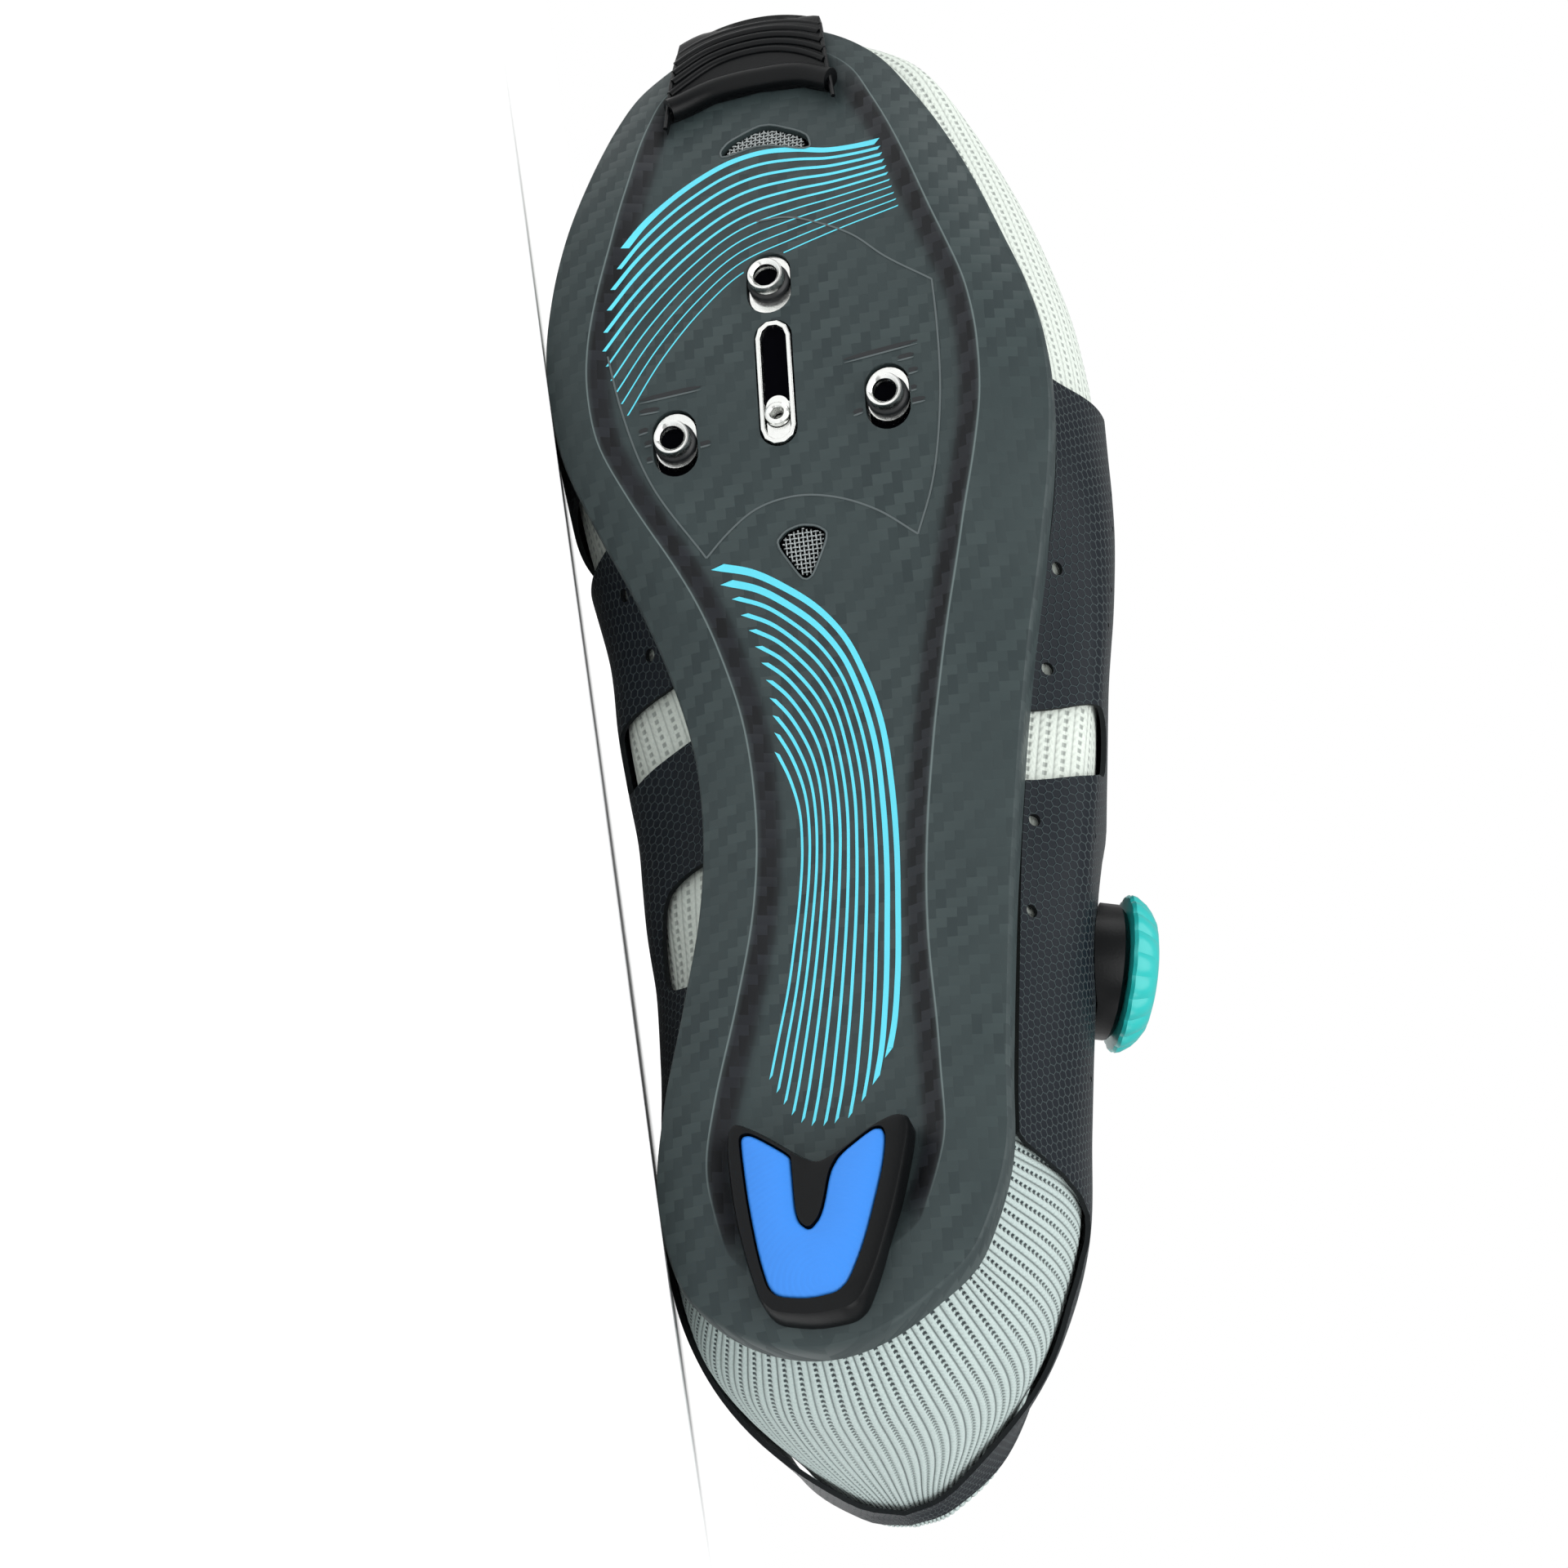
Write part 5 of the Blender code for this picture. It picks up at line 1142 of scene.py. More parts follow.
def sole_rings(turns, grow):
    """Whole rings of the sole from the channel's middle round both sides, with their maps."""
    halves = {side: sole_half(turns, side, grow) for side in (MEDIAL, LATERAL)}
    under = 0.5 * (halves[MEDIAL][:, 0] + halves[LATERAL][:, 0])
    top = 0.5 * (halves[MEDIAL][:, -1] + halves[LATERAL][:, -1])
    shares = np.linspace(0.0, 1.0, CHANNEL_STEPS)[1:-1, None]
    rows = {}
    for side in (MEDIAL, LATERAL):
        floor = under[:, None] + (halves[side][:, :1] - under[:, None]) * shares[None]
        rows[side] = np.concatenate([under[:, None], floor, halves[side]], axis=1)
    rings = np.concatenate([rows[MEDIAL], top[:, None], rows[LATERAL][:, :0:-1]], axis=1)
    places = {}
    for side in (MEDIAL, LATERAL):
        steps = np.linalg.norm(np.diff(rows[side][..., 1:], axis=1), axis=-1)
        run = np.concatenate([np.zeros((len(turns), 1)), np.cumsum(steps, axis=1)], axis=1)
        places[side] = np.stack([rows[side][..., 0], under[:, None, 1] + side * run], axis=-1)
    middle = np.stack([top[:, 0], top[:, 1]], axis=-1)[:, None]
    cloth = np.concatenate([places[MEDIAL], middle, places[LATERAL][:, :0:-1]], axis=1) / MM
    # Masks of painted shade on the facets and painted highlight along the ridges, none on the channel
    half = section_masks(turns, halves[MEDIAL].shape[1])
    masks = np.concatenate([np.zeros((len(turns), CHANNEL_STEPS - 1, 2)), half], axis=1)
    shade = np.concatenate([masks, np.zeros((len(turns), 1, 2)), masks[:, :0:-1]], axis=1)
    return rings, {"cloth": cloth, "shade": shade}


def sole_mesh(name, grow, first_turn=0.0, rungs=SOLE_FINE_RUNGS):
    """Closed form of the sole, grown by a margin all round, from a turn to the toe."""
    rings, maps = sole_rings(np.linspace(first_turn, 1.0, rungs), grow)
    mesh = mesh_of(name, rings, grid_faces(*rings.shape[:2], closed=True), **maps)
    tidied(mesh)
    work = bmesh.new()
    work.from_mesh(mesh)
    bmesh.ops.holes_fill(work, edges=work.edges, sides=0)
    bmesh.ops.recalc_face_normals(work, faces=work.faces)
    work.to_mesh(mesh)
    work.free()
    return mesh


def sole_openings():
    """Outline and placement of every hole through the sole."""
    slot = stadium(SLOT_LENGTH, SLOT_WIDTH)
    found = [(slot, under_frame(*place)) for place in CLEAT_PLACES.values()]
    centre_slot = stadium(CENTRE_SLOT_LENGTH, CENTRE_SLOT_WIDTH)
    found.append((centre_slot, under_frame(CENTRE_SLOT_STATION, CENTRE_SLOT_SIDE)))
    found.append((rounded(TOE_VENT), under_frame(TOE_VENT_STATION, TOE_VENT_SIDE)))
    found.append((rounded(WAIST_VENT), under_frame(WAIST_VENT_STATION, WAIST_VENT_SIDE)))
    return found


def rounded(outline, passes=2, tight=0.18):
    """Outline with its corners cut again and again until they are round."""
    points = [np.array(point, float) for point in outline]
    for _ in range(passes):
        points = [point for a, b in zip(points, points[1:] + points[:1])
                  for point in (a * (1 - tight) + b * tight, a * tight + b * (1 - tight))]
    return [tuple(point) for point in points]


def build_sole(carbon):
    """Carbon sole with its slots and vents; also returns the whole form that prints are laid on."""
    whole = sole_mesh("sole_form", 0.0)
    form = BVHTree.FromPolygons([vertex.co for vertex in whole.vertices],
                                [tuple(face.vertices) for face in whole.polygons])
    openings = [("DIFFERENCE", prism_mesh("opening", outline, -0.015, 0.015, place))
                for outline, place in sole_openings()]
    mesh = smooth(carved(whole, openings), 24.0)
    piece("carbon_sole", mesh, carbon, ("outsole",))
    return form


# What the photograph shows drawn on the sole
class PhotoView:
    """Rays of the photograph's camera in the shoe's frame, and what they meet on the sole."""

    def __init__(self, form):
        """Sets the camera up before the form of the sole that its rays meet."""
        self.form = form
        back = unit(np.array([-math.sin(PHOTO_TILT), math.sin(PHOTO_TURN), -math.cos(PHOTO_TILT)]))
        self.eye = PHOTO_TARGET + PHOTO_DISTANCE * back
        self.ahead = -back
        up = unit(np.array([1.0, 0, 0]) - np.array([1.0, 0, 0]).dot(self.ahead) * self.ahead)
        right = np.cross(self.ahead, up)
        self.up = up * math.cos(PHOTO_ROLL) + right * math.sin(PHOTO_ROLL)
        self.right = right * math.cos(PHOTO_ROLL) - up * math.sin(PHOTO_ROLL)
        self.focal = PHOTO_SCALE * PHOTO_DISTANCE

    def ray(self, pixel):
        across, down = (np.asarray(pixel, float) - PHOTO_TARGET_PIXEL) / self.focal
        return unit(self.ahead + self.right * across - self.up * down)

    def on_sole(self, pixel):
        hit, normal, _, _ = self.form.ray_cast(Vector(self.eye), Vector(self.ray(pixel)))
        return (np.array(hit), np.array(normal)) if hit is not None else None


PRINT_LIFT = 0.00005
OPENING_MARGIN = 1.04


def over_opening(points):
    """Whether points on the sole lie over one of its openings."""
    found = np.zeros(len(points), bool)
    for outline, place in sole_openings():
        turned = np.array(place.inverted())
        local = points @ turned[:3, :3].T + turned[:3, 3]
        grown = np.array(outline) * OPENING_MARGIN
        found |= inside(grown, local[:, 0], local[:, 1])
    return found


def ribbon(view, line, width, lift=PRINT_LIFT, slant=0.0):
    """Flat band laid on the sole along photograph pixels; width in pixels, its far end cut at a slant."""
    spots = [view.on_sole(pixel) for pixel in line]
    spots = [spot for spot in spots if spot is not None]
    points = np.array([spot[0] for spot in spots])
    outs = np.array([spot[1] for spot in spots])
    outs *= np.where(outs[:, 2:] > 0, -1.0, 1.0)
    along = np.gradient(points, axis=0)
    across = unit(np.cross(along, outs))
    widths = np.broadcast_to(np.asarray(width, float), (len(points),)) / PHOTO_SCALE
    rails = []
    for side in (-0.5, 0.5):
        rail = []
        for k, (point, out, aside, wide) in enumerate(zip(points, outs, across, widths)):
            ends = (k == len(points) - 1) * slant * side - (k == 0) * slant * side
            target = point + aside * side * wide + unit(along[k]) * ends / PHOTO_SCALE
            spot, _, _, _ = view.form.find_nearest(Vector(target))
            rail.append(np.array(spot) + out * lift)
        rails.append(rail)
    rails = np.array(rails)
    shown = ~over_opening(points)
    count = len(points)
    quads = [(k, k + 1, count + k + 1, count + k) for k in range(count - 1) if shown[k] and shown[k + 1]]
    return rails.reshape(-1, 3), quads


def band_mesh(name, bands):
    """One mesh of several printed bands, all facing out of the sole."""
    points, faces, first = [], [], 0
    for rail, quads in bands:
        points.append(rail)
        faces += [tuple(index + first for index in quad) for quad in quads]
        first += len(rail)
    mesh = mesh_of(name, np.concatenate(points), faces)
    work = bmesh.new()
    work.from_mesh(mesh)
    bmesh.ops.delete(work, geom=[vertex for vertex in work.verts if not vertex.link_faces], context="VERTS")
    for face in work.faces:
        if face.normal.z > 0:
            face.normal_flip()
    work.to_mesh(mesh)
    work.free()
    return smooth(mesh)


STRIPE_SAMPLES = 120


def stripe_family(first, last, starts, ends, count, samples=STRIPE_SAMPLES):
    """Lines between two drawn ones, each led to its own start and end."""
    first, last = smooth_path(first, samples), smooth_path(last, samples)
    starts = smooth_path(starts, count) if len(starts) != count else np.asarray(starts, float)
    ends = smooth_path(ends, count) if len(ends) != count else np.asarray(ends, float)
    along = np.linspace(0.0, 1.0, samples)[:, None]
    family = []
    for k in range(count):
        share = k / (count - 1)
        line = first * (1 - share) + last * share
        line = line + (starts[k] - line[0]) * (1 - along) ** 2 + (ends[k] - line[-1]) * along ** 2
        family.append(line)
    return family


def build_stripes(view, paint):
    """Two families of printed pinstripes, in front of the cleats and down the waist."""
    bands = []
    ends = (TOE_STRIPES_TOP[-1], TOE_STRIPES_LOW[-1])
    toe = stripe_family(TOE_STRIPES_TOP, TOE_STRIPES_LOW, TOE_STRIPES_LEFT, ends, len(TOE_STRIPE_WIDTHS))
    for line, width in zip(toe, TOE_STRIPE_WIDTHS):
        bands.append(ribbon(view, line, width, slant=-0.8 * width))
    waist = stripe_family(WAIST_STRIPES_OUTER, WAIST_STRIPES_INNER, WAIST_STRIPES_START, WAIST_STRIPES_END,
                          len(WAIST_STRIPE_WIDTHS))
    swell = 1.0 + 0.4 * np.clip(1.0 - np.linspace(0.0, 4.0, STRIPE_SAMPLES), 0.0, 1.0)
    for line, width in zip(waist, WAIST_STRIPE_WIDTHS):
        bands.append(ribbon(view, line, width * swell, slant=2.0 * width))
    piece("printed_stripes", band_mesh("printed_stripes", bands), paint)


def build_platform_lines(view, bright, dark):
    """Fine step round the cleat platform as bands of painted highlight, and the short adjustment marks
    beside the nuts as bands of painted shade, each with a painted highlight beside it.
    """
    # The step is drawn as flat light bands: painted highlight along its edge
    steps = [ribbon(view, smooth_path(line, 40), 2.4, 0.00012) for line in PLATFORM_STEPS]
    groove_shades, rims = [], []
    for start, end in ADJUSTMENT_MARKS:
        line = np.linspace(np.array(start, float), np.array(end, float), 8)
        taper = np.array([0.3, 0.8, 1.0, 1.0, 1.0, 1.0, 0.8, 0.3])
        # Each mark: a dark band of painted shade for its groove, and a light band of painted highlight just
        # below it
        groove_shades.append(ribbon(view, line, 6.0 * taper, 0.00008))
        rims.append(ribbon(view, line + np.array([0.0, 4.2]), 2.4 * taper, 0.00014))
    # The lighter finish paints the highlights, the dark finish paints the grooves' shade
    piece("platform_step_highlight", band_mesh("platform_step_highlight", steps + rims), bright)
    piece("adjustment_mark_shades", band_mesh("adjustment_mark_shades", groove_shades), dark)


# Strands made by Geometry Nodes
def strand_tree():
    """Round strand along every edge path of a mesh."""
    tree = bpy.data.node_groups.new("round strand", "GeometryNodeTree")
    for label, kind, value in (("Path", "NodeSocketGeometry", None), ("Radius", "NodeSocketFloat", 0.001),
                               ("Sides", "NodeSocketInt", 8), ("Finish", "NodeSocketMaterial", None)):
        socket = tree.interface.new_socket(label, in_out="INPUT", socket_type=kind)
        if value is not None:
            socket.default_value = value
    tree.interface.new_socket("Strand", in_out="OUTPUT", socket_type="NodeSocketGeometry")
    given, result = tree.nodes.new("NodeGroupInput"), tree.nodes.new("NodeGroupOutput")
    curve = node(tree, "GeometryNodeMeshToCurve", {"Mesh": given.outputs["Path"]}).outputs[0]
    circle = node(tree, "GeometryNodeCurvePrimitiveCircle", {"Resolution": given.outputs["Sides"],
                                                              "Radius": given.outputs["Radius"]}).outputs[0]
    tube = node(tree, "GeometryNodeCurveToMesh", {"Curve": curve, "Profile Curve": circle,
                                                  "Fill Caps": True}).outputs[0]
    soft = node(tree, "GeometryNodeSetShadeSmooth", {"Geometry": tube}).outputs[0]
    real = node(tree, "GeometryNodeRealizeInstances", {"Geometry": soft}).outputs[0]
    coated = node(tree, "GeometryNodeSetMaterial", {"Geometry": real,
                                                    "Material": given.outputs["Finish"]}).outputs[0]
    tree.links.new(coated, result.inputs["Strand"])
    return tree


STRAND = strand_tree()


def strands(name, paths, radius, sides, material):
    """Plain mesh of round strands along several paths."""
    points, edges, first = [], [], 0
    for path in paths:
        points += [tuple(point) for point in path]
        edges += [(first + k, first + k + 1) for k in range(len(path) - 1)]
        first += len(path)
    mesh = bpy.data.meshes.new(name)
    mesh.from_pydata(points, edges, [])
    source = loose(name + "_paths", mesh)
    step = source.modifiers.new("strand", "NODES")
    step.node_group = STRAND
    for label, value in (("Radius", radius), ("Sides", sides), ("Finish", material)):
        step[STRAND.interface.items_tree[label].identifier] = value
    bpy.context.view_layer.update()
    result = evaluated(source)
    discard(source)
    return tidied(result, 0.0000005)


# Vents, nuts and pads
WIRE_PITCH = 0.00085
WIRE_RADIUS = 0.00017
VENT_RIM_RADIUS = 0.00022
SHADE_GAP = 0.0005


def inside(outline, x, y):
    """Whether points lie in a closed outline."""
    outline = np.asarray(outline, float)
    result = np.zeros(np.shape(x), bool)
    for (ax, ay), (bx, by) in zip(outline, np.roll(outline, -1, axis=0)):
        crosses = (ay > y) != (by > y)
        rise = np.where(by == ay, 1e-12, by - ay)
        result ^= crosses & (x < (bx - ax) * (y - ay) / rise + ax)
    return result


def woven_wires(outline, level):
    """Paths of over-and-under wires that fill an outline in both directions."""
    outline = np.asarray(outline, float)
    low, high = outline.min(axis=0), outline.max(axis=0)
    samples = int(max(high - low) / (WIRE_PITCH / 4)) + 1
    paths = []
    for axis in (0, 1):
        lines = np.arange(low[axis], high[axis], WIRE_PITCH)
        run = np.linspace(low[1 - axis], high[1 - axis], samples)
        for number, at in enumerate(lines):
            x, y = (np.full(samples, at), run) if axis == 0 else (run, np.full(samples, at))
            wave = np.cos(math.pi * (run - low[1 - axis]) / WIRE_PITCH + math.pi * (number + axis))
            kept = inside(outline, x, y)
            points = np.stack([x, y, level + WIRE_RADIUS * wave], axis=-1)
            starts = np.flatnonzero(kept & ~np.concatenate([[False], kept[:-1]]))
            ends = np.flatnonzero(kept & ~np.concatenate([kept[1:], [False]]))
            paths += [points[start:end + 1] for start, end in zip(starts, ends) if end - start > 1]
    return paths


def build_vents(wire, dark, bright):
    """Woven wires of both vents, with a dark sheet of painted shade behind them, and the fine rim round
    them, whose lighter colour is a painted highlight.
    """
    vents = (("toe_vent", TOE_VENT, TOE_VENT_STATION, TOE_VENT_SIDE),
             ("waist_vent", WAIST_VENT, WAIST_VENT_STATION, WAIST_VENT_SIDE))
    for name, outline, station, side in vents:
        place = under_frame(station, side)
        outline = np.array(rounded(outline))
        centre = outline.mean(axis=0)
        clear, rim = ((outline - centre) * share + centre for share in (0.90, 1.02))
        mesh = strands(name, woven_wires(clear, -MESH_RECESS), WIRE_RADIUS, 6, wire)
        mesh.transform(place)
        piece(name + "_weave", mesh, wire, (name + "_mesh",))
        # Painted shade: a near-black sheet in the recess behind the wires
        inner = (outline - centre) * 0.98 + centre
        back = prism_mesh(name + "_shade", inner, -MESH_RECESS - MESH_THICKNESS,
                          -MESH_RECESS - SHADE_GAP, place)
        piece(name + "_shade", back, dark)
        # The rim is a real rounded strand; its lighter finish is a painted highlight
        loop = np.concatenate([rim, rim[:1]])
        edge = strands(name + "_rim", [stacked(loop[:, 0], loop[:, 1], 0.0)], VENT_RIM_RADIUS, 8, bright)
        edge.transform(place)
        piece(name + "_rim", edge, bright)


NUT_SEAT_SHIFT = 0.0008
NUT_BORE_DEPTH = 0.0026
THREAD_PITCH = 0.0008
THREAD_DEPTH = 0.0002


def thread_profile(radius, low, high):
    """Zigzag of a threaded bore from bottom to top, as (radius, height)."""
    turns = int((high - low) / THREAD_PITCH)
    profile = []
    for k in range(turns):
        base = low + k * THREAD_PITCH
        profile += [(radius, base), (radius + THREAD_DEPTH, base + 0.5 * THREAD_PITCH)]
    return profile


def build_nuts(nickel, dark, shade):
    """Threaded cleat nuts on their bright steps, each with a gasket, and thin dark sheets of painted shade
    on the slot floor and at the bottom of the bore.
    """
    seat = -PLATE_THICKNESS - NUT_SEAT_GAP
    for name, spot in CLEAT_PLACES.items():
        place = under_frame(*spot)
        profile = thread_profile(NUT_BORE_RADIUS, seat - NUT_BASE_THICKNESS, NUT_PROUD - 0.0008)
        profile += [(NUT_BORE_RADIUS, NUT_PROUD - 0.0006), (NUT_BORE_RADIUS + 0.00045, NUT_PROUD - 0.0001),
                    (NUT_BORE_RADIUS + 0.0006, NUT_PROUD), (NUT_RADIUS - 0.00035, NUT_PROUD),
                    (NUT_RADIUS - 0.0001, NUT_PROUD - 0.0001), (NUT_RADIUS, NUT_PROUD - 0.0004),
                    (NUT_RADIUS, NUT_COLLAR_PROUD + 0.0002), (NUT_RADIUS, seat),
                    (0.5 * NUT_BASE_SIZE - 0.0002, seat), (0.5 * NUT_BASE_SIZE, seat - 0.0002),
                    (0.5 * NUT_BASE_SIZE, seat - NUT_BASE_THICKNESS)]
        nut = turned_mesh("nut_" + name, profile + profile[:1], place)
        short, ahead = (0.0006, 0.0) if name == "front" else (0.0026, NUT_SEAT_SHIFT)
        step_outline = stadium(SLOT_LENGTH - short, SLOT_WIDTH - 0.0007)
        step = prism_mesh("nut_step", step_outline, seat + 0.0001, -0.0011,
                          place @ Matrix.Translation((ahead, 0.0, 0.0)))
        bore = prism_mesh("step_bore", stadium(0.0083, 0.0082), seat - 0.001, 0.001, place)
        # Painted shade: a thin near-black sheet on the slot floor round the step
        well_shade = prism_mesh("nut_well", stadium(SLOT_LENGTH - 0.0003, SLOT_WIDTH - 0.0003), seat + 0.00002,
                          seat + 0.00012, place)
        well_shade = carved(well_shade, [("DIFFERENCE", bore.copy())])
        step = carved(step, [("DIFFERENCE", bore)])
        for mesh in (nut, step):
            mesh.materials.clear()
            mesh.materials.append(nickel)
        mesh = smooth(joined("cleat_nut_" + name, [nut, step]), 30.0)
        piece("threaded_nut_" + name, mesh, nickel, ("cleat_nut_" + name,))
        snug = NUT_RADIUS + 0.00003
        ring = ((snug, NUT_COLLAR_PROUD + 0.0004), (NUT_COLLAR_RADIUS - 0.0002, NUT_COLLAR_PROUD),
                (NUT_COLLAR_RADIUS, NUT_COLLAR_PROUD - 0.0003), (NUT_COLLAR_RADIUS, seat + 0.0002),
                (snug, seat + 0.0002))
        gasket = turned_mesh("gasket_" + name, ring + ring[:1], place)
        # Painted shade: a near-black disc at the bottom of the bore
        deep = NUT_PROUD - NUT_BORE_DEPTH
        disc = ((0.0, deep), (NUT_BORE_RADIUS, deep), (NUT_BORE_RADIUS, deep - 0.0002), (0.0, deep - 0.0002))
        bore_shade = turned_mesh("seal_" + name, disc, place)
        piece("nut_gasket_" + name, smooth(gasket), dark)
        piece("nut_shade_" + name, joined("shade_" + name, [bore_shade, well_shade]), shade)


def build_centre_slot(nickel, dark):
    """Small nut at the back of the centre slot, its bright plate, and a thin dark sheet of painted shade on
    the slot floor in front of it.
    """
    place = under_frame(CENTRE_SLOT_STATION, CENTRE_SLOT_SIDE)
    floor = -PLATE_THICKNESS + LINER_FLOOR
    foot = floor + FIT_GAP
    profile = thread_profile(SMALL_NUT_BORE, foot, SMALL_NUT_PROUD - 0.0004)
    profile += [(SMALL_NUT_BORE, SMALL_NUT_PROUD - 0.0004), (SMALL_NUT_BORE + 0.0003, SMALL_NUT_PROUD),
                (SMALL_NUT_RADIUS - 0.0004, SMALL_NUT_PROUD),
                (SMALL_NUT_RADIUS - 0.0001, SMALL_NUT_PROUD - 0.0002),
                (SMALL_NUT_RADIUS, SMALL_NUT_PROUD - 0.0005), (SMALL_NUT_RADIUS, foot)]
    nut_place = place @ Matrix.Translation((SMALL_NUT_X, 0.0, 0.0))
    nut = smooth(turned_mesh("small_nut", profile + profile[:1], nut_place), 30.0)
    piece("small_nut", nut, nickel, ("centre_slot_nut",))
    room = CENTRE_SLOT_WIDTH - 2 * LINER_WALL - 4 * FIT_GAP
    plate_place = place @ Matrix.Translation((SMALL_NUT_X - 0.0008, 0.0, 0.0))
    plate = prism_mesh("slot_plate", stadium(0.0102, room), floor + 0.0001, -0.0006, plate_place)
    bore = prism_mesh("plate_bore", stadium(0.0052, 0.0050), floor - 0.001, 0.001, nut_place)
    plate = smooth(carved(plate, [("DIFFERENCE", bore)]))
    piece("slot_plate", plate, nickel)
    # Painted shade: a thin near-black sheet on the slot floor, cut round the plate
    well_shade = prism_mesh("slot_well", stadium(CENTRE_SLOT_LENGTH - 2.6 * LINER_WALL, room + 0.0004),
                      floor + 0.00005, floor + 0.0006, place)
    hole = prism_mesh("well_bore", stadium(0.0107, room + 0.0010), floor - 0.001, 0.002, plate_place)
    piece("slot_well", carved(well_shade, [("DIFFERENCE", hole)]), dark)


def cad_copy(node_name):
    """Merged copy of a CAD solid's mesh, in the row frame."""
    mesh = frame["nodes"][node_name].data.copy()
    mesh.materials.clear()
    work = bmesh.new()
    work.from_mesh(mesh)
    bmesh.ops.remove_doubles(work, verts=work.verts, dist=0.000002)
    bmesh.ops.dissolve_limit(work, angle_limit=math.radians(1.0), verts=work.verts, edges=work.edges)
    bmesh.ops.recalc_face_normals(work, faces=work.faces)
    work.to_mesh(mesh)
    work.free()
    return mesh


def softened(name, node_name, material, width, segments=3):
    """Piece from a CAD solid with rounded edges in place of its sharp ones."""
    mesh = cad_copy(node_name)
    source = loose(name + "_source", mesh)
    bevel = source.modifiers.new("soft_edges", "BEVEL")
    bevel.width = width
    bevel.segments = segments
    bevel.limit_method = "ANGLE"
    bevel.angle_limit = math.radians(28)
    bpy.context.view_layer.update()
    result = smooth(evaluated(source), 40.0)
    result.materials.clear()
    discard(source)
    return piece(name, result, material, (node_name,), place=False)


# Toe bumper and heel pad
RIB_INSETS = (0.0008, 0.0028, 0.0048, 0.0068, 0.0088)
RIB_RADIUS = 0.00080
LIP_ROLL_RADIUS = 0.0024
LIP_ROLL_INSET = 0.0027
SIDE_BEAD_RADIUS = 0.00045


def bumper_level():
    """Start, height and lean of the plane that the bumper's top follows."""
    start, end = BUMPER_PLAN[0][0], 1.0
    turn_start, turn_end = turn_of(start), turn_of(end)
    low = 0.5 * (ridge_height(turn_start) + lip_height(turn_start)) - BUMPER_DROP
    high = 0.5 * (edge_height(turn_end) + lip_height(turn_end)) - BUMPER_DROP
    return start, float(low), math.atan2(float(high - low), (end - start) * LENGTH)


def build_bumper(view, clearance, rubber):
    """Ribbed rubber bumper round the toe, with its rolled lower lip."""
    grown = sole_mesh("bumper", FIT_GAP + BUMPER_WALL, BUMPER_START_TURN, 90)
    start, low, lean = bumper_level()
    outline = [((station - start) * LENGTH / math.cos(lean), side * BALL_WIDTH)
               for station, side in BUMPER_PLAN]
    place = Matrix.Translation((start * LENGTH, 0.0, low)) @ Matrix.Rotation(-lean, 4, "Y")
    region = prism_mesh("bumper_region", outline, -BUMPER_DEPTH, 0.0, place)
    body = carved(grown, [("DIFFERENCE", clearance.copy()), ("INTERSECT", region)])
    body.materials.clear()
    body.materials.append(rubber)
    plan = np.array([(station * LENGTH, side * BALL_WIDTH) for station, side in BUMPER_PLAN])

    def under(x, y, sink):
        """Point under the bumper's outer face, where the sole lies above it."""
        hit, _, _, _ = view.form.ray_cast(Vector((x, y, -0.05)), Vector((0.0, 0.0, 1.0)))
        return None if hit is None else (x, y, hit.z - FIT_GAP - BUMPER_WALL + sink)

    ribs = []
    for inset in RIB_INSETS:
        turns = np.linspace(0.80, 1.0, 70)
        line = np.concatenate([inset_point(turns, MEDIAL, np.full(70, inset)),
                               inset_point(turns[::-1], LATERAL, np.full(70, inset))[1:]])
        line = line[inside(plan, line[:, 0], line[:, 1])]
        spots = [under(x, y, 0.1 * RIB_RADIUS) for x, y in line]
        ribs.append([spot for spot in spots if spot is not None])
    rolls = strands("bumper_ribs", ribs, RIB_RADIUS, 10, rubber)
    lip_line = smooth_path(plan[1:6] + np.array([LIP_ROLL_INSET, 0.0]), 60)
    lip = [under(x, y, 0.25 * LIP_ROLL_RADIUS) for x, y in lip_line]
    lip = strands("bumper_lip", [[spot for spot in lip if spot is not None]], LIP_ROLL_RADIUS, 16, rubber)
    beads = []
    for near, far in ((plan[0], plan[-1]), (plan[6], plan[7])):
        line = [near + (far - near) * share for share in np.linspace(0.02, 0.95, 40)]
        spots = [under(x, y, 0.0) for x, y in line]
        beads.append([spot for spot in spots if spot is not None])
    beads = strands("bumper_beads", beads, SIDE_BEAD_RADIUS, 8, rubber)
    mesh = joined("toe_bumper_ribbed", [body, rolls, lip, beads])
    piece("toe_bumper_ribbed", smooth(mesh, 40.0), rubber, ("toe_bumper",))


def shrunk(outline, gap):
    """Outline moved inwards by a gap."""
    points = np.array(outline, float)
    ahead = unit(np.roll(points, -1, axis=0) - points)
    behind = np.roll(ahead, 1, axis=0)
    area = np.sum(points[:, 0] * np.roll(points[:, 1], -1) - np.roll(points[:, 0], -1) * points[:, 1])
    inwards = 1.0 if area > 0 else -1.0
    left = np.stack([-ahead[:, 1], ahead[:, 0]], axis=-1) * inwards
    left_behind = np.stack([-behind[:, 1], behind[:, 0]], axis=-1) * inwards
    middle = unit(left + left_behind)
    reach = np.maximum(np.sum(middle * left, axis=1), 0.5)[:, None]
    return points + middle * gap / reach


def pad_outline(outline, gap=0.0):
    """Outline of the pad drawn in by a gap, its corners rounded."""
    return np.array(rounded(shrunk(outline, gap), 3, PAD_ROUNDING))


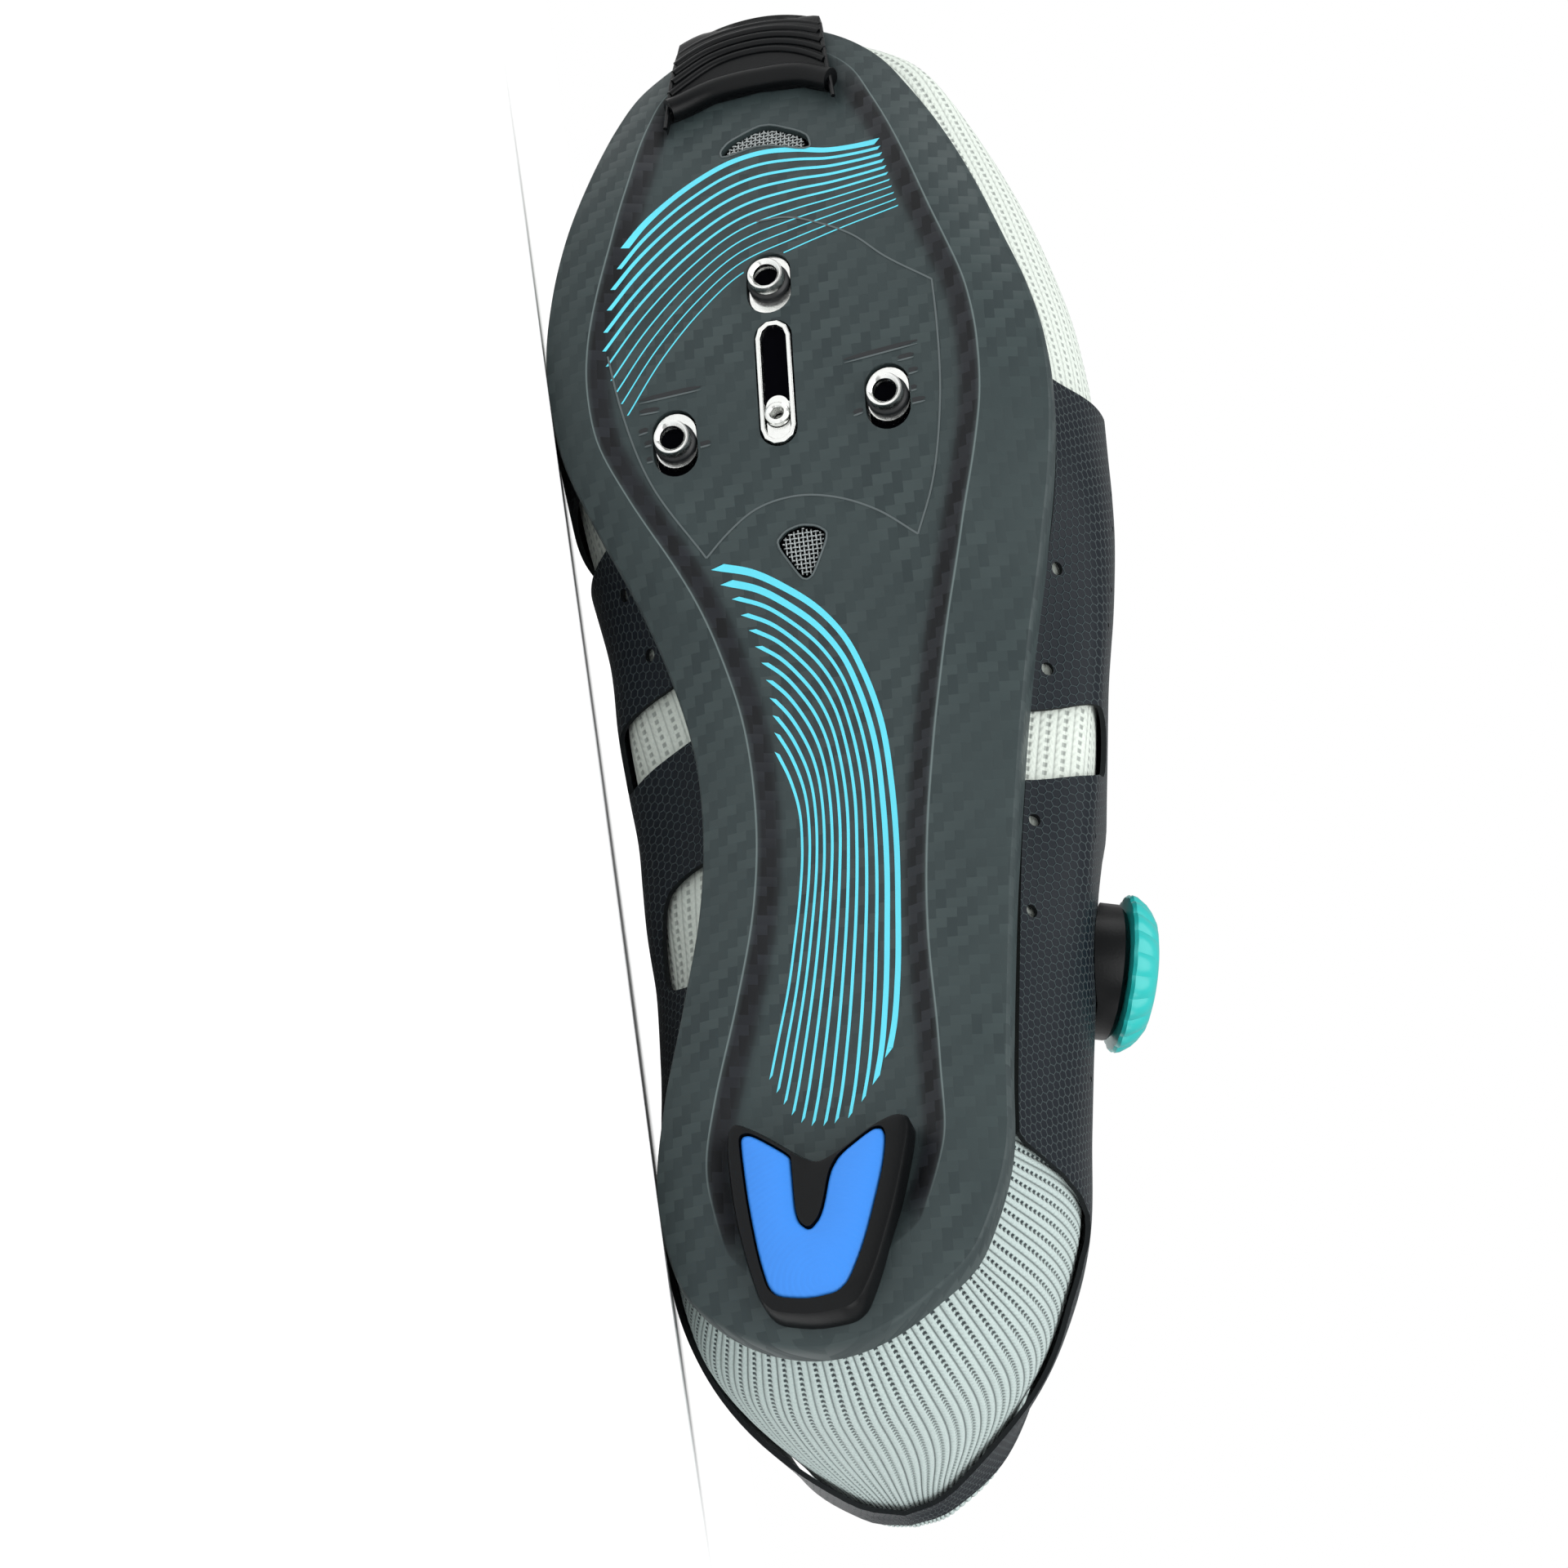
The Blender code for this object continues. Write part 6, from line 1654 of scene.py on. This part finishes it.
def stepped_block(name, outline, levels, place):
    """Block whose outline is drawn in by a gap at each level, as (gap, height or heights)."""
    rings = [stacked(*pad_outline(outline, gap).T, height) for gap, height in levels]
    rows, count = len(rings), len(rings[0])
    work = bmesh.new()
    work.from_mesh(mesh_of(name, np.array(rings), grid_faces(rows, count, closed=True)))
    work.verts.ensure_lookup_table()
    for first in (0, (rows - 1) * count):
        face = work.faces.new([work.verts[first + k] for k in range(count)])
        face.normal_update()
        bmesh.ops.triangulate(work, faces=[face])
    bmesh.ops.recalc_face_normals(work, faces=work.faces)
    mesh = bpy.data.meshes.new(name)
    work.to_mesh(mesh)
    work.free()
    mesh.transform(place)
    return mesh


def build_heel_pad(form, rubber, blue):
    """Rubber frame with its chamfered edge and the blue wear insert in its pocket."""
    place = Matrix.Translation((PAD_STATION * LENGTH, PAD_SIDE * BALL_WIDTH, 0.0))
    starts = [place @ Vector((x, y, -0.05)) for x, y in pad_outline(PAD_FRAME)]
    tops = [form.ray_cast(start, Vector((0.0, 0.0, 1.0)))[0].z - FIT_GAP for start in starts]
    levels = ((0.0011, 0.0), (0.0004, 0.0003), (0.0, 0.0012), (0.0, np.array(tops)))
    frame_block = stepped_block("pad_frame", PAD_FRAME, levels, place)
    pocket = prism_mesh("pad_pocket", pad_outline(PAD_INSERT), -0.001, PAD_POCKET, place)
    mesh = carved(frame_block, [("DIFFERENCE", pocket)])
    piece("heel_pad_rubber", smooth(mesh, 40.0), rubber, ("heel_pad_frame",))
    levels = ((FIT_GAP + 0.0006, PAD_INSERT_RECESS - 0.0002), (FIT_GAP + 0.0002, PAD_INSERT_RECESS),
              (FIT_GAP, PAD_INSERT_RECESS + 0.0003), (FIT_GAP, PAD_POCKET - FIT_GAP))
    mesh = stepped_block("pad_insert", PAD_INSERT, levels, place)
    piece("heel_pad_blue", smooth(mesh, 40.0), blue, ("heel_pad_insert",))


def pad_material():
    """Blue wear rubber with faint rings round the heel's centre."""
    made, tree, shader = finish("heel blue", (0.035, 0.230, 0.740), 0.42, **{"Specular IOR Level": 0.35})
    centre = POSE @ Vector((PAD_STATION * LENGTH - 0.012, PAD_SIDE * BALL_WIDTH, 0.0))
    place = node(tree, "ShaderNodeTexCoord").outputs["Object"]
    away = vectors(tree, "DISTANCE", place, tuple(centre), output=1)
    rings = maths(tree, "SINE", maths(tree, "MULTIPLY", away, 2 * math.pi / 0.0011))
    relief(tree, shader, rings, 0.00003, 0.5)
    return made


# Upper
HEEL_RIB_TURN = 0.300
RIB_HEIGHT = 0.00030
RIB_SAMPLES = 6


def knit_columns():
    """Turns of the upper's columns on one side: six to a rib round the heel, wider apart further on."""
    heel_run = float(np.interp(HEEL_RIB_TURN, GIRTH_TURNS, GIRTH[LATERAL]))
    ribs = np.arange(0.0, heel_run, RIB_PITCH / RIB_SAMPLES)
    close = np.interp(ribs, GIRTH[LATERAL], GIRTH_TURNS)
    return np.concatenate([close, np.linspace(close[-1], 1.0, 120)[1:]])


def build_knit(knit, lining):
    """Knitted sock as one shell: ribbed outer face, plain lining and the rims that join them."""
    turns = knit_columns()
    rises = np.linspace(0.0, 1.0, 56)
    count = len(turns)
    around_turns = np.concatenate([turns, turns[::-1][1:]])
    sides = np.concatenate([np.full(count, MEDIAL), np.full(count - 1, LATERAL)])
    turn, rise = np.meshgrid(around_turns, rises, indexing="ij")
    side = np.broadcast_to(sides[:, None], turn.shape)
    cloth = cloth_place(turn, side, rise)
    heel = np.clip((HEEL_RIB_TURN - 0.02 - turn) / 0.03, 0.0, 1.0)
    share = np.abs(2 * ((cloth[..., 0] / RIB_PITCH) % 1.0) - 1.0)
    low_fade = np.clip(rise / 0.08, 0.0, 1.0)
    ribbing = RIB_HEIGHT * ((1.0 - share ** 2.4) - 0.6) * heel * low_fade
    outer = skin_point(turn, side, rise, ribbing)
    inner = skin_point(turn, side, rise, -UPPER_WALL)
    rows, columns = turn.shape
    faces = grid_faces(rows, columns)
    total = rows * columns
    low_edge = np.arange(rows) * columns
    rims = []
    for edge in (low_edge, low_edge + columns - 1):
        rims.append(np.stack([edge[:-1], edge[1:], edge[1:] + total, edge[:-1] + total], axis=-1))
    every = np.concatenate([faces, faces + total, *rims])
    points = np.concatenate([outer.reshape(-1, 3), inner.reshape(-1, 3)])
    mesh = mesh_of("knit_sock", points, every, cloth=np.concatenate([cloth.reshape(-1, 2)] * 2))
    mask = mesh.attributes.new("heel", "FLOAT", "POINT")
    mask.data.foreach_set("value", np.concatenate([heel.ravel()] * 2))
    indices = np.zeros(len(mesh.polygons), np.int32)
    indices[len(faces):2 * len(faces)] = 1
    mesh.polygons.foreach_set("material_index", indices)
    mesh.materials.append(knit)
    mesh.materials.append(lining)
    tidied(mesh, 0.00001)
    piece("knit_sock", smooth(creased(mesh), 60.0), knit, ("knit_upper",))


# Main creases of the vamp, one by one: station, side angle, lean, half width, spread and depth
CREASE_ROWS = (
    (0.668, -58.0, 0.012, 0.0100, 20.0, 0.00055),
    (0.636, -64.0, 0.016, 0.0110, 17.0, 0.00060),
    (0.602, -54.0, 0.010, 0.0095, 15.0, 0.00040),
    (0.672, 56.0, -0.014, 0.0105, 22.0, 0.00060),
    (0.640, 66.0, -0.010, 0.0100, 18.0, 0.00055),
    (0.604, 60.0, -0.018, 0.0110, 14.0, 0.00045),
    (0.745, 4.0, 0.008, 0.0120, 30.0, 0.00040),
)
CREASE_RIDGE = 0.4
CREASE_RIDGE_PLACE = 1.9
CREASE_CENTRE = 0.045


def creased(mesh):
    """Presses the main creases into a mesh of the upper, as soft troughs between low ridges."""
    points = np.empty(len(mesh.vertices) * 3)
    mesh.vertices.foreach_get("co", points)
    points = points.reshape(-1, 3)
    outwards = points[:, 1:] - np.array([0.0, CREASE_CENTRE])
    angles = np.degrees(np.arctan2(outwards[:, 0], outwards[:, 1]))
    push = np.zeros(len(points))
    for station, side, lean, width, spread, depth in CREASE_ROWS:
        aside = (angles - side) / spread
        away = (points[:, 0] / LENGTH - station - lean * aside) / width
        ridges = np.exp(-(away - CREASE_RIDGE_PLACE) ** 2) + np.exp(-(away + CREASE_RIDGE_PLACE) ** 2)
        push += depth * (np.exp(-away ** 2) - CREASE_RIDGE * ridges) * np.exp(-aside ** 2)
    points[:, 1:] -= unit(outwards) * push[:, None]
    mesh.vertices.foreach_set("co", points.ravel())
    mesh.update()
    return mesh


def throat_rise(stations, side):
    """Rise at which each rib of the overlay enters the throat, or 1 where it never does."""
    rises = np.linspace(0.45, 1.0, 240)
    station, rise = np.meshgrid(stations, rises, indexing="ij")
    points = rib_point(turn_of(station), side, rise)
    rows = np.array(THROAT_ROWS)
    half = np.interp(points[..., 0] / LENGTH, rows[:, 0], rows[:, 1], left=-1.0, right=-1.0)
    within = np.abs(points[..., 1] - THROAT_SIDE) < half
    found = np.where(within.any(axis=1), rises[within.argmax(axis=1)], 1.0)
    soft = np.convolve(np.pad(found, 2, mode="edge"), np.ones(5) / 5, mode="valid")
    return np.where(found < 1.0, np.minimum(soft, 1.0), 1.0)


EDGE_STEP = 0.0040
UP_SCALE = 0.37


def overlay_outline(side):
    """Edge of the overlay on one side as (station, rise), and whether each stretch meets the other side."""
    front, crest = OVERLAY_FRONT[side], OVERLAY_FRONT_CREST
    low_stations = np.arange(0.0, front, EDGE_STEP)
    low = np.maximum(HEEL_EDGE.sided(turn_of(low_stations), side), OVERLAY_LOW_RISE)
    bottom = stacked(low_stations, low)
    share = np.linspace(0.0, 1.0, 60)
    leading = stacked(front + (crest - front) * share ** 2,
                      OVERLAY_LOW_RISE + (1 - OVERLAY_LOW_RISE) * share)
    top_stations = np.arange(0.0, crest, EDGE_STEP)[::-1]
    collar = np.clip(LAST.at(turn_of(top_stations), "collar"), 0.0, 1.0)
    top = np.minimum(1.0 - (1.0 - OVERLAY_TOP_COLLAR) * collar, throat_rise(top_stations, side))
    upper = stacked(top_stations, top)
    heel_rises = np.arange(top[-1], low[0], -0.02)[1:]
    back = stacked(np.zeros(len(heel_rises)), heel_rises)
    return np.concatenate([bottom, leading, upper, back])


def ring_on_skin(station, side, rise, radius, corners=16):
    """Small circle on the upper as (station, rise) corners."""
    step = RING_PROBE_STEP
    turn = turn_of(station)
    here = rib_point(turn, side, rise)
    along = np.linalg.norm(rib_point(turn_of(station + step), side, rise) - here) / step
    climb = np.linalg.norm(rib_point(turn, side, rise + step) - here) / step
    angles = np.arange(corners) * 2 * math.pi / corners
    return stacked(station + radius / along * np.cos(angles), rise + radius / climb * np.sin(angles))


FILL_STEP = 0.0072
FILL_CLIMB = 0.0195
FILL_MARGIN = 0.0026


def overlay_half(side):
    """Triangles of one side of the overlay between its cut-outs, in (station, rise)."""
    outline = overlay_outline(side)
    holes = []
    for corners in OVERLAY_GAPS[side]:
        holes.append(smooth_path(rounded(corners, 2, 0.22), 90, closed=True))
    holes += [ring_on_skin(*spot[:1], side, spot[1], OVERLAY_HOLE_RADIUS) for spot in OVERLAY_HOLES[side]]
    if side == LATERAL:
        holes += [ring_on_skin(spot[0], side, spot[1], PINHOLE_RADIUS, 10) for spot in PINHOLES]
    scale = np.array([1.0, UP_SCALE])
    points, edges = [], []
    for loop in (outline, *holes):
        first = len(points)
        points += [Vector(point) for point in (np.asarray(loop) * scale).tolist()]
        edges += [(first + k, first + (k + 1) % len(loop)) for k in range(len(loop))]
    station, rise = np.meshgrid(np.arange(0.004, 0.75, FILL_STEP), np.arange(0.085, 1.0, FILL_CLIMB),
                                indexing="ij")
    station = (station + np.where(np.arange(station.shape[1]) % 2, 0.5 * FILL_STEP, 0.0)[None]).ravel()
    rise = rise.ravel()
    kept = inside(outline * scale, station, rise * UP_SCALE)
    edge_points = np.array([tuple(point) for point in points])
    spots = np.stack([station, rise * UP_SCALE], axis=-1)[kept]
    nearest = np.array([np.min(np.sum((edge_points - spot) ** 2, axis=1)) for spot in spots])
    spots = spots[nearest > FILL_MARGIN ** 2]
    points += [Vector(spot) for spot in spots.tolist()]
    made, _, triangles, _, _, _ = delaunay_2d_cdt(points, edges, [], 0, 1e-7)
    made = np.array([tuple(point) for point in made])
    triangles = np.array(triangles)
    middle = made[triangles].mean(axis=1)
    good = inside(outline * scale, middle[:, 0], middle[:, 1])
    for hole in holes:
        good &= ~inside(np.asarray(hole) * scale, middle[:, 0], middle[:, 1])
    return made / scale, triangles[good]


def build_overlay(wrap, wrap_edge):
    """Hexagon wrap as one band over both sides, with thick black cut edges."""
    points, cloth, faces, walls, first = [], [], [], [], 0
    for side in (MEDIAL, LATERAL):
        places, triangles = overlay_half(side)
        turn, rise = turn_of(places[:, 0]), np.minimum(places[:, 1], 1.0)
        count = len(places)
        points += [skin_point(turn, side, rise, offset)
                   for offset in (OVERLAY_GAP, OVERLAY_GAP + OVERLAY_WALL)]
        cloth += [cloth_place(turn, side, rise)] * 2
        faces += (triangles + first).tolist() + (triangles + first + count).tolist()
        sides = np.concatenate([triangles[:, pair] for pair in ([0, 1], [1, 2], [2, 0])])
        sides = np.sort(sides, axis=1)
        unique, times = np.unique(sides, axis=0, return_counts=True)
        for a, b in unique[times == 1]:
            at_heel = places[a, 0] < 1e-4 and places[b, 0] < 1e-4
            on_ridge = (min(places[a, 1], places[b, 1]) > 0.9995
                        and LAST.at(turn_of(places[[a, b], 0]), "collar").max() < 0.02)
            if not (at_heel or on_ridge):
                walls.append((a + first, b + first, b + first + count, a + first + count))
        first += 2 * count
    mesh = mesh_of("hexagon_wrap", np.concatenate(points), faces + walls, cloth=np.concatenate(cloth))
    indices = np.zeros(len(mesh.polygons), np.int32)
    indices[len(faces):] = 1
    mesh.polygons.foreach_set("material_index", indices)
    mesh.materials.append(wrap)
    mesh.materials.append(wrap_edge)
    tidied(mesh, 0.000012)
    piece("hexagon_wrap", smooth(creased(mesh), 50.0), wrap, ("wrap_overlay",))


def build_pinhole_shades(dark):
    """Dark rounds of painted shade under the pinholes, between the wrap and the knit."""
    meshes = []
    for station, rise in PINHOLES:
        place = skin_frame(station, LATERAL, rise, 0.5 * OVERLAY_GAP)
        angles = [k * math.pi / 6 for k in range(12)]
        outline = [(2 * PINHOLE_RADIUS * math.cos(angle), 2 * PINHOLE_RADIUS * math.sin(angle))
                   for angle in angles]
        mesh = prism_mesh("pinhole_shade", outline, 0.0, 0.0003, place)
        mesh.materials.append(dark)
        meshes.append(mesh)
    piece("pinhole_shades", creased(joined("pinhole_shades", meshes)), dark)


def build_insole(foam):
    """Thin foam insole over the sole's plate."""
    turns = np.linspace(0.0, 1.0, 90)
    halves = {}
    for side in (MEDIAL, LATERAL):
        inner = np.maximum(BALL_WIDTH * SOLE.sided(turns, side, "{}_band") + SHELF_REACH,
                           INSOLE_INSET + INSOLE_SLOPE)
        edge_own = own_turn(turns, side, np.full(len(turns), INSOLE_INSET))
        rest = plate_top(edge_own, turns, side, INSOLE_INSET) + INSOLE_GAP
        middle = channel_height(own_turn(turns, side, inner)) + PLATE_THICKNESS + INSOLE_ROOM
        rows = ((inner, middle), (INSOLE_INSET, rest),
                (INSOLE_INSET - 0.0002, rest + 0.3 * INSOLE_THICKNESS),
                (INSOLE_INSET, rest + 0.6 * INSOLE_THICKNESS), (inner, middle + INSOLE_THICKNESS))
        line = []
        for inset, height in rows:
            plan = inset_point(turns, side, np.broadcast_to(inset, turns.shape))
            line.append(stacked(plan[:, 0], plan[:, 1], height))
        halves[side] = np.stack(line, axis=1)
    under = 0.5 * (halves[MEDIAL][:, :1] + halves[LATERAL][:, :1])
    top = 0.5 * (halves[MEDIAL][:, -1:] + halves[LATERAL][:, -1:])
    rings = np.concatenate([under, halves[MEDIAL], top, halves[LATERAL][:, ::-1]], axis=1)
    mesh = mesh_of("foam_insole", rings, grid_faces(*rings.shape[:2], closed=True))
    piece("foam_insole", smooth(tidied(mesh), 30.0), foam, ("insole",))


# Dial and lace
def build_dial(teal):
    """Knurled dial knob with a flared, faceted rim."""
    place = skin_frame(DIAL_TURN_STATION, LATERAL, DIAL_RISE, OVERLAY_GAP + OVERLAY_WALL + FIT_GAP)
    low = DIAL_BASE_HEIGHT + FIT_GAP
    profile = [(across * DIAL_KNOB_RADIUS, low + up * DIAL_KNOB_HEIGHT) for across, up, _ in DIAL_PROFILE]

    def grips(number, angles):
        share = (angles * DIAL_GRIPS / (2 * math.pi)) % 1.0
        return 1.0 - DIAL_PROFILE[number][2] * (1.0 - np.abs(2 * share - 1.0)) ** 2

    knob = turned_mesh("dial_knob", profile, place, DIAL_GRIPS * 8, grips)
    piece("faceted_dial", smooth(knob, 22.0), teal, ("dial_knob",))


def lace_path():
    """Route of the lace over its guides to the dial, as in the part's source."""
    outside = OVERLAY_GAP + OVERLAY_WALL
    stops = [(station, side, rise) for station, rise in GUIDE_ROWS for side in (LATERAL, MEDIAL)]
    lift = outside + 2 * FIT_GAP + GUIDE_THICKNESS + FIT_GAP + LACE_RADIUS
    path = []
    for (station, side, rise), (after, next_side, next_rise) in zip(stops, stops[1:]):
        for share in np.linspace(0.0, 1.0, 8)[:-1]:
            along = turn_of(station + (after - station) * share)
            if share < 0.5:
                path.append(skin_point(along, side, rise + (1.0 - rise) * 2 * share, lift))
            else:
                height = next_rise + (1.0 - next_rise) * 2 * (1 - share)
                path.append(skin_point(along, next_side, height, lift))
    station, side, rise = stops[-1]
    path.append(skin_point(turn_of(station), side, rise, lift))
    station, side, rise = stops[0]
    lead = [skin_point(turn_of(DIAL_TURN_STATION + share * (station - DIAL_TURN_STATION)), LATERAL,
                       DIAL_RISE + share * (rise - DIAL_RISE), lift)
            for share in np.linspace(0.62, 0.92, 6)]
    return np.array(lead + path)


def build_lace(cord):
    mesh = strands("lace_strand", [smooth_path(lace_path(), 260)], LACE_RADIUS, 12, cord)
    piece("lace_strand", mesh, cord, ("lace",))


# Studio
def build_camera(view):
    """Photograph's camera, raised only to clear the floor and rolled to keep the shoe upright."""
    turned = POSE.to_3x3()
    centre = 0.5 * PHOTO_SIZE - EYE_TARGET_PIXEL
    back = unit(np.array([-math.sin(EYE_TILT), math.sin(PHOTO_TURN), -math.cos(EYE_TILT)]))
    eye = POSE @ Vector(PHOTO_TARGET + PHOTO_DISTANCE * back)
    target = POSE @ Vector(PHOTO_TARGET)
    far = (eye - target).length
    eye.z = max(eye.z, EYE_HEIGHT)
    near = (eye - target).length
    scale = near / view.focal
    length_line = np.array([LENGTH, 0.0, TOE_SPRING])
    lean = math.atan2(length_line.dot(view.right), length_line.dot(view.up))
    aim = target
    for _ in range(4):
        ahead = (aim - eye).normalized()
        upright = turned @ Vector(length_line)
        upright = (upright - ahead * upright.dot(ahead)).normalized()
        sideways = ahead.cross(upright)
        up = upright * math.cos(lean) - sideways * math.sin(lean)
        right = ahead.cross(up)
        aim = target + right * centre[0] * scale - up * centre[1] * scale
    camera = bpy.data.cameras.new("photo_camera")
    camera.sensor_width = SENSOR
    camera.lens = SENSOR * view.focal / PHOTO_SIZE * near / far
    camera.clip_start = 0.01
    made = loose("photo_camera", camera)
    made.matrix_world = Matrix((right, up, -ahead)).transposed().to_4x4()
    made.location = eye
    bpy.context.scene.camera = made


def soft_light(name, spot, aim, size, power):
    """Rectangular softbox that faces its aim."""
    light = bpy.data.lights.new(name, "AREA")
    light.shape = "RECTANGLE"
    light.size, light.size_y = size
    light.energy = power
    made = loose(name, light)
    made.location = spot
    made.rotation_euler = (Vector(aim) - Vector(spot)).to_track_quat("-Z", "Y").to_euler()


def build_studio():
    """Pale world and floor, three softboxes and the even light from above."""
    world = bpy.data.worlds.new("pale_studio")
    bpy.context.scene.world = world
    world.use_nodes = True
    tree = world.node_tree
    lit = tree.nodes["Background"]
    lit.inputs[0].default_value = (1.0, 1.0, 1.0, 1.0)
    lit.inputs[1].default_value = WORLD_LIGHT
    seen = node(tree, "ShaderNodeBackground", {0: (1.0, 1.0, 1.0, 1.0), 1: 1.0})
    path = node(tree, "ShaderNodeLightPath")
    mixed = node(tree, "ShaderNodeMixShader", {0: path.outputs["Is Camera Ray"], 1: lit.outputs[0],
                                               2: seen.outputs[0]})
    tree.links.new(mixed.outputs[0], tree.nodes["World Output"].inputs[0])
    bpy.context.scene.view_settings.view_transform = "Standard"
    size = 6.0
    corners = [(-size, -size, 0.0), (size, -size, 0.0), (size, size, 0.0), (-size, size, 0.0)]
    mesh = bpy.data.meshes.new("pale_floor")
    mesh.from_pydata(corners, [], [(0, 1, 2, 3)])
    mesh.materials.append(plain("pale floor", (0.92, 0.92, 0.92), 1.0, **{"Specular IOR Level": 0.0}))
    loose("pale_floor", mesh)
    aim = (0.0, 0.0, 0.05)
    soft_light("front_softbox", (0.9, -1.6, 0.9), aim, (1.4, 1.0), 8.5)
    soft_light("heel_softbox", (1.6, 0.2, 0.7), aim, (1.0, 0.8), 6.0)
    soft_light("toe_softbox", (-1.5, -0.7, 0.8), aim, (1.0, 0.8), 6.0)
    lamp = bpy.data.lights.new("even_light", "SUN")
    lamp.energy = EVEN_LIGHT
    lamp.angle = math.radians(70.0)
    even = loose("even_light", lamp)
    even.rotation_euler = Vector((-0.20, 0.45, -1.0)).to_track_quat("-Z", "Y").to_euler()


def main():
    """Builds every piece, then the studio."""
    carbon = carbon_material()
    rubber = rubber_material()
    deep = plain("deep shade", (0.002, 0.002, 0.003), 0.95, **{"Specular IOR Level": 0.0})
    nickel = nickel_material()
    form = build_sole(carbon)
    view = PhotoView(form)
    build_stripes(view, plain("sky blue print", (0.110, 0.640, 0.780), 0.45, **{"Specular IOR Level": 0.3}))
    clearance = sole_mesh("sole_clearance", FIT_GAP, 0.0, 150)
    # A lighter carbon that paints highlight on the platform step, beside the marks and on the vent rims
    step = plain("carbon step highlight", (0.075, 0.095, 0.098), 0.40)
    # The marks' grooves are painted shade
    build_platform_lines(view, step, plain("mark groove shade", (0.008, 0.010, 0.012), 0.60))
    build_vents(plain("silver wire", (0.42, 0.45, 0.45), 0.38, metallic=0.6), deep, step)
    build_nuts(nickel, plain("dark gasket", (0.006, 0.007, 0.008), 0.45), deep)
    build_centre_slot(nickel, deep)
    softened("slot_liner", "centre_slot_liner", nickel, 0.0002)
    build_bumper(view, clearance, rubber)
    build_heel_pad(form, rubber, pad_material())
    build_insole(plain("insole foam", (0.030, 0.034, 0.038), 0.90))
    build_knit(knit_material(), plain("sock lining", (0.10, 0.11, 0.12), 0.95))
    build_overlay(wrap_material(), rubber_material("wrap edge", (0.008, 0.010, 0.011), 0.75))
    # Dark rounds of painted shade under the pinholes
    build_pinhole_shades(deep)
    softened("dial_seat", "dial_base", rubber, 0.0004)
    build_dial(plain("teal dial", (0.015, 0.420, 0.400), 0.30))
    for side in ("lateral", "medial"):
        for number in (1, 2, 3):
            name = f"lace_guide_{side}_{number}"
            softened(name + "_soft", name, rubber, 0.0005)
    build_lace(plain("lace cord", (0.090, 0.100, 0.110), 0.55))
    build_studio()
    build_camera(view)


main()
